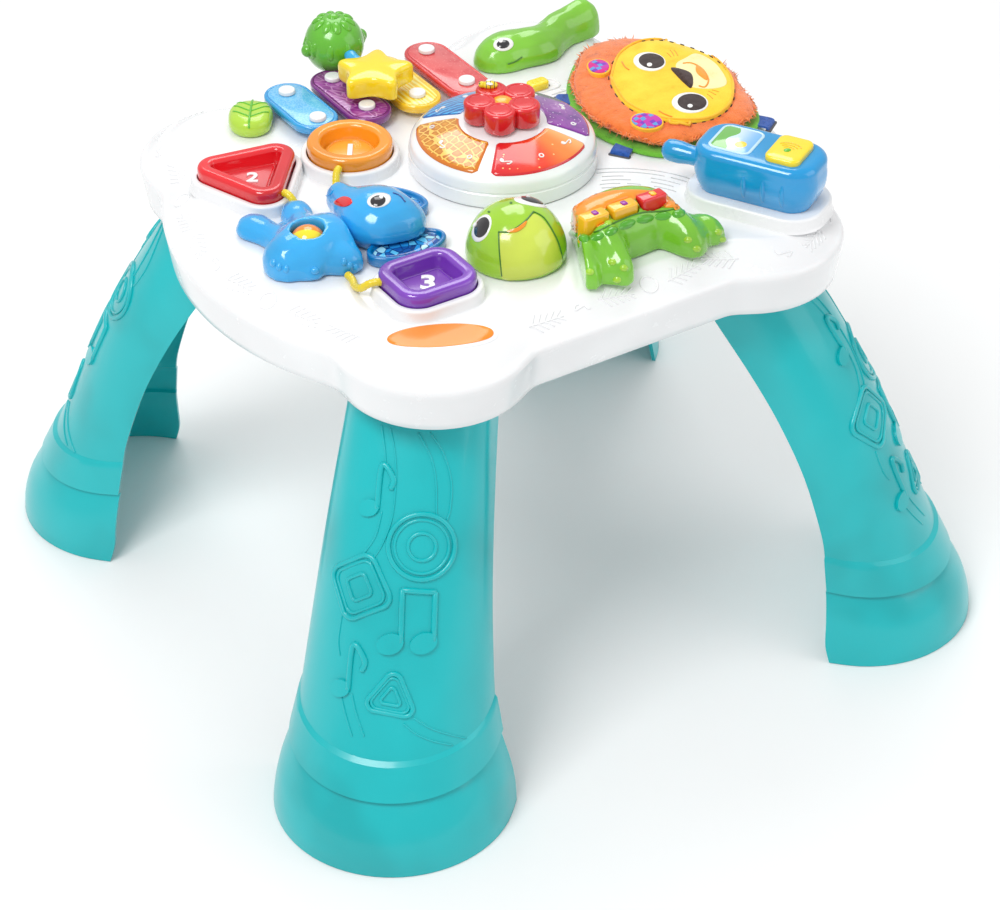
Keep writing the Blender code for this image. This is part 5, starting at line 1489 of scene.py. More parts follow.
def screen_view(tree: Tree) -> bpy.types.NodeSocket:
    """A plain scene for the phone's screen: sky, sun and hills."""
    coords = tree.add("TexCoord")
    parts = tree.add("SeparateXYZ")
    tree.link(coords.outputs["UV"], parts.inputs[0])
    sky = tree.ramp(parts.outputs[1], ((0.3, (0.72, 0.86, 0.95)), (1.0, (0.2, 0.5, 0.85))))
    hump = tree.math("SINE", tree.math("MULTIPLY", parts.outputs[0], 8.0), 0.0)
    line = tree.math("MULTIPLY_ADD", hump, 0.09)
    line.node.inputs[2].default_value = 0.36
    hills = tree.mix(tree.math("LESS_THAN", parts.outputs[1], line), sky, (0.16, 0.5, 0.08))
    dx = tree.math("SUBTRACT", parts.outputs[0], 0.68)
    dy = tree.math("SUBTRACT", parts.outputs[1], 0.7)
    far = tree.math("ADD", tree.math("POWER", dx, 2.0), tree.math("POWER", dy, 2.0))
    return tree.mix(tree.math("LESS_THAN", far, 0.022), hills, (0.98, 0.7, 0.05))


@dataclass
class LightDome:
    """The white light drum with four printed panels between its ribs."""

    x: float = 0.018
    y: float = 0.005
    radius: float = 0.066
    edge_radius: float = 0.059
    edge_height: float = 0.024
    height: float = 0.035
    panel_radii: tuple[float, float] = (0.0305, 0.0602)
    rib: float = 4.0
    first: float = 135.0
    shell: Finish = Plastic("drum_white", (0.86, 0.87, 0.88), 0.2, 0.5, 0.01, shade=0.97, subsurface=0.15)

    PANELS = (
        ("light_panel_orange", honeycomb),
        ("light_panel_red", sunset),
        ("light_panel_purple", sparkle),
        ("light_panel_blue", ripple),
    )

    def level(self, radius: float) -> float:
        """Height of the drum's skin at a radius."""
        return DECK_Z + self.height - (self.height - self.edge_height) * (radius / self.edge_radius) ** 2

    def build(self) -> None:
        """Make the drum, its panels and the small notes on the ribs."""
        profile = [
            (self.radius - 0.0008, DECK_Z + 0.0003), (self.radius, DECK_Z + 0.0012),
            (self.radius, DECK_Z + 0.0105)
        ]
        profile += [
            (self.radius - 0.0007, DECK_Z + 0.0112), (self.radius - 0.0007, DECK_Z + 0.0122),
            (self.radius - 0.0003, DECK_Z + 0.0128)
        ]
        edge = Vector((self.edge_radius, self.edge_height + DECK_Z))
        profile += [
            tuple(v)
            for v in spline(
                [
                    Vector((self.radius - 0.0005, DECK_Z + 0.0145)),
                    Vector((self.radius - 0.002, DECK_Z + 0.0195)), edge
                ],
                8
            )
        ]
        profile += [(r, self.level(r)) for r in [self.edge_radius * (1 - k / 24) for k in range(1, 23)]]
        profile += [(0.0046, self.level(0.0046)), (0.0044, self.level(0.004) - 0.002)]
        drum = moved(lathe(profile, 144), self.x, self.y)
        made = piece("light_drum", drum, self.shell, crease=40.0)
        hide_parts("dome_housing")
        for i, (name, pattern) in enumerate(self.PANELS):
            self.build_panel(name, pattern, self.first + 90 * i)
        self.build_ribs()

    def build_panel(
        self, name: str, pattern: Callable[[Tree], bpy.types.NodeSocket], start: float
    ) -> None:
        """One printed lens, raised a little over the skin, with shares as its UVs."""
        a0, a1 = math.radians(start + self.rib + 0.6), math.radians(start + 90 - self.rib - 0.6)
        r0, r1 = self.panel_radii
        across, along = 48, 16
        bm = bmesh.new()
        layer = bm.loops.layers.uv.new("UVMap")
        shares = {}
        grid = []
        for k in range(-1, along + 2):
            row = []
            for i in range(-1, across + 2):
                u, v = min(max(i / across, 0), 1), min(max(k / along, 0), 1)
                outer = k in (-1, along + 1) or i in (-1, across + 1)
                soft = 0.0022 * (
                    max(0.0, abs(2 * u - 1) - 0.9) * 10
                ) ** 2 * (1 if v > 0.5 else -1) * max(0.0, abs(2 * v - 1) - 0.7) / 0.3
                radius = r0 + (r1 - r0) * v - soft
                angle = a0 + (a1 - a0) * u
                rim = min(min(u, 1 - u) * (a1 - a0) * radius, min(v, 1 - v) * (r1 - r0))
                up = 0.0009 * min(1.0, rim / 0.0015) ** 0.5 - (0.0012 if outer else 0.0)
                vert = bm.verts.new(
                    (
                        self.x + radius * math.cos(angle), self.y + radius * math.sin(angle),
                        self.level(radius) + up
                    )
                )
                shares[vert] = (u, v)
                row.append(vert)
            grid.append(row)
        for low, high in zip(grid, grid[1:]):
            for a, b, c, d in zip(low, low[1:], high[1:], high):
                face = bm.faces.new((a, b, c, d))
                for loop in face.loops:
                    loop[layer].uv = shares[loop.vert]
        bmesh.ops.recalc_face_normals(bm, faces=bm.faces)
        if sum(f.normal.z for f in bm.faces) < 0:
            bmesh.ops.reverse_faces(bm, faces=bm.faces)
        finish = Printed(f"{name}_print", (0.9, 0.3, 0.02), 0.1, 0.8, 0.004, pattern=pattern, subsurface=0.0)
        made = piece(f"{name}_lens", bm, finish, crease=60.0)
        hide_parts(name)

    def build_ribs(self) -> None:
        """Small white shapes on the panels' outer edges."""
        parts = []
        for i, angle in enumerate(range(150, 510, 30)):
            if (angle - 135) % 90 == 0:
                continue
            a = math.radians(angle)
            place = Vector(
                (self.x + 0.049 * math.cos(a), self.y + 0.049 * math.sin(a), self.level(0.049) + 0.001)
            )
            motif = Motif.NOTE if i % 2 else Motif.CIRCLE
            flat = BVHTree.FromPolygons(self.patch(place), [(0, 1, 2, 3)])
            parts += relief(
                flat, place, UP, motif, 0.0085 if i % 2 else 0.003, 0.0005, a, Vector((0.0, 1.0, 0.0))
            )
        piece("drum_notes", joined(parts), Plastic("print_white", Hue.CHALK.value, 0.3, 0.2), crease=60.0)

    def patch(self, place: Vector) -> list[Vector]:
        """A small flat square tangent to the drum's skin."""
        out = Vector((place.x - self.x, place.y - self.y, 0.0)).normalized()
        drop = -2 * (self.height - self.edge_height) * 0.049 / self.edge_radius**2
        down = (out + Vector((0, 0, drop))) * 0.012
        side = Vector((-out.y, out.x, 0.0)) * 0.012
        return [place - down - side, place + down - side, place + down + side, place - down + side]


@dataclass
class Flower:
    """The red flower that spins on the dome, its yellow middle and a bee on one petal."""

    x: float = 0.018
    y: float = 0.005
    base: float = DECK_Z + 0.0353
    height: float = 0.0148
    petal_radius: float = 0.0112
    petal_reach: float = 0.0162
    turn: float = 230.0
    red: Finish = Plastic("flower_red", Hue.RED.value, 0.16, 0.6, 0.01, subsurface=0.05)
    middle: Finish = Plastic("flower_middle", Hue.AMBER.value, 0.2, 0.6, 0.01, subsurface=0.1)
    yellow: Finish = Plastic("bee_yellow", Hue.YELLOW.value, 0.25, 0.5, 0.01)
    black: Finish = Plastic("bee_black", Hue.INK.value, 0.25, 0.5, 0.01)
    white: Finish = Plastic("bee_wing", Hue.CHALK.value, 0.3, 0.4, 0.01)

    def build(self) -> None:
        """Make the petals, the middle and the bee."""
        parts = []
        for k in range(5):
            angle = math.radians(self.turn + 72 * k)
            x, y = self.x + self.petal_reach * math.cos(angle), self.y + self.petal_reach * math.sin(angle)
            shape = turned(oval(self.petal_radius * 2.0, self.petal_radius * 2.0, 56), angle)
            h = self.height
            sections = [(0.0008, 0.0), (0.0, 0.0008), (0.0, h - 0.0025)]
            sections += [(0.0022 - r, z) for r, z in arc(0.0, h - 0.0022, 0.0022, 0, 90, 6)]
            sections += [
                (0.0030, h), (0.0033, h + 0.0004), (0.0037, h + 0.0004), (0.0041, h), (0.007, h + 0.0002)
            ]
            parts.append(moved(stack(shape, sections), x, y, self.base))
        hub = moved(
            lathe([(0.0, 0.0), (0.0145, 0.0), (0.0145, 0.0085), (0.0, 0.0085)], 48), self.x, self.y, self.base
        )
        parts.append(hub)
        spinner = piece("flower_petals", joined(parts), self.red, "flower", 45.0)
        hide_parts("flower_spinner")
        profile = [(0.0, 0.0), (0.0098, 0.0), (0.0103, 0.0015)] + arc(0.0, -0.002, 0.0105, 18, 90, 10)
        core = moved(lathe([(r, z * 0.75) for r, z in profile], 48), self.x, self.y, self.base + 0.0086)
        centre = piece("flower_button", core, self.middle, "flower", 60.0)
        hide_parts("flower_centre")
        self.build_bee()

    def build_bee(self) -> None:
        """A small striped bee that lies on the far petal."""
        angle = math.radians(88)
        place = Matrix.Translation(
            (
                self.x + 0.018 * math.cos(angle), self.y + 0.018 * math.sin(angle),
                self.base + self.height + 0.0016
            )
        ) @ Matrix.Rotation(math.radians(-32), 4, "Z")
        kinds = {"bee_body": [], "bee_stripes": [], "bee_wings": []}
        kinds["bee_body"].append(ball(Vector((0, 0, 0)), (0.0058, 0.0036, 0.0027)))
        kinds["bee_body"].append(ball(Vector((-0.0052, 0, 0.0003)), (0.0026, 0.0026, 0.0023)))
        for x, r in ((-0.0022, 0.93), (0.0006, 1.0), (0.0033, 0.82)):
            kinds["bee_stripes"].append(ball(Vector((x, 0, 0)), (0.00075, 0.00375 * r, 0.00285 * r)))
        for side in (-1, 1):
            kinds["bee_stripes"].append(
                ball(Vector((-0.0068, side * 0.0011, 0.0016)), (0.0006, 0.0006, 0.0006), detail=12)
            )
            kinds["bee_wings"].append(
                ball(Vector((0.0, side * 0.0026, 0.0023)), (0.0026, 0.0017, 0.0006), side * 0.5)
            )
        for (name, parts), finish in zip(kinds.items(), (self.yellow, self.black, self.white)):
            bm = joined(parts)
            bmesh.ops.transform(bm, matrix=place, verts=bm.verts)
            piece(name, bm, finish, "flower", 60.0)
        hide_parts("bee")


@dataclass
class RingButton:
    """A ring that presses down in its pod, with a raised line and a figure on its well's floor."""

    name: str
    number: str
    outline: Outline
    x: float
    y: float
    turn: float
    finish: Finish
    floor: Finish
    slot: str
    number_turn: float = math.radians(-32.5)
    number_size: float = 0.016
    height: float = 0.018
    width: float = 0.010
    seat: float = 0.004
    round_: float = 0.0034
    well: float = 0.007
    pod_height: float = 0.009
    white: Finish = Plastic("pearl_relief", Hue.PEARL.value, 0.26, 0.3, 0.01, shade=0.98)

    def build(self) -> None:
        """Make the pod, the ring and the well's floor."""
        body = f"{self.name}_ring"
        top = self.height
        sections = [(0.0006, self.seat), (0.0, self.seat + 0.0006), (0.0, top - self.round_ - 0.001)]
        sections += [(self.round_ - r, z) for r, z in arc(0.0, top - self.round_, self.round_, 0, 90, 8)]
        inner = self.width - self.round_
        sections += [(inner - r, z) for r, z in arc(0.0, top - self.round_, self.round_, 90, 180, 8)]
        sections += [
            (self.width + 0.0011, self.well + 0.0006), (self.width + 0.0016, self.well),
            (self.width + 0.0022, self.well)
        ]
        ring = moved(stack(self.outline, sections), self.x, self.y, DECK_Z, self.turn)
        made = piece(f"{self.name}_wall", ring, self.finish, body, 50.0)
        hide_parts(f"{self.name}_button")
        inset_by = self.width + 0.0030
        disc = stack(
            self.outline,
            (
                (inset_by, self.well + 0.0003), (inset_by, self.well + 0.0011),
                (inset_by + 0.0003, self.well + 0.0013)
            )
        )
        made = piece(
            f"{self.name}_floor", moved(disc, self.x, self.y, DECK_Z, self.turn), self.floor, body,
            50.0
        )
        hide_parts(f"{self.name}_number_disc")
        figure = lettering(self.number, self.number_size, 0.0009)
        bmesh.ops.rotate(
            figure, cent=(0, 0, 0), matrix=Matrix.Rotation(self.number_turn, 3, "Z"), verts=figure.verts
        )
        piece(
            f"{self.name}_figure", moved(figure, self.x, self.y, DECK_Z + self.well + 0.0012), self.white, body,
            30.0
        )
        self.build_line(body)
        self.build_pod()

    def build_line(self, body: str) -> None:
        """A raised line round the floor's edge."""
        path = [Vector((p.x, p.y, self.well + 0.0013)) for p in inset(self.outline, self.width + 0.0044)]
        line = moved(tube(path + path[:2], 0.0005, 8), self.x, self.y, DECK_Z, self.turn)
        piece(f"{self.name}_line", line, self.finish, body)

    def build_pod(self) -> None:
        """The white pod's wall round the ring."""
        h = self.pod_height
        sections = [(-0.0062, -0.001), (-0.0054, 0.0004), (-0.005, 0.0015), (-0.0046, h - 0.0028)]
        sections += [(-0.0026 - r, z) for r, z in arc(0.0, h - 0.002, 0.002, 0, 90, 7)]
        sections += [(-0.0011 - r, z) for r, z in arc(0.0, h - 0.0006, 0.0006, 90, 180, 4)]
        sections += [(-0.0005, h - 0.0012), (-0.0005, 0.0005)]
        pod = moved(stack(self.outline, sections, low=False), self.x, self.y, DECK_Z, self.turn)
        piece(f"{self.name}_pod", pod, self.white, crease=50.0)


@dataclass
class Strings:
    """The yellow moulded strings between the rings and the elephant."""

    radius: float = 0.0026
    finish: Finish = Plastic("string_yellow", Hue.YELLOW.value, 0.22, 0.4, 0.01, subsurface=0.1)

    RUNS = (
        (
            "string_circle",
            (
                (-0.0945, 0.0385, 0.0125), (-0.0968, 0.0362, 0.0128), (-0.0993, 0.0335, 0.0112),
                (-0.1015, 0.0303, 0.0065), (-0.1035, 0.027, 0.0032)
            )
        ),
        (
            "string_triangle",
            (
                (-0.1415, 0.0305, 0.0125), (-0.1408, 0.0275, 0.0128), (-0.1398, 0.0238, 0.0112),
                (-0.1385, 0.0198, 0.0065), (-0.1388, 0.0155, 0.0032)
            )
        ),
        (
            "string_square",
            (
                (-0.1433, -0.1015, 0.0125), (-0.1462, -0.1002, 0.0128), (-0.1500, -0.0975, 0.0112),
                (-0.1532, -0.0925, 0.0065), (-0.1530, -0.0845, 0.0034), (-0.1505, -0.0765, 0.0032),
                (-0.15, -0.0695, 0.0032)
            )
        ),
    )

    def build(self) -> None:
        """Make each string as a round bar with a fine twist over the pod's edge and down to the deck."""
        for name, points in self.RUNS:
            path = spline([Vector((x, y, DECK_Z + z)) for x, y, z in points], 8)
            radii = [self.radius * (1.0 + 0.06 * math.sin(1.9 * k)) for k in range(len(path))]
            made = piece(
                f"{name}_moulding", tube(path, radii, 24), self.finish, crease=70.0
            )
            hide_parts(name)


@dataclass
class Xylophone:
    """Four round-ended bars with printed tops and clear-looking darker edges."""

    xs: tuple[float, ...] = (-0.071, -0.033, 0.0065, 0.0465)
    fronts: tuple[float, ...] = (0.0975, 0.087, 0.084, 0.081)
    back: float = 0.170
    width: float = 0.034
    low: float = DECK_Z + 0.005
    thickness: float = 0.006

    BARS = (
        ("blue", (0.02, 0.34, 0.72), lace, "sky_plastic"),
        ("purple", (0.2, 0.012, 0.22), petal_print, "purple_plastic"),
        ("yellow", (0.9, 0.56, 0.01), timber, "yellow_plastic"),
        ("red", (0.7, 0.04, 0.045), speckle, "red_plastic"),
    )

    def build(self) -> None:
        """Make each bar and its print."""
        for (colour, edge, pattern, slot), x, front in zip(self.BARS, self.xs, self.fronts):
            length, middle = self.back - front, (self.back + front) / 2
            outline = rounded_box(self.width, length, self.width / 2 - 0.00015, 24)
            t = self.thickness
            sections = [(0.0008, 0.0), (0.0, 0.0008), (0.0, t - 0.0018)]
            sections += [(0.0016 - r, z) for r, z in arc(0.0, t - 0.0016, 0.0016, 0, 90, 6)]
            sections += [(0.0024, t), (0.0027, t - 0.0003)]
            bar = moved(stack(outline, sections), x, middle, self.low)
            finish = Plastic(f"bar_{colour}_edge", edge, 0.1, 0.8, 0.005, subsurface=0.2)
            made = piece(f"bar_{colour}_body", bar, finish, crease=50.0)
            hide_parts(f"xylophone_bar_{colour}")
            plate = moved(
                stack(outline, ((0.003, t - 0.0006), (0.003, t + 0.0), (0.0033, t + 0.00015))), x, middle,
                self.low
            )
            printed = Printed(f"bar_{colour}_print", edge, 0.18, 0.6, 0.01, pattern=pattern)
            piece(f"bar_{colour}_top", plate, printed, crease=50.0)


@dataclass
class Mallet:
    """The green ball, the blue rod and the puffy star that swings over the bars."""

    x: float = -0.017
    y: float = 0.179
    radius: float = 0.022
    centre: float = DECK_Z + 0.025
    star_y: float = 0.121
    star_low: float = DECK_Z + 0.0175
    star_height: float = 0.016
    reach: float = 0.0305
    green: Finish = Plastic("ball_green", Hue.GRASS.value, 0.2, 0.5, 0.01, subsurface=0.05)
    blue: Finish = Plastic("rod_blue", Hue.SKY.value, 0.2, 0.5, 0.01)
    yellow: Finish = Plastic("star_yellow", (0.97, 0.7, 0.01), 0.15, 0.7, 0.01, subsurface=0.1)

    def build(self) -> None:
        """Make the ball, the rod and the star."""
        parts = [ball(Vector((self.x, self.y, self.centre)), (self.radius,) * 3, detail=64)]
        parts.append(
            moved(
                lathe([(0.0085, 0.0005), (0.008, 0.002), (0.0085, 0.006), (0.011, 0.012)], 40), self.x, self.y,
                DECK_Z
            )
        )
        for side in (-1, 1):
            parts.append(
                ball(Vector((self.x + side * self.radius, self.y, self.centre)), (0.005, 0.005, 0.005))
            )
            parts.append(
                ball(
                    Vector((self.x + side * (self.radius - 0.0012), self.y, self.centre)),
                    (0.002, 0.0075, 0.0075)
                )
            )
        skin_parts = joined(parts)
        made = piece("ball_moulding", skin_parts, self.green, "mallet", 60.0)
        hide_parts("mallet_ball")
        self.build_leaves(skin_of(made))
        start = Vector((self.x, self.y - self.radius + 0.004, self.centre))
        end = Vector((self.x, self.star_y + self.reach * 0.55, self.centre))
        path = [start + (end - start) * k / 12 for k in range(13)]
        radii = [0.0046 if k in (3, 4) else 0.0039 for k in range(13)]
        made = piece("rod_moulding", tube(path, radii, 32), self.blue, "mallet", 60.0)
        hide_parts("mallet_rod")
        self.build_star()

    def build_leaves(self, skin: BVHTree) -> None:
        """Leafy relief round the ball's crown and ribs down its sides."""
        centre = Vector((self.x, self.y, self.centre))
        parts = []
        for k in range(10):
            angle = 2 * math.pi * k / 10
            out = Vector((math.cos(angle) * 0.55, math.sin(angle) * 0.55, 0.83)).normalized()
            parts.append(
                conforming(
                    skin, centre + out * self.radius, out, oval(0.0062, 0.0105, 24), UP, 0.0004, 0.0011, 4
                )
            )
            low = Vector((math.cos(angle + 0.3) * 0.97, math.sin(angle + 0.3) * 0.97, 0.1)).normalized()
            parts.append(
                conforming(skin, centre + low * self.radius, low, oval(0.005, 0.012, 24), UP, 0.0002, 0.0008, 4)
            )
        parts.append(
            conforming(
                skin, centre + Vector((0, 0, self.radius)), UP, oval(0.009, 0.009, 32), Vector((0, 1, 0)),
                0.0004, 0.0012, 5
            )
        )
        piece("ball_leaves", joined(parts), self.green, "mallet", crease=60.0)

    def star_outline(self, steps: int = 14) -> Outline:
        """A five-pointed star whose tips and notches are round."""
        corners = []
        for k in range(10):
            angle = math.radians(-90 + 36 * k)
            reach = self.reach * (1.06 if k % 2 == 0 else 0.585)
            corners.append(direction(angle) * reach)
        edge = []
        for i, corner in enumerate(corners):
            before, after = corners[i - 1], corners[(i + 1) % 10]
            hold = 0.44 if i % 2 == 0 else 0.3
            first, last = corner.lerp(before, hold), corner.lerp(after, hold)
            for k in range(steps):
                t = k / steps
                edge.append((1 - t) ** 2 * first + 2 * t * (1 - t) * corner + t * t * last)
            following = corners[(i + 1) % 10].lerp(corner, 0.3 if i % 2 == 0 else 0.44)
            edge.append(last)
            for k in range(1, 5):
                edge.append(last.lerp(following, k / 5))
        return edge

    def build_star(self) -> None:
        """The star: upright rounded walls under a softly domed top."""
        outline = self.star_outline()
        h = self.star_height
        rings = []
        for share, z in ((0.965, 0.0), (0.99, 0.0008), (1.0, 0.0025), (1.0, h - 0.0058)):
            rings.append([Vector((p.x * share, p.y * share, z)) for p in outline])
        for k in range(1, 9):
            a = math.pi / 2 * k / 8
            share = 1.0 - 0.15 * (1 - math.cos(a))
            rings.append(
                [Vector((p.x * share, p.y * share, h - 0.0058 + 0.0046 * math.sin(a))) for p in outline]
            )
        for share, z in ((0.78, h - 0.0009), (0.66, h - 0.0005), (0.5, h - 0.0002), (0.3, h), (0.1, h)):
            rings.append([Vector((p.x * share, p.y * share, z)) for p in outline])
        star = moved(loft(rings), self.x, self.star_y, self.star_low)
        made = piece("star_moulding", star, self.yellow, "mallet", 60.0)
        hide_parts("mallet_star")


@dataclass
class Face:
    """Eyes, lines and spots laid on a figure where the view's rays meet it."""

    studio: Studio
    skin: BVHTree
    body: str = TABLE
    white: Finish = Plastic("eye_white", Hue.CHALK.value, 0.15, 0.7, 0.0, shade=1.0)
    black: Finish = Plastic("eye_black", Hue.INK.value, 0.1, 0.9, 0.0)

    def scale(self, place: Vector) -> float:
        """Length of one pixel at a place."""
        eye, _ = self.studio.ray(0, 0)
        return (place - eye).length * 36.0 / self.studio.lens / self.studio.width

    def spot(
        self, name: str, px: float, py: float, half: tuple[float, float], finish: Finish, lift: float,
        crown: float = 0.0, turn: float = 0.0
    ) -> None:
        """An oval as the view sees it, in pixels, laid along the view's rays."""
        place, _ = self.studio.hit(self.skin, px, py)
        unit = self.scale(place)
        shape = turned(oval(half[0] * 2 * unit, half[1] * 2 * unit, 40), turn)
        self.lay(name, place, shape, finish, lift, crown)

    def shape(
        self, name: str, points: Sequence[tuple[float, float]], finish: Finish, lift: float, crown: float = 0.0,
        round_: bool = True
    ) -> None:
        """A closed outline of pixels laid along the view's rays."""
        cx = sum(p[0] for p in points) / len(points)
        cy = sum(p[1] for p in points) / len(points)
        place, _ = self.studio.hit(self.skin, cx, cy)
        unit = self.scale(place)
        flat = [Vector(((x - cx) * unit, (cy - y) * unit)) for x, y in points]
        area = sum(a.x * b.y - b.x * a.y for a, b in zip(flat, flat[1:] + flat[:1]))
        flat = flat if area > 0 else list(reversed(flat))
        flat = spline(flat, 6, closed=True) if round_ else flat
        self.lay(name, place, flat, finish, lift, crown)

    def lay(self, name: str, place: Vector, flat: Outline, finish: Finish, lift: float, crown: float) -> None:
        """Lay a flat outline on the figure along the view."""
        eye, _ = self.studio.ray(0, 0)
        self.patch(name, place, (eye - place).normalized(), flat, finish, lift, crown, 0.14)

    def patch(
        self, name: str, place: Vector, normal: Vector, flat: Outline, finish: Finish, lift: float,
        crown: float, reach: float = 0.03
    ) -> None:
        """Lay a flat outline on the figure from one side."""
        up = (-self.studio.back()).to_track_quat("-Z", "Y").to_matrix() @ Vector((0.0, 1.0, 0.0))
        rings = max(6, round(max(p.length for p in flat) / 0.0022))
        piece(
            name, conforming(self.skin, place, normal, flat, up, lift, crown, rings, reach), finish, self.body,
            crease=60.0
        )

    def disc(
        self, name: str, px: float, py: float, half: tuple[float, float], finish: Finish, lift: float,
        crown: float = 0.0, turn: float = 0.0
    ) -> None:
        """An oval of real half sizes that lies along the surface's own normal at a pixel."""
        place, normal = self.studio.hit(self.skin, px, py)
        self.patch(name, place, normal, turned(oval(half[0] * 2, half[1] * 2, 48), turn), finish, lift, crown)

    def line(
        self, name: str, points: Sequence[tuple[float, float]], finish: Finish, radius: float, sink: float = 0.2
    ) -> None:
        """A bead along pixels."""
        path = []
        for px, py in spline([Vector(p) for p in points], 5):
            place, normal = self.studio.hit(self.skin, px, py)
            path.append(place + normal * radius * sink)
        piece(name, tube(path, radius, 8), finish, self.body, crease=70.0)

    def eye(
        self, name: str, px: float, py: float, white: tuple[float, float],
        black: tuple[float, float, float, float], glint: tuple[float, float], turn: float = 0.0
    ) -> None:
        """One eye: a domed white, a dark pupil and a glint, with sizes in pixels."""
        self.spot(f"{name}_white", px, py, white, self.white, 0.0006, 0.0008, turn)
        self.spot(f"{name}_pupil", black[0], black[1], (black[2], black[3]), self.black, 0.0015, 0.0008, turn)
        self.spot(f"{name}_glint", glint[0], glint[1], (1.9, 1.5), self.white, 0.0026, 0.0002)


@dataclass
class Elephant:
    """The sky-blue elephant that lies along the left side, with tiled ears and a belly ball."""

    studio: Studio
    skin_finish: Finish = Plastic("elephant_blue", (0.03, 0.4, 0.82), 0.16, 0.6, 0.01, subsurface=0.08)
    rim: Finish = Plastic("ear_blue", Hue.OCEAN.value, 0.16, 0.6, 0.01)
    tiles: Finish = Printed("ear_tiles", Hue.OCEAN.value, 0.14, 0.7, 0.0, pattern=mosaic)
    orange: Finish = Plastic("belly_orange", Hue.ORANGE.value, 0.12, 0.8, 0.01)
    yellow: Finish = Plastic("belly_yellow", Hue.YELLOW.value, 0.12, 0.8, 0.01)
    red: Finish = Plastic("mouth_red", Hue.RED.value, 0.2, 0.5, 0.0)
    dark: Finish = Plastic("line_navy", Hue.NAVY.value, 0.25, 0.5, 0.0)

    EARS = (("near", -0.101, -0.063, -2.0), ("far", -0.082, -0.006, -50.0))

    def build(self) -> None:
        """Make the body, the head, the ears, the ball and the face."""
        body = piece(
            "elephant_torso", remeshed(merged_copy("elephant_body"), 0.0012, 9), self.skin_finish,
            crease=70.0
        )
        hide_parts("elephant_body")
        head = piece(
            "elephant_face", remeshed(merged_copy("elephant_head"), 0.0012, 9), self.skin_finish,
            crease=70.0
        )
        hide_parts("elephant_head")
        for ear in self.EARS:
            self.build_ear(*ear)
        self.build_ball()
        self.build_face(skin_of(head), skin_of(body))

    def build_ear(self, name: str, x: float, y: float, turn: float) -> None:
        """One ear: a thick oval rim round a tiled floor."""
        outline = oval(0.058, 0.032, 96)
        sections = [(0.0008, 0.0003), (0.0, 0.0012), (0.0, 0.0062)]
        sections += [(0.0018 - r, z) for r, z in arc(0.0, 0.0065, 0.0018, 0, 90, 8)]
        sections += [(0.0018 + r, z) for r, z in reversed(arc(0.0, 0.0065, 0.0018, 0, 90, 8))]
        sections += [(0.0042, 0.0058), (0.005, 0.0055)]
        rim = moved(stack(outline, sections), x, y, DECK_Z, math.radians(turn))
        made = piece(f"ear_{name}_rim", rim, self.rim, crease=50.0)
        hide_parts(f"elephant_ear_{name}")
        floor = moved(
            stack(outline, ((0.0046, 0.0052), (0.0046, 0.0058), (0.0052, 0.0063), (0.0075, 0.0067))), x, y,
            DECK_Z, math.radians(turn)
        )
        piece(f"ear_{name}_tiles", floor, self.tiles, crease=50.0)

    def build_ball(self) -> None:
        """The belly's ball, orange on one half and yellow on the other, in its round window."""
        centre = Vector((-0.161, -0.037, DECK_Z + 0.0148))
        turn = math.radians(-32.0)
        for name, finish, side in (
            ("belly_ball_orange", self.orange, 1), ("belly_ball_yellow", self.yellow, -1)
        ):
            bm = bmesh.new()
            bmesh.ops.create_uvsphere(bm, u_segments=64, v_segments=32, radius=0.0121)
            geometry = list(bm.verts) + list(bm.edges) + list(bm.faces)
            bmesh.ops.bisect_plane(
                bm, geom=geometry, plane_co=(0, 0, 0), plane_no=(0, -side, -0.25 * side), clear_outer=True
            )
            bmesh.ops.holes_fill(bm, edges=[e for e in bm.edges if e.is_boundary], sides=0)
            made = piece(name, moved(bm, *centre, turn), finish, "belly_ball", 50.0)
            if side > 0:
                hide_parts("belly_roller")
        ring = lathe(
            [
                (0.0122, -0.001), (0.0136, -0.0006), (0.0141, 0.0005), (0.0136, 0.0016), (0.0122, 0.002),
                (0.0115, 0.0012), (0.0116, -0.0002), (0.0122, -0.001)
            ],
            64
        )
        piece(
            "belly_bezel", moved(ring, centre.x, centre.y, DECK_Z + 0.0212, turn), self.skin_finish, crease=60.0
        )

    def build_face(self, head: BVHTree, body: BVHTree) -> None:
        """Eye, brow, mouth, trunk ridges and toes."""
        face = Face(self.studio, head)
        face.eye("elephant_eye", 379, 200.5, (12, 7), (378, 202, 7.5, 5), (381, 199.5), 0.2)
        face.line("elephant_brow", ((393, 193), (400, 196), (405, 202)), self.dark, 0.0006)
        face.shape(
            "elephant_mouth", ((334, 203), (342, 197), (350, 198), (352, 203), (344, 207)), self.red, 0.0005,
            0.0004
        )
        for i, (x0, y0, x1, y1) in enumerate(
            ((326, 196, 333, 190), (325, 203, 333, 198), (326, 210, 334, 206))
        ):
            face.line(
                f"trunk_ridge_{i}", ((x0, y0), ((x0 + x1) / 2 + 1, (y0 + y1) / 2 + 1), (x1, y1)),
                self.skin_finish, 0.0007, 0.1
            )
        limbs = Face(self.studio, body)
        for i, (px, py) in enumerate(((344, 262), (350, 266), (356, 268))):
            limbs.spot(f"toe_{i}", px, py, (3.0, 4.0), self.skin_finish, 0.0003, 0.0013)
        for i, (px, py) in enumerate(((273, 263), (279, 267), (286, 269))):
            limbs.spot(f"hind_toe_{i}", px, py, (3.0, 4.0), self.skin_finish, 0.0003, 0.0013)
        limbs.spot("tail_knob", 314.7, 270.6, (4.5, 4.0), self.skin_finish, 0.0004, 0.002)


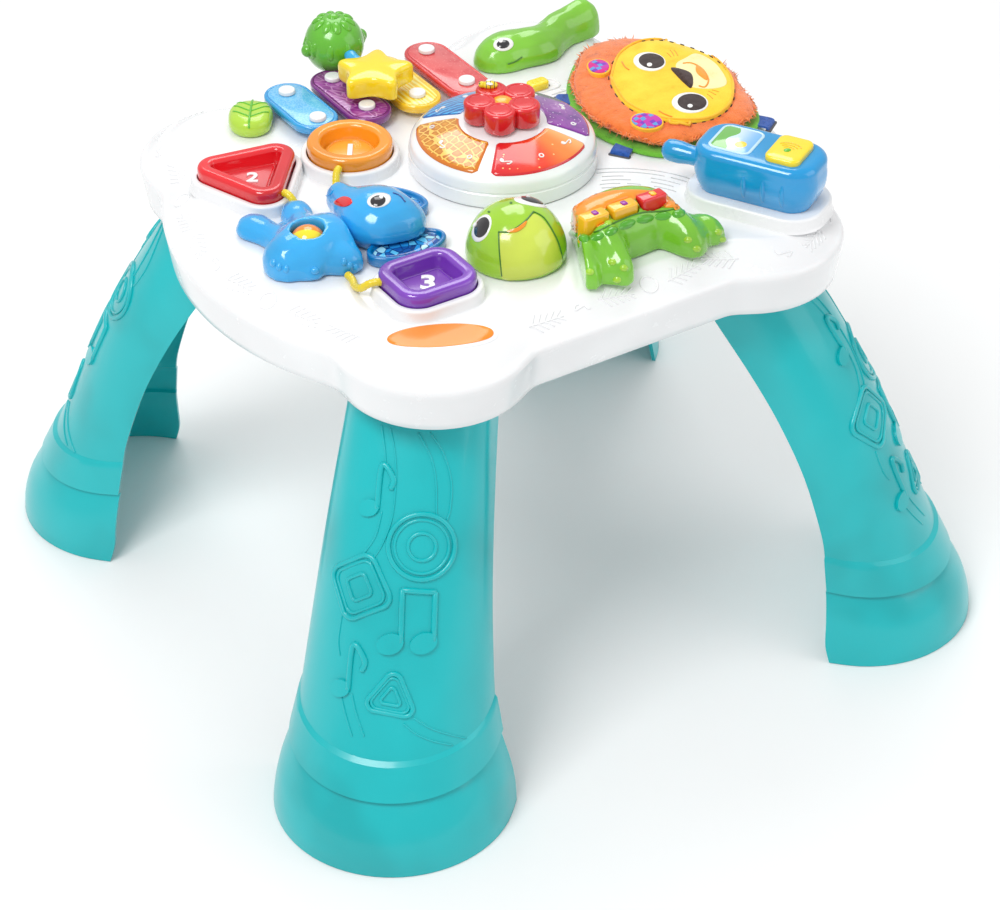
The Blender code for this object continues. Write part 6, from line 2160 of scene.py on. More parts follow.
@dataclass
class Turtle:
    """The green turtle with an orange shell, a rim band and three piano keys."""

    studio: Studio
    green: Finish = Plastic("turtle_green", (0.2, 0.56, 0.03), 0.17, 0.6, 0.01, subsurface=0.08)
    lime: Finish = Plastic("turtle_lime", (0.36, 0.66, 0.03), 0.14, 0.7, 0.01, subsurface=0.1)
    jaw: Finish = Plastic("jaw_lime", (0.62, 0.74, 0.08), 0.18, 0.6, 0.01, subsurface=0.08)
    orange: Finish = Plastic("shell_orange", (0.93, 0.3, 0.012), 0.16, 0.6, 0.01, subsurface=0.05)
    dark: Finish = Plastic("seam_green", (0.05, 0.2, 0.01), 0.3, 0.4, 0.0)
    band: Finish = Plastic("rim_green", (0.09, 0.42, 0.02), 0.16, 0.6, 0.01)
    mark: Finish = Plastic("key_mark", Hue.PLUM.value, 0.2, 0.6, 0.0)
    red: Finish = Plastic("key_red", Hue.RED.value, 0.15, 0.7, 0.01)
    amber: Finish = Plastic("key_amber", (0.95, 0.5, 0.015), 0.15, 0.7, 0.01, subsurface=0.05)

    def build(self) -> None:
        """Make the body, the head, the shell's panels, the keys and the face."""
        body = piece(
            "turtle_torso", remeshed(merged_copy("turtle_body"), 0.0012, 9), self.green,
            crease=70.0
        )
        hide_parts("turtle_body")
        head = piece(
            "turtle_face", remeshed(merged_copy("turtle_head"), 0.0011, 12), self.lime,
            crease=70.0
        )
        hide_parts("turtle_head")
        self.build_shell(Face(self.studio, skin_of(body)))
        self.build_keys()
        self.build_face(Face(self.studio, skin_of(head)))

    def build_shell(self, face: Face) -> None:
        """Orange panel over the shell, dark seams and the segmented rim."""
        panel = (
            (566, 214), (573, 203), (589, 196), (612, 191), (634, 190), (652, 191), (668, 192), (680, 198),
            (684, 205), (672, 208), (650, 208), (616, 218), (590, 230), (572, 232), (565, 224)
        )
        face.shape("shell_panel", panel, self.orange, 0.0006, 0.0)
        face.line(
            "shell_seam", ((566, 226), (580, 234), (598, 231), (616, 222), (640, 213), (664, 211), (684, 207)),
            self.dark, 0.0006, 0.1
        )
        rim = ((567, 231), (581, 239), (600, 236), (618, 228), (642, 219), (666, 216), (686, 212))
        path = spline([Vector(p) for p in rim], 4)
        for i in range(0, len(path) - 1, 3):
            a, b = path[i], path[min(i + 3, len(path) - 1)]
            middle = (a + b) / 2
            turn = math.atan2(-(b.y - a.y), b.x - a.x)
            half = ((b - a).length / 2 * 0.94, 4.2)
            face.spot(f"rim_segment_{i // 3}", middle.x, middle.y, half, self.band, 0.0003, 0.0016, turn)
        for i, (px, py) in enumerate(
            (
                (577, 262), (590, 272), (584, 283), (612, 262), (624, 268), (617, 280), (688, 240), (697, 249),
                (719, 232), (724, 240)
            )
        ):
            face.spot(f"flipper_bump_{i}", px, py, (4.2, 3.4), self.lime, 0.0002, 0.0013)

    def build_keys(self) -> None:
        """Pillow-topped keys; the end one is red with an orange strip."""
        for i in range(3):
            x, y = 0.021 + (i - 1) * 0.023, -0.137
            outline = rounded_box(0.020, 0.010, 0.0022, 10)
            top = 0.04 * 0.86 + 0.002
            sections = [(0.0, 0.016), (0.0, top - 0.0016)]
            sections += [(0.0016 - r, z) for r, z in arc(0.0, top - 0.0016, 0.0016, 0, 80, 6)]
            key_top = moved(stack(outline, sections), x, y, DECK_Z)
            finish = self.red if i == 2 else self.amber
            made = piece(
                f"key_{i + 1}_cap", key_top, finish, f"key_{i + 1}",
                50.0
            )
            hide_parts(f"piano_key_{i + 1}")
            tint = self.amber if i == 2 else self.mark
            strip = moved(
                stack(
                    rounded_box(0.004, 0.005, 0.0012, 6),
                    ((0.0, top), (0.0, top + 0.0005), (0.0004, top + 0.0008))
                ),
                x + 0.001, y, DECK_Z
            )
            piece(f"key_{i + 1}_mark", strip, tint, f"key_{i + 1}", crease=50.0)

    def build_face(self, face: Face) -> None:
        """Eyes, smile, jaw panel and its seams."""
        jaw = (
            (499, 234), (508, 234), (517, 229.5), (526, 222.5), (533, 214), (543, 220), (553, 234), (559, 249),
            (562, 263), (545, 274), (523, 279), (502, 278), (500, 255)
        )
        face.shape("turtle_jaw", jaw, self.jaw, 0.0004, 0.0)
        mouth = ((506.8, 231.8), (517, 228), (526.4, 221.4), (524, 227.3), (516, 232.4))
        face.shape("turtle_mouth", mouth, self.orange, 0.0011, 0.0004)
        face.line(
            "turtle_smile", ((498.8, 232.1), (508.6, 231.8), (517.5, 227.3), (526.4, 220.2), (533.6, 211.8)),
            self.dark, 0.0007
        )
        face.line("turtle_seam_left", ((498.8, 232), (499.6, 251), (501.8, 276)), self.dark, 0.0006)
        face.line(
            "turtle_seam_right", ((533.6, 211.8), (544.3, 218.4), (555, 235.4), (560.4, 249.6), (563, 264)),
            self.dark, 0.0006
        )
        for name, px, py, half, turn in (
            ("far", 531.0, 200.5, (0.0118, 0.0088), -0.15), ("near", 480.5, 227.5, (0.0088, 0.0098), 0.1)
        ):
            face.disc(f"turtle_eye_{name}_white", px, py, half, face.white, 0.0005, 0.0006, turn)
            face.disc(
                f"turtle_eye_{name}_pupil", px + 1.5, py, (half[0] * 0.72, half[1] * 0.72), face.black, 0.0014,
                0.0006, turn
            )
            face.disc(
                f"turtle_eye_{name}_glint", px - 3.5, py - 1.5, (0.0016, 0.0016), face.white, 0.0024, 0.0001
            )
        for i, (px, py) in enumerate(((489, 212), (511, 203))):
            face.spot(f"nostril_{i}", px, py, (1.4, 1.0), self.dark, 0.0003)


@dataclass
class LeafAndBean:
    """The puffy leaf and the long green figure of the back corners."""

    studio: Studio
    lime: Finish = Plastic("leaf_lime", Hue.PALE_LIME.value, 0.2, 0.5, 0.01, subsurface=0.1)
    green: Finish = Plastic("bean_green", (0.22, 0.58, 0.04), 0.18, 0.6, 0.01, subsurface=0.08)
    vein: Finish = Plastic("leaf_vein", Hue.GRASS.value, 0.25, 0.4, 0.0)
    dark: Finish = Plastic("seam_green", (0.05, 0.2, 0.01), 0.3, 0.4, 0.0)

    def build(self) -> None:
        """Make the leaf with its ribs, and the figure with its segments and face."""
        leaf = piece(
            "leaf_moulding", remeshed(merged_copy("leaf"), 0.0009, 10), self.lime,
            crease=70.0
        )
        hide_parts("leaf")
        skin = skin_of(leaf)
        middle = Vector((-0.107, 0.142, DECK_Z + 0.014))
        along = Vector((math.cos(math.radians(57)), math.sin(math.radians(57)), 0.0))
        across = Vector((-along.y, along.x, 0.0))
        ribs = []
        ribs.append(
            traced(skin, [middle + along * (-0.018 + 0.036 * k / 12) for k in range(13)], UP, 0.0008, 0.2)
        )
        for k in (-0.009, -0.001, 0.007):
            for side in (-1, 1):
                path = [
                    middle + along * (k + 0.009 * t) + across * side * 0.0125 * t
                    for t in [j / 7 for j in range(8)]
                ]
                ribs.append(traced(skin, path, UP, 0.0006, 0.2))
        piece("leaf_ribs", joined(ribs), self.vein, crease=70.0)
        bean = piece(
            "bean_moulding", remeshed(merged_copy("green_bean_figure"), 0.0011, 10), self.green,
            crease=70.0
        )
        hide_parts("green_bean_figure")
        face = Face(self.studio, skin_of(bean))
        face.eye("bean_eye", 503.4, 44.6, (10, 6.5), (503, 45, 6, 4), (501, 43), 0.1)
        face.line("bean_mouth", ((508, 64), (515, 61.6), (522, 57)), self.dark, 0.0006)


@dataclass
class Phone:
    """The blue play phone on its pod, with a screen, side ribs, a stub aerial and one big key."""

    x: float = 0.136
    y: float = -0.135
    turn: float = math.radians(-60)
    length: float = 0.090
    width: float = 0.050
    corner: float = 0.019
    height: float = 0.034
    pod: float = 0.009
    blue: Finish = Plastic("phone_blue", Hue.PHONE_BLUE.value, 0.14, 0.7, 0.01, subsurface=0.05)
    white: Finish = Plastic("pearl_relief", Hue.PEARL.value, 0.26, 0.3, 0.01, shade=0.98)
    yellow: Finish = Plastic("phone_yellow", Hue.YELLOW.value, 0.16, 0.6, 0.01, subsurface=0.1)
    amber: Finish = Plastic("phone_amber", (0.9, 0.5, 0.02), 0.2, 0.5, 0.0)
    green: Finish = Plastic("phone_mark", Hue.GRASS.value, 0.2, 0.5, 0.0)
    rim: Finish = Plastic("screen_rim", (0.55, 0.8, 0.93), 0.15, 0.7, 0.0)
    screen: Finish = Printed("screen_print", Hue.SKY.value, 0.06, 1.0, 0.0, pattern=screen_view)

    def put(self, bm: bmesh.types.BMesh, x: float = 0.0, y: float = 0.0, z: float = 0.0) -> bmesh.types.BMesh:
        """From the phone's own axes to the table's."""
        return moved(moved(bm, x, y, z), self.x, self.y, DECK_Z, self.turn)

    def build(self) -> None:
        """Make the pod, the case, the screen, the ribs, the aerial and the key."""
        outline = rounded_box(self.length, self.width, self.corner, 20)
        low, top = self.pod + 0.0003, self.pod + 0.0003 + self.height
        case = [
            Vector(v)
            for v in (
                (0.005, low), (0.00125, low + self.height * 0.25), (0.0, low + self.height * 0.5),
                (0.0006, low + self.height * 0.72)
            )
        ]
        sections = [(v.x, v.y) for v in spline(case, 6)]
        sections += [(0.0067 - r, z) for r, z in arc(0.0, top - 0.0062, 0.0061, 8, 84, 12)]
        sections += [(0.0085, top)]
        body = self.put(stack(outline, sections))
        side, z = -0.010, self.pod + 0.020
        path = [Vector((-0.0645 + 0.035 * k / 10, side, z)) for k in range(11)]
        aerial = self.put(
            tube(
                path, [0.0074, 0.0079, 0.0079, 0.0078, 0.0072, 0.0068, 0.0068, 0.0072, 0.0078, 0.0079, 0.0079],
                40
            )
        )
        ball_tip = self.put(ball(Vector((-0.0568, side, z)), (0.0079, 0.0079, 0.0079), detail=40))
        made = piece(
            "phone_case", joined([body, aerial, ball_tip]), self.blue, crease=50.0
        )
        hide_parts("phone")
        self.build_pod(outline)
        self.build_screen(top)
        self.build_ribs(skin_of(made))
        self.build_key(top)

    def build_pod(self, outline: Outline) -> None:
        """The pod that the phone stands on."""
        h = self.pod
        sections = [(-0.0062, -0.001), (-0.0054, 0.0004), (-0.005, 0.0015), (-0.0044, h - 0.0024)]
        sections += [(-0.0024 - r, z) for r, z in arc(0.0, h - 0.002, 0.002, 0, 90, 7)] + [(0.004, h)]
        piece("phone_pod", self.put(stack(outline, sections)), self.white, crease=50.0)

    def build_screen(self, top: float) -> None:
        """The screen in its pale rim, with shares as its UVs."""
        frame_outline = rounded_box(0.031, 0.034, 0.006, 10)
        rim = stack(
            frame_outline,
            (
                (0.0, top - 0.002), (0.0, top + 0.0002), (0.0006, top + 0.0007), (0.0016, top + 0.0007),
                (0.002, top + 0.0003)
            )
        )
        piece("screen_frame", self.put(rim, -0.0185), self.rim, crease=50.0)
        glass = stack(frame_outline, ((0.0019, top - 0.001), (0.0019, top + 0.0004), (0.0026, top + 0.0006)))
        layer = glass.loops.layers.uv.new("UVMap")
        for face in glass.faces:
            for loop in face.loops:
                loop[layer].uv = (0.5 - loop.vert.co.y / 0.030, loop.vert.co.x / 0.027 + 0.5)
        piece("screen_glass", self.put(glass, -0.0185), self.screen, crease=50.0)

    def build_ribs(self, skin: BVHTree) -> None:
        """Three upright ribs on each long side."""
        parts = []
        for x in (-0.002, 0.012, 0.026):
            for side in (-1, 1):
                middle = Matrix.Rotation(self.turn, 3, "Z") @ Vector(
                    (x, side * self.width / 2, 0.0)
                ) + Vector((self.x, self.y, 0.0))
                out = Matrix.Rotation(self.turn, 3, "Z") @ Vector((0, side, 0))
                place = Vector((middle.x, middle.y, DECK_Z + self.pod + 0.014))
                parts.append(conforming(skin, place, out, oval(0.0036, 0.018, 32), UP, 0.0002, 0.0009, 5))
        piece("phone_ribs", joined(parts), self.blue, crease=60.0)

    def build_key(self, top: float) -> None:
        """The key: a rounded slab with arcs in relief and a green mark."""
        outline = rounded_box(0.025, 0.034, 0.006, 12)
        crown = top + 0.004
        sections = [(0.0, top - 0.008), (0.0, crown - 0.0022)]
        sections += [
            (0.002 - r, z) for r, z in arc(0.0, crown - 0.002, 0.002, 0, 85, 7)
        ] + [(0.005, crown + 0.0002)]
        key = self.put(stack(outline, sections), 0.020)
        made = piece("phone_key_cap", key, self.yellow, "phone_button", 50.0)
        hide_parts("phone_key")
        skin = skin_of(made)
        turn = Matrix.Rotation(self.turn, 3, "Z")
        middle = turn @ Vector((0.020, -0.004, 0.0)) + Vector((self.x, self.y, DECK_Z + crown))
        arcs = []
        for r in (0.0045, 0.0072, 0.0099):
            path = [
                middle + turn @ Vector((r * math.cos(a), r * math.sin(a), 0))
                for a in [math.radians(40 + 100 * k / 12) for k in range(13)]
            ]
            arcs.append(traced(skin, path, UP, 0.0004, 0.2))
        piece("key_arcs", joined(arcs), self.amber, "phone_button", crease=60.0)
        spot = conforming(skin, middle, UP, oval(0.0052, 0.0042, 32), Vector((0, 1, 0)), 0.0003, 0.0006, 4)
        piece("key_spot", spot, self.green, "phone_button", crease=60.0)


@dataclass
class LionPage:
    """The soft page: a padded mane with a face, over a green backing page on blue straps."""

    studio: Studio
    x: float = 0.157
    y: float = 0.014
    reach: float = 0.064
    low: float = DECK_Z + 0.0042
    thickness: float = 0.013
    tufts_per_area: float = 450000.0
    tuft_length: float = 0.0065
    tuft_width: float = 0.0011
    bare: float = 0.0016
    # Each cloth's second colour is painted shade for the roots of its pile.
    pile: Finish = Cloth("mane_pile", (0.93, 0.24, 0.045), (0.78, 0.13, 0.02), 420.0, 70.0, 0.0003, 0.5)
    fur: Finish = Cloth("mane_plush", (0.86, 0.19, 0.03), (0.6, 0.09, 0.012), 1100.0, 140.0, 0.0012, 0.5)
    face_cloth: Finish = Cloth("face_cloth", (0.95, 0.6, 0.03), (0.9, 0.45, 0.012), 1700.0, 60.0, 0.0003, 0.2)
    piping: Finish = Cloth("piping_yellow", (0.95, 0.5, 0.03), (0.85, 0.36, 0.01), 1700.0, 90.0, 0.0003, 0.2)
    motley: Finish = Cloth(
        "motley_cloth", (0.5, 0.05, 0.4), (0.2, 0.03, 0.3), 1700.0, 90.0, 0.0003, 0.2, patchwork
    )
    cream: Finish = Cloth("muzzle_cloth", (0.95, 0.82, 0.42), (0.92, 0.72, 0.3), 1700.0, 60.0, 0.0003, 0.2)
    orange: Finish = Cloth("ear_cloth", (0.9, 0.3, 0.02), (0.6, 0.13, 0.01), 1700.0, 90.0, 0.0005, 0.3)
    brown: Finish = Cloth(
        "thread_brown", (0.055, 0.03, 0.028), (0.03, 0.015, 0.013), 2500.0, 200.0, 0.0003, 0.2
    )
    white: Finish = Cloth("eye_cloth", (0.86, 0.86, 0.84), (0.7, 0.7, 0.68), 2500.0, 200.0, 0.0002, 0.1)
    black: Finish = Cloth(
        "pupil_cloth", (0.045, 0.03, 0.028), (0.025, 0.015, 0.014), 2500.0, 200.0, 0.0002, 0.2
    )
    green: Finish = Cloth("backing_cloth", (0.16, 0.5, 0.04), (0.07, 0.3, 0.015), 1500.0, 80.0, 0.0006, 0.3)
    strap: Finish = Cloth("strap_webbing", (0.02, 0.09, 0.38), (0.008, 0.04, 0.2), 1300.0, 300.0, 0.0009, 0.3)

    SHARES = (1.0, 1.0, 1.22, 1.33, 1.1, 0.98, 0.99, 1.08, 1.22, 1.13, 1.2, 0.98)

    def build(self) -> None:
        """Make the padded mane, the backing page and the face."""
        page = self.padded_page(polar_curve(self.reach - 0.002, self.SHARES, 180))
        made = piece("mane_pad", page, self.fur, "page", 80.0)
        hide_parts("lion_page")
        self.build_backing()
        self.build_face(Face(self.studio, skin_of(made), "page"))
        self.build_tufts(made)

    def padded_page(self, outline: Outline) -> bmesh.types.BMesh:
        """Two sheets of one outline, sewn at the edge and blown up by stuffing."""
        h = self.thickness
        rings = []
        for share, up in (
            (0.97, 0.14), (0.99, 0.24), (1.0, 0.36), (1.0, 0.46), (0.985, 0.6), (0.95, 0.74), (0.89, 0.85),
            (0.8, 0.92), (0.68, 0.96), (0.5, 0.985), (0.3, 1.0), (0.1, 1.0)
        ):
            rings.append([Vector((p.x * share, p.y * share, h * up)) for p in outline])
        under = [
            [Vector((p.x * share, p.y * share, h * up)) for p in outline]
            for share, up in ((0.1, 0.0), (0.5, 0.0), (0.85, 0.01), (0.93, 0.05))
        ]
        page = moved(loft(under + rings), self.x, self.y, self.low)
        return self.settled(remeshed(page, 0.0026, 3))

    def settled(self, page: bmesh.types.BMesh) -> bmesh.types.BMesh:
        """Let the sewn page settle under its stuffing, then soften it by smoothing and subdividing.

        Args:
            page: The page before it is stuffed.

        Returns:
            The stuffed page, held inside its first box.
        """
        mesh = bpy.data.meshes.new("stuffing")
        page.to_mesh(mesh)
        rest = [v.co.copy() for v in mesh.vertices]
        page.free()
        held = linked("stuffing", mesh)
        cloth = held.modifiers.new("cloth", "CLOTH")
        cloth.settings.quality = 5
        cloth.settings.mass = 0.2
        cloth.settings.use_pressure = True
        cloth.settings.uniform_pressure_force = 3.0
        cloth.settings.tension_stiffness = 25.0
        cloth.settings.compression_stiffness = 15.0
        cloth.settings.bending_stiffness = 0.6
        cloth.settings.effector_weights.gravity = 0.0
        cloth.point_cache.frame_start = 1
        cloth.point_cache.frame_end = 14
        scene = bpy.context.scene
        for step in range(1, 15):
            scene.frame_set(step)
        graph = bpy.context.evaluated_depsgraph_get()
        moved_points = [v.co.copy() for v in held.evaluated_get(graph).data.vertices]
        scene.frame_set(1)
        top = max(p.z for p in rest)
        made = bmesh.new()
        made.from_mesh(mesh)
        bpy.data.objects.remove(held, do_unlink=True)
        made.verts.ensure_lookup_table()
        for vert, old, new in zip(made.verts, rest, moved_points):
            step = new - old
            step = step.normalized() * 0.0022 if step.length > 0.0022 else step
            vert.co = old + step
            vert.co.z = min(max(vert.co.z, self.low), top + 0.0004)
        bmesh.ops.smooth_vert(
            made, verts=made.verts, factor=0.4, use_axis_x=True, use_axis_y=True, use_axis_z=True
        )
        bmesh.ops.subdivide_edges(made, edges=made.edges, cuts=1, use_grid_fill=True, smooth=0.6)
        return made

    def build_backing(self) -> None:
        """The green page below with a stitched edge, and four straps into the deck."""
        outline = inset(polar_curve(self.reach, self.SHARES, 180), -0.002)
        sections = [
            (0.0014, 0.0003), (0.0004, 0.0008), (0.0, 0.0019), (0.0004, 0.003), (0.0014, 0.0037),
            (0.004, 0.0039)
        ]
        made = piece(
            "backing_pad", moved(stack(outline, sections), self.x, self.y, DECK_Z), self.green,
            crease=80.0
        )
        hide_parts("backing_page")
        straps, strap_slot_shades = [], []
        for angle in (147, 215, 305, 50):
            a = math.radians(angle)
            ray = direction(a)
            edge = max(outline, key=lambda p: p.normalized().dot(ray))
            path = [
                Vector((-0.016, 0.0021)), Vector((0.0, 0.0024)), Vector((0.0062, 0.0023)),
                Vector((0.0079, 0.0012)), Vector((0.0083, -0.001))
            ]
            path = spline(path, 5)
            rings = []
            for k, p in enumerate(path):
                q = path[min(k + 1, len(path) - 1)] - path[max(k - 1, 0)]
                n = Vector((-q.y, q.x)).normalized() * 0.0008
                ring = []
                for w, t in ((-0.007, -1), (0.007, -1), (0.007, 1), (-0.007, 1)):
                    ring.append(Vector((p.x + n.x * t, w, p.y + n.y * t)))
                rings.append(ring)
            straps.append(moved(loft(rings), self.x + edge.x, self.y + edge.y, DECK_Z, a))
            # Dark plates where the straps go into the deck: painted shade of the slots.
            frame_outline = rounded_box(0.0042, 0.0165, 0.0016, 6)
            strap_slot_shade = stack(frame_outline, ((0.0, -0.0004), (0.0, 0.0004), (0.0003, 0.0006)))
            strap_slot_shades.append(moved(moved(strap_slot_shade, 0.0083), self.x + edge.x, self.y + edge.y, DECK_Z, a))
        piece("straps", joined(straps), self.strap, crease=40.0)
        piece("strap_slots", joined(strap_slot_shades), Plastic("slot_shadow", Hue.SMOKE.value, 0.8, 0.0), crease=40.0)

    def build_face(self, face: Face) -> None:
        """The padded face, muzzle, ears, eyes, nose, smile and stitches."""
        oval_face = [
            (611, 80), (618, 58), (636, 45), (660, 42), (690, 49), (716, 62), (731, 82), (730, 104), (712, 118),
            (686, 122), (655, 118), (626, 104)
        ]
        face.shape("lion_face", oval_face, self.face_cloth, 0.0022, 0.0018)
        for i, (px, py, half) in enumerate(((599, 70, (10, 6.5)), (647, 124, (15, 7)))):
            face.spot(
                f"lion_ear_edge_{i}", px, py, (half[0] + 1.6, half[1] + 1.4), self.piping, 0.0028, 0.0002, -0.1
            )
            face.spot(f"lion_ear_{i}", px, py, half, self.motley, 0.0034, 0.0006, -0.1)
        upper = Face(self.studio, self.skin_after("lion_face"), "page")
        upper.shape(
            "lion_muzzle",
            ((676, 66), (686, 58), (697, 54), (713, 62), (723, 74), (726, 84), (716, 88), (700, 88), (688, 84)),
            self.cream, 0.0005, 0.0012
        )
        over = Face(self.studio, self.skin_after("lion_muzzle"), "page")
        for name, px, py, half, turn in (("a", 649.5, 61.8, (16, 9), -0.1), ("b", 690, 103, (18, 10), -0.05)):
            upper.spot(f"lion_eye_white_{name}", px, py, half, self.white, 0.0006, 0.0003, turn)
            upper.spot(
                f"lion_pupil_{name}", px + 2, py, (half[0] * 0.8, half[1] * 0.8), self.black, 0.0011, 0.0003,
                turn
            )
            upper.spot(f"lion_glint_{name}", px, py + 4.5, (2.6, 1.7), self.white, 0.0016, 0.0001)
        over.shape(
            "lion_nose", ((671, 68.4), (681, 69.5), (691, 74), (693, 82), (690.6, 88.0), (684, 83), (677, 76)),
            self.brown, 0.0007, 0.0012
        )
        over.shape(
            "lion_tongue", ((697, 66), (704, 71), (707, 80), (700, 76), (696, 71)), self.orange, 0.0006, 0.0004
        )
        over.line(
            "lion_smile", ((683, 63.5), (690, 63), (697, 65.5), (704, 71), (708.5, 80), (705, 87), (699, 86)),
            self.orange, 0.0006
        )
        upper.line("lion_brow_a", ((622, 62), (625, 67), (629, 70)), self.orange, 0.0006)
        upper.line("lion_brow_b", ((659, 111), (664, 114), (672, 117)), self.orange, 0.0006)
        for i, (x0, y0, x1, y1) in enumerate(
            (
                (670, 50, 674, 56), (674, 50, 678, 56), (667, 53, 671, 57), (708, 91, 716, 95),
                (707, 94, 713, 99), (712, 90, 719, 92)
            )
        ):
            over.line(
                f"lion_whisker_{i}", ((x0, y0), ((x0 + x1) / 2 + 0.4, (y0 + y1) / 2), (x1, y1)), self.orange,
                0.0003
            )
        piping = [Vector(p) for p in oval_face]
        face.line("lion_piping", [tuple(v) for v in piping + piping[:1]], self.piping, 0.001, 2.2)
        self.stitch(upper, oval_face)

    def build_tufts(self, page: bpy.types.Object) -> None:
        """Curved tufts of pile that lie outwards over the mane, clear of the sewn patches."""
        chance = random.Random(11)
        bm = bmesh.new()
        bmesh.ops.create_cone(bm, segments=3, radius1=0.5, radius2=0.36, depth=0.5, cap_ends=False)
        tip = bmesh.ops.extrude_edge_only(
            bm, edges=[e for e in bm.edges if e.is_boundary and e.verts[0].co.z > 0]
        )["geom"]
        tip = [v for v in tip if isinstance(v, bmesh.types.BMVert)]
        bmesh.ops.translate(bm, vec=(0.25, 0.0, 0.5), verts=tip)
        bmesh.ops.pointmerge(bm, verts=tip, merge_co=(0.35, 0.0, 0.75))
        tuft = bpy.data.meshes.new("tuft")
        bm.to_mesh(tuft)
        bm.free()
        keep_off = [
            BVHTree.FromPolygons([v.co for v in o.data.vertices], [p.vertices for p in o.data.polygons])
            for o in bpy.data.objects if o.name.startswith("lion_")
        ]
        middle, _ = self.studio.hit(skin_of(page), 672, 84)
        whole = bmesh.new()
        for face in page.data.polygons:
            share = face.area * self.tufts_per_area
            while share > 0 and face.normal.z > -0.25:
                share -= 1.0
                if share < 0 and chance.random() > share + 1.0:
                    break
                spread = [chance.uniform(-0.5, 0.5) for _ in range(2)]
                side = face.normal.orthogonal().normalized()
                place = face.center + (
                    side * spread[0] + face.normal.cross(side) * spread[1]
                ) * math.sqrt(face.area)
                if any(tree.find_nearest(place, self.bare)[0] is not None for tree in keep_off):
                    continue
                flat = Vector((place.x - middle.x, place.y - middle.y, 0.0)).normalized()
                flat = Matrix.Rotation(chance.gauss(0.0, 0.45), 3, "Z") @ flat
                along = (flat - face.normal * flat.dot(face.normal)).normalized()
                aim = (along + face.normal * chance.uniform(0.18, 0.5)).normalized()
                across = aim.cross(face.normal).normalized()
                length = self.tuft_length * chance.uniform(0.6, 1.15)
                width = self.tuft_width * chance.uniform(0.7, 1.2)
                axes = Matrix((across.cross(aim) * length * 0.3, across * width, aim * length)).transposed()
                matrix = Matrix.Translation(place + aim * length * 0.2) @ axes.to_4x4()
                tuft.transform(matrix)
                whole.from_mesh(tuft)
                tuft.transform(matrix.inverted())
        bpy.data.meshes.remove(tuft)
        piece("mane_tufts", whole, self.pile, "page", crease=180.0)

    def skin_after(self, name: str) -> BVHTree:
        """The surface once a pad is on it."""
        bm = bmesh.new()
        bm.from_mesh(bpy.data.objects["mane_pad"].data)
        for pad in ("lion_face", name):
            if bpy.data.objects.get(pad):
                bm.from_mesh(bpy.data.objects[pad].data)
        tree = BVHTree.FromBMesh(bm)
        bm.free()
        return tree

    def stitch(self, face: Face, outline: Sequence[tuple[float, float]]) -> None:
        """Short stitches round the face's edge."""
        path = spline([Vector(p) for p in outline], 6, closed=True)
        middle = sum(path, Vector((0.0, 0.0))) / len(path)
        parts = []
        for i in range(0, len(path) - 1, 2):
            ends = [middle + (path[i + k] - middle) * 1.035 for k in (0, 1)]
            if any(not 560 < e.x < 790 for e in ends):
                continue
            points = []
            for t in (0.0, 0.35, 0.7):
                p = ends[0].lerp(ends[1], t)
                place, normal = face.studio.hit(face.skin, p.x, p.y)
                points.append(place + normal * 0.0003)
            parts.append(tube(points, 0.00045, 6))
        piece("lion_stitches", joined(parts), self.brown, "page", crease=60.0)


@dataclass
class VolumeSlider:
    """The yellow slider knob in its marked channel."""

    x: float = 0.096
    y: float = 0.080
    yellow: Finish = Plastic("slider_yellow", Hue.YELLOW.value, 0.2, 0.5, 0.01, subsurface=0.1)
    white: Finish = Plastic("pearl_relief", Hue.PEARL.value, 0.26, 0.3, 0.01, shade=0.98)
    # Painted shade for the slot.
    dark: Finish = Plastic("slot_shadow", Hue.SMOKE.value, 0.8, 0.0)

    def build(self) -> None:
        """Make the knob with grip ridges, the channel's lip and a dark plate of painted shade for the slot."""
        outline = rounded_box(0.016, 0.010, 0.0033, 10)
        top = 0.0061
        sections = [(0.0004, 0.0003), (0.0, 0.0009), (0.0, top - 0.0016)]
        sections += [(0.0015 - r, z) for r, z in arc(0.0, top - 0.0015, 0.0015, 0, 85, 6)] + [(0.003, top)]
        made = piece(
            "slider_knob", moved(stack(outline, sections), self.x, self.y, DECK_Z), self.yellow, "volume_knob",
            50.0
        )
        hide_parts("volume_slider")
        ridges = [
            moved(
                ball(Vector((0, 0, 0)), (0.0006, 0.0034, 0.0005), detail=16), self.x + dx, self.y, DECK_Z + top
            )
            for dx in (-0.0035, 0.0, 0.0035)
        ]
        piece("slider_ridges", joined(ridges), self.yellow, "volume_knob", crease=60.0)
        # A dark plate on the deck: painted shade in place of the slot's opening.
        slot = stack(rounded_box(0.0205, 0.0042, 0.0015, 6), ((0.0, -0.0006), (0.0, 0.0001), (0.0002, 0.0002)))
        piece("slider_slot", moved(slot, self.x, self.y, DECK_Z), self.dark)
        lip = [Vector((p.x, p.y, 0.0002)) for p in rounded_box(0.034, 0.0145, 0.0055, 10)]
        piece("slider_lip", moved(tube(lip + lip[:2], 0.0007, 8), self.x, self.y, DECK_Z), self.white)


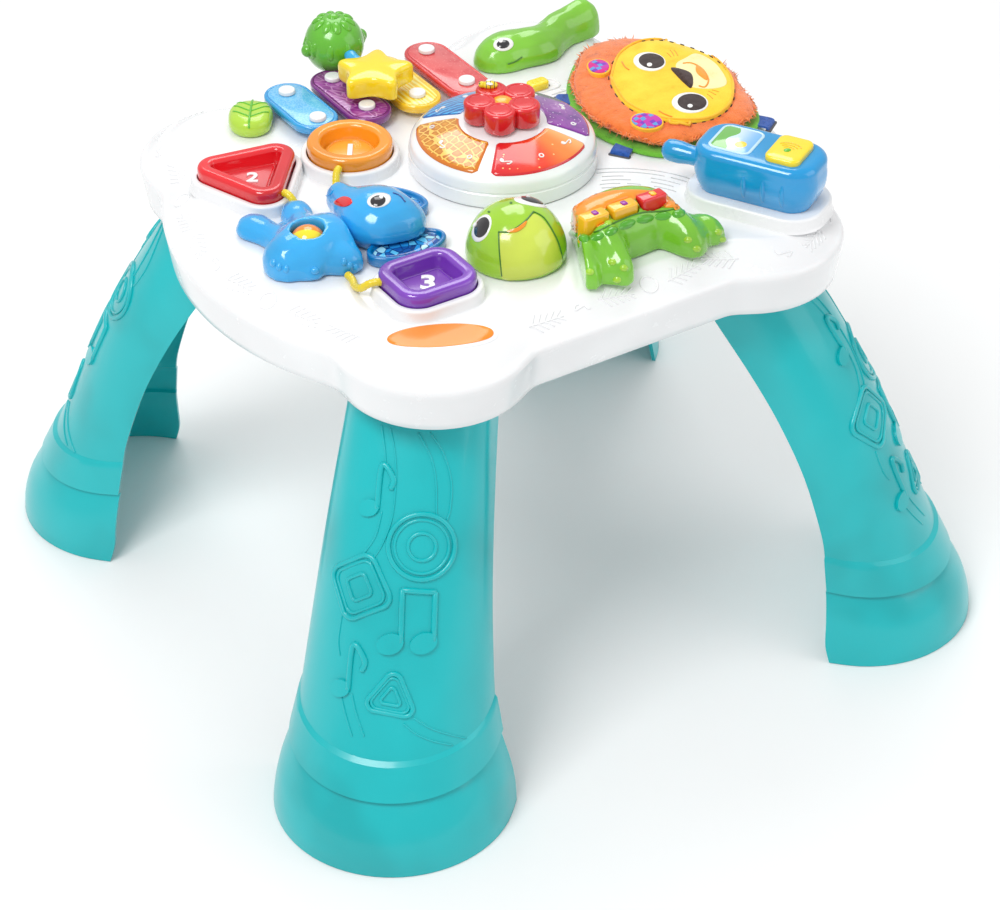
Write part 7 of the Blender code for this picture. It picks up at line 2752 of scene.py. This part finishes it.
@dataclass
class Underside:
    """What a turned-over table shows: cover, door, screws, and the parts inside."""

    white: Finish = Plastic("cover_white", Hue.PEARL.value, 0.4, 0.1, 0.03, shade=0.95)
    steel: Finish = Metal("screw_steel")
    dark: Finish = Plastic("cell_dark", Hue.SMOKE.value, 0.4, 0.2)
    board: Finish = Plastic("board_green", Hue.BOARD.value, 0.35, 0.3, 0.02)

    def build(self) -> None:
        """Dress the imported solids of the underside."""
        for node in ("base_cover", "battery_door"):
            dress(node, self.white)
        for node in ("battery_door_screw", "base_screw_1", "base_screw_2", "base_screw_3", "base_screw_4"):
            dress(node, self.steel)
        for node in ("battery_1", "battery_2", "battery_3", "speaker"):
            dress(node, self.dark)
        dress("circuit_board", self.board)


def ring_buttons() -> list[RingButton]:
    """The three ring buttons with their outlines and colours."""
    corners = []
    for i in range(3):
        angle = math.radians(90 + 120 * i)
        corners.append(direction(angle) * 0.052)
    orange = Plastic("ring_orange", (0.95, 0.33, 0.015), 0.13, 0.7, 0.01, subsurface=0.06)
    red = Plastic("ring_red", (0.76, 0.012, 0.02), 0.13, 0.7, 0.01, subsurface=0.04)
    purple = Plastic("ring_purple", (0.2, 0.045, 0.48), 0.13, 0.7, 0.01, subsurface=0.04)
    floors = (
        Plastic("floor_orange", (0.9, 0.42, 0.04), 0.3, 0.3, 0.02),
        Plastic("floor_red", (0.62, 0.02, 0.03), 0.3, 0.3, 0.02),
        Plastic("floor_purple", (0.27, 0.1, 0.52), 0.3, 0.3, 0.02),
    )
    return [
        RingButton("circle", "1", circle(0.030, 128), -0.072, 0.062, 0.0, orange, floors[0], "orange_plastic"),
        RingButton(
            "triangle", "2", rounded_polygon(corners, 0.014, 24), -0.147, 0.066, math.radians(51), red,
            floors[1], "red_plastic", number_size=0.012
        ),
        RingButton(
            "square", "3", rounded_box(0.058, 0.051, 0.016, 20), -0.115, -0.113, 0.0, purple, floors[2],
            "purple_plastic"
        ),
    ]


def main() -> None:
    """Dress the whole table and light it."""
    logging.basicConfig(level=logging.INFO, format="%(name)s %(message)s")
    studio = Studio()
    studio.build()
    Tabletop().build()
    for name, heading in (("leg_front", 225.0), ("leg_right", 315.0), ("leg_back", 45.0), ("leg_left", 135.0)):
        Leg(name, heading).build(studio)
    LightDome().build()
    Flower().build()
    for button in ring_buttons():
        button.build()
    Strings().build()
    Xylophone().build()
    Mallet().build()
    Elephant(studio).build()
    Turtle(studio).build()
    LeafAndBean(studio).build()
    Phone().build()
    LionPage(studio).build()
    VolumeSlider().build()
    Underside().build()


if __name__ == "__main__":
    main()
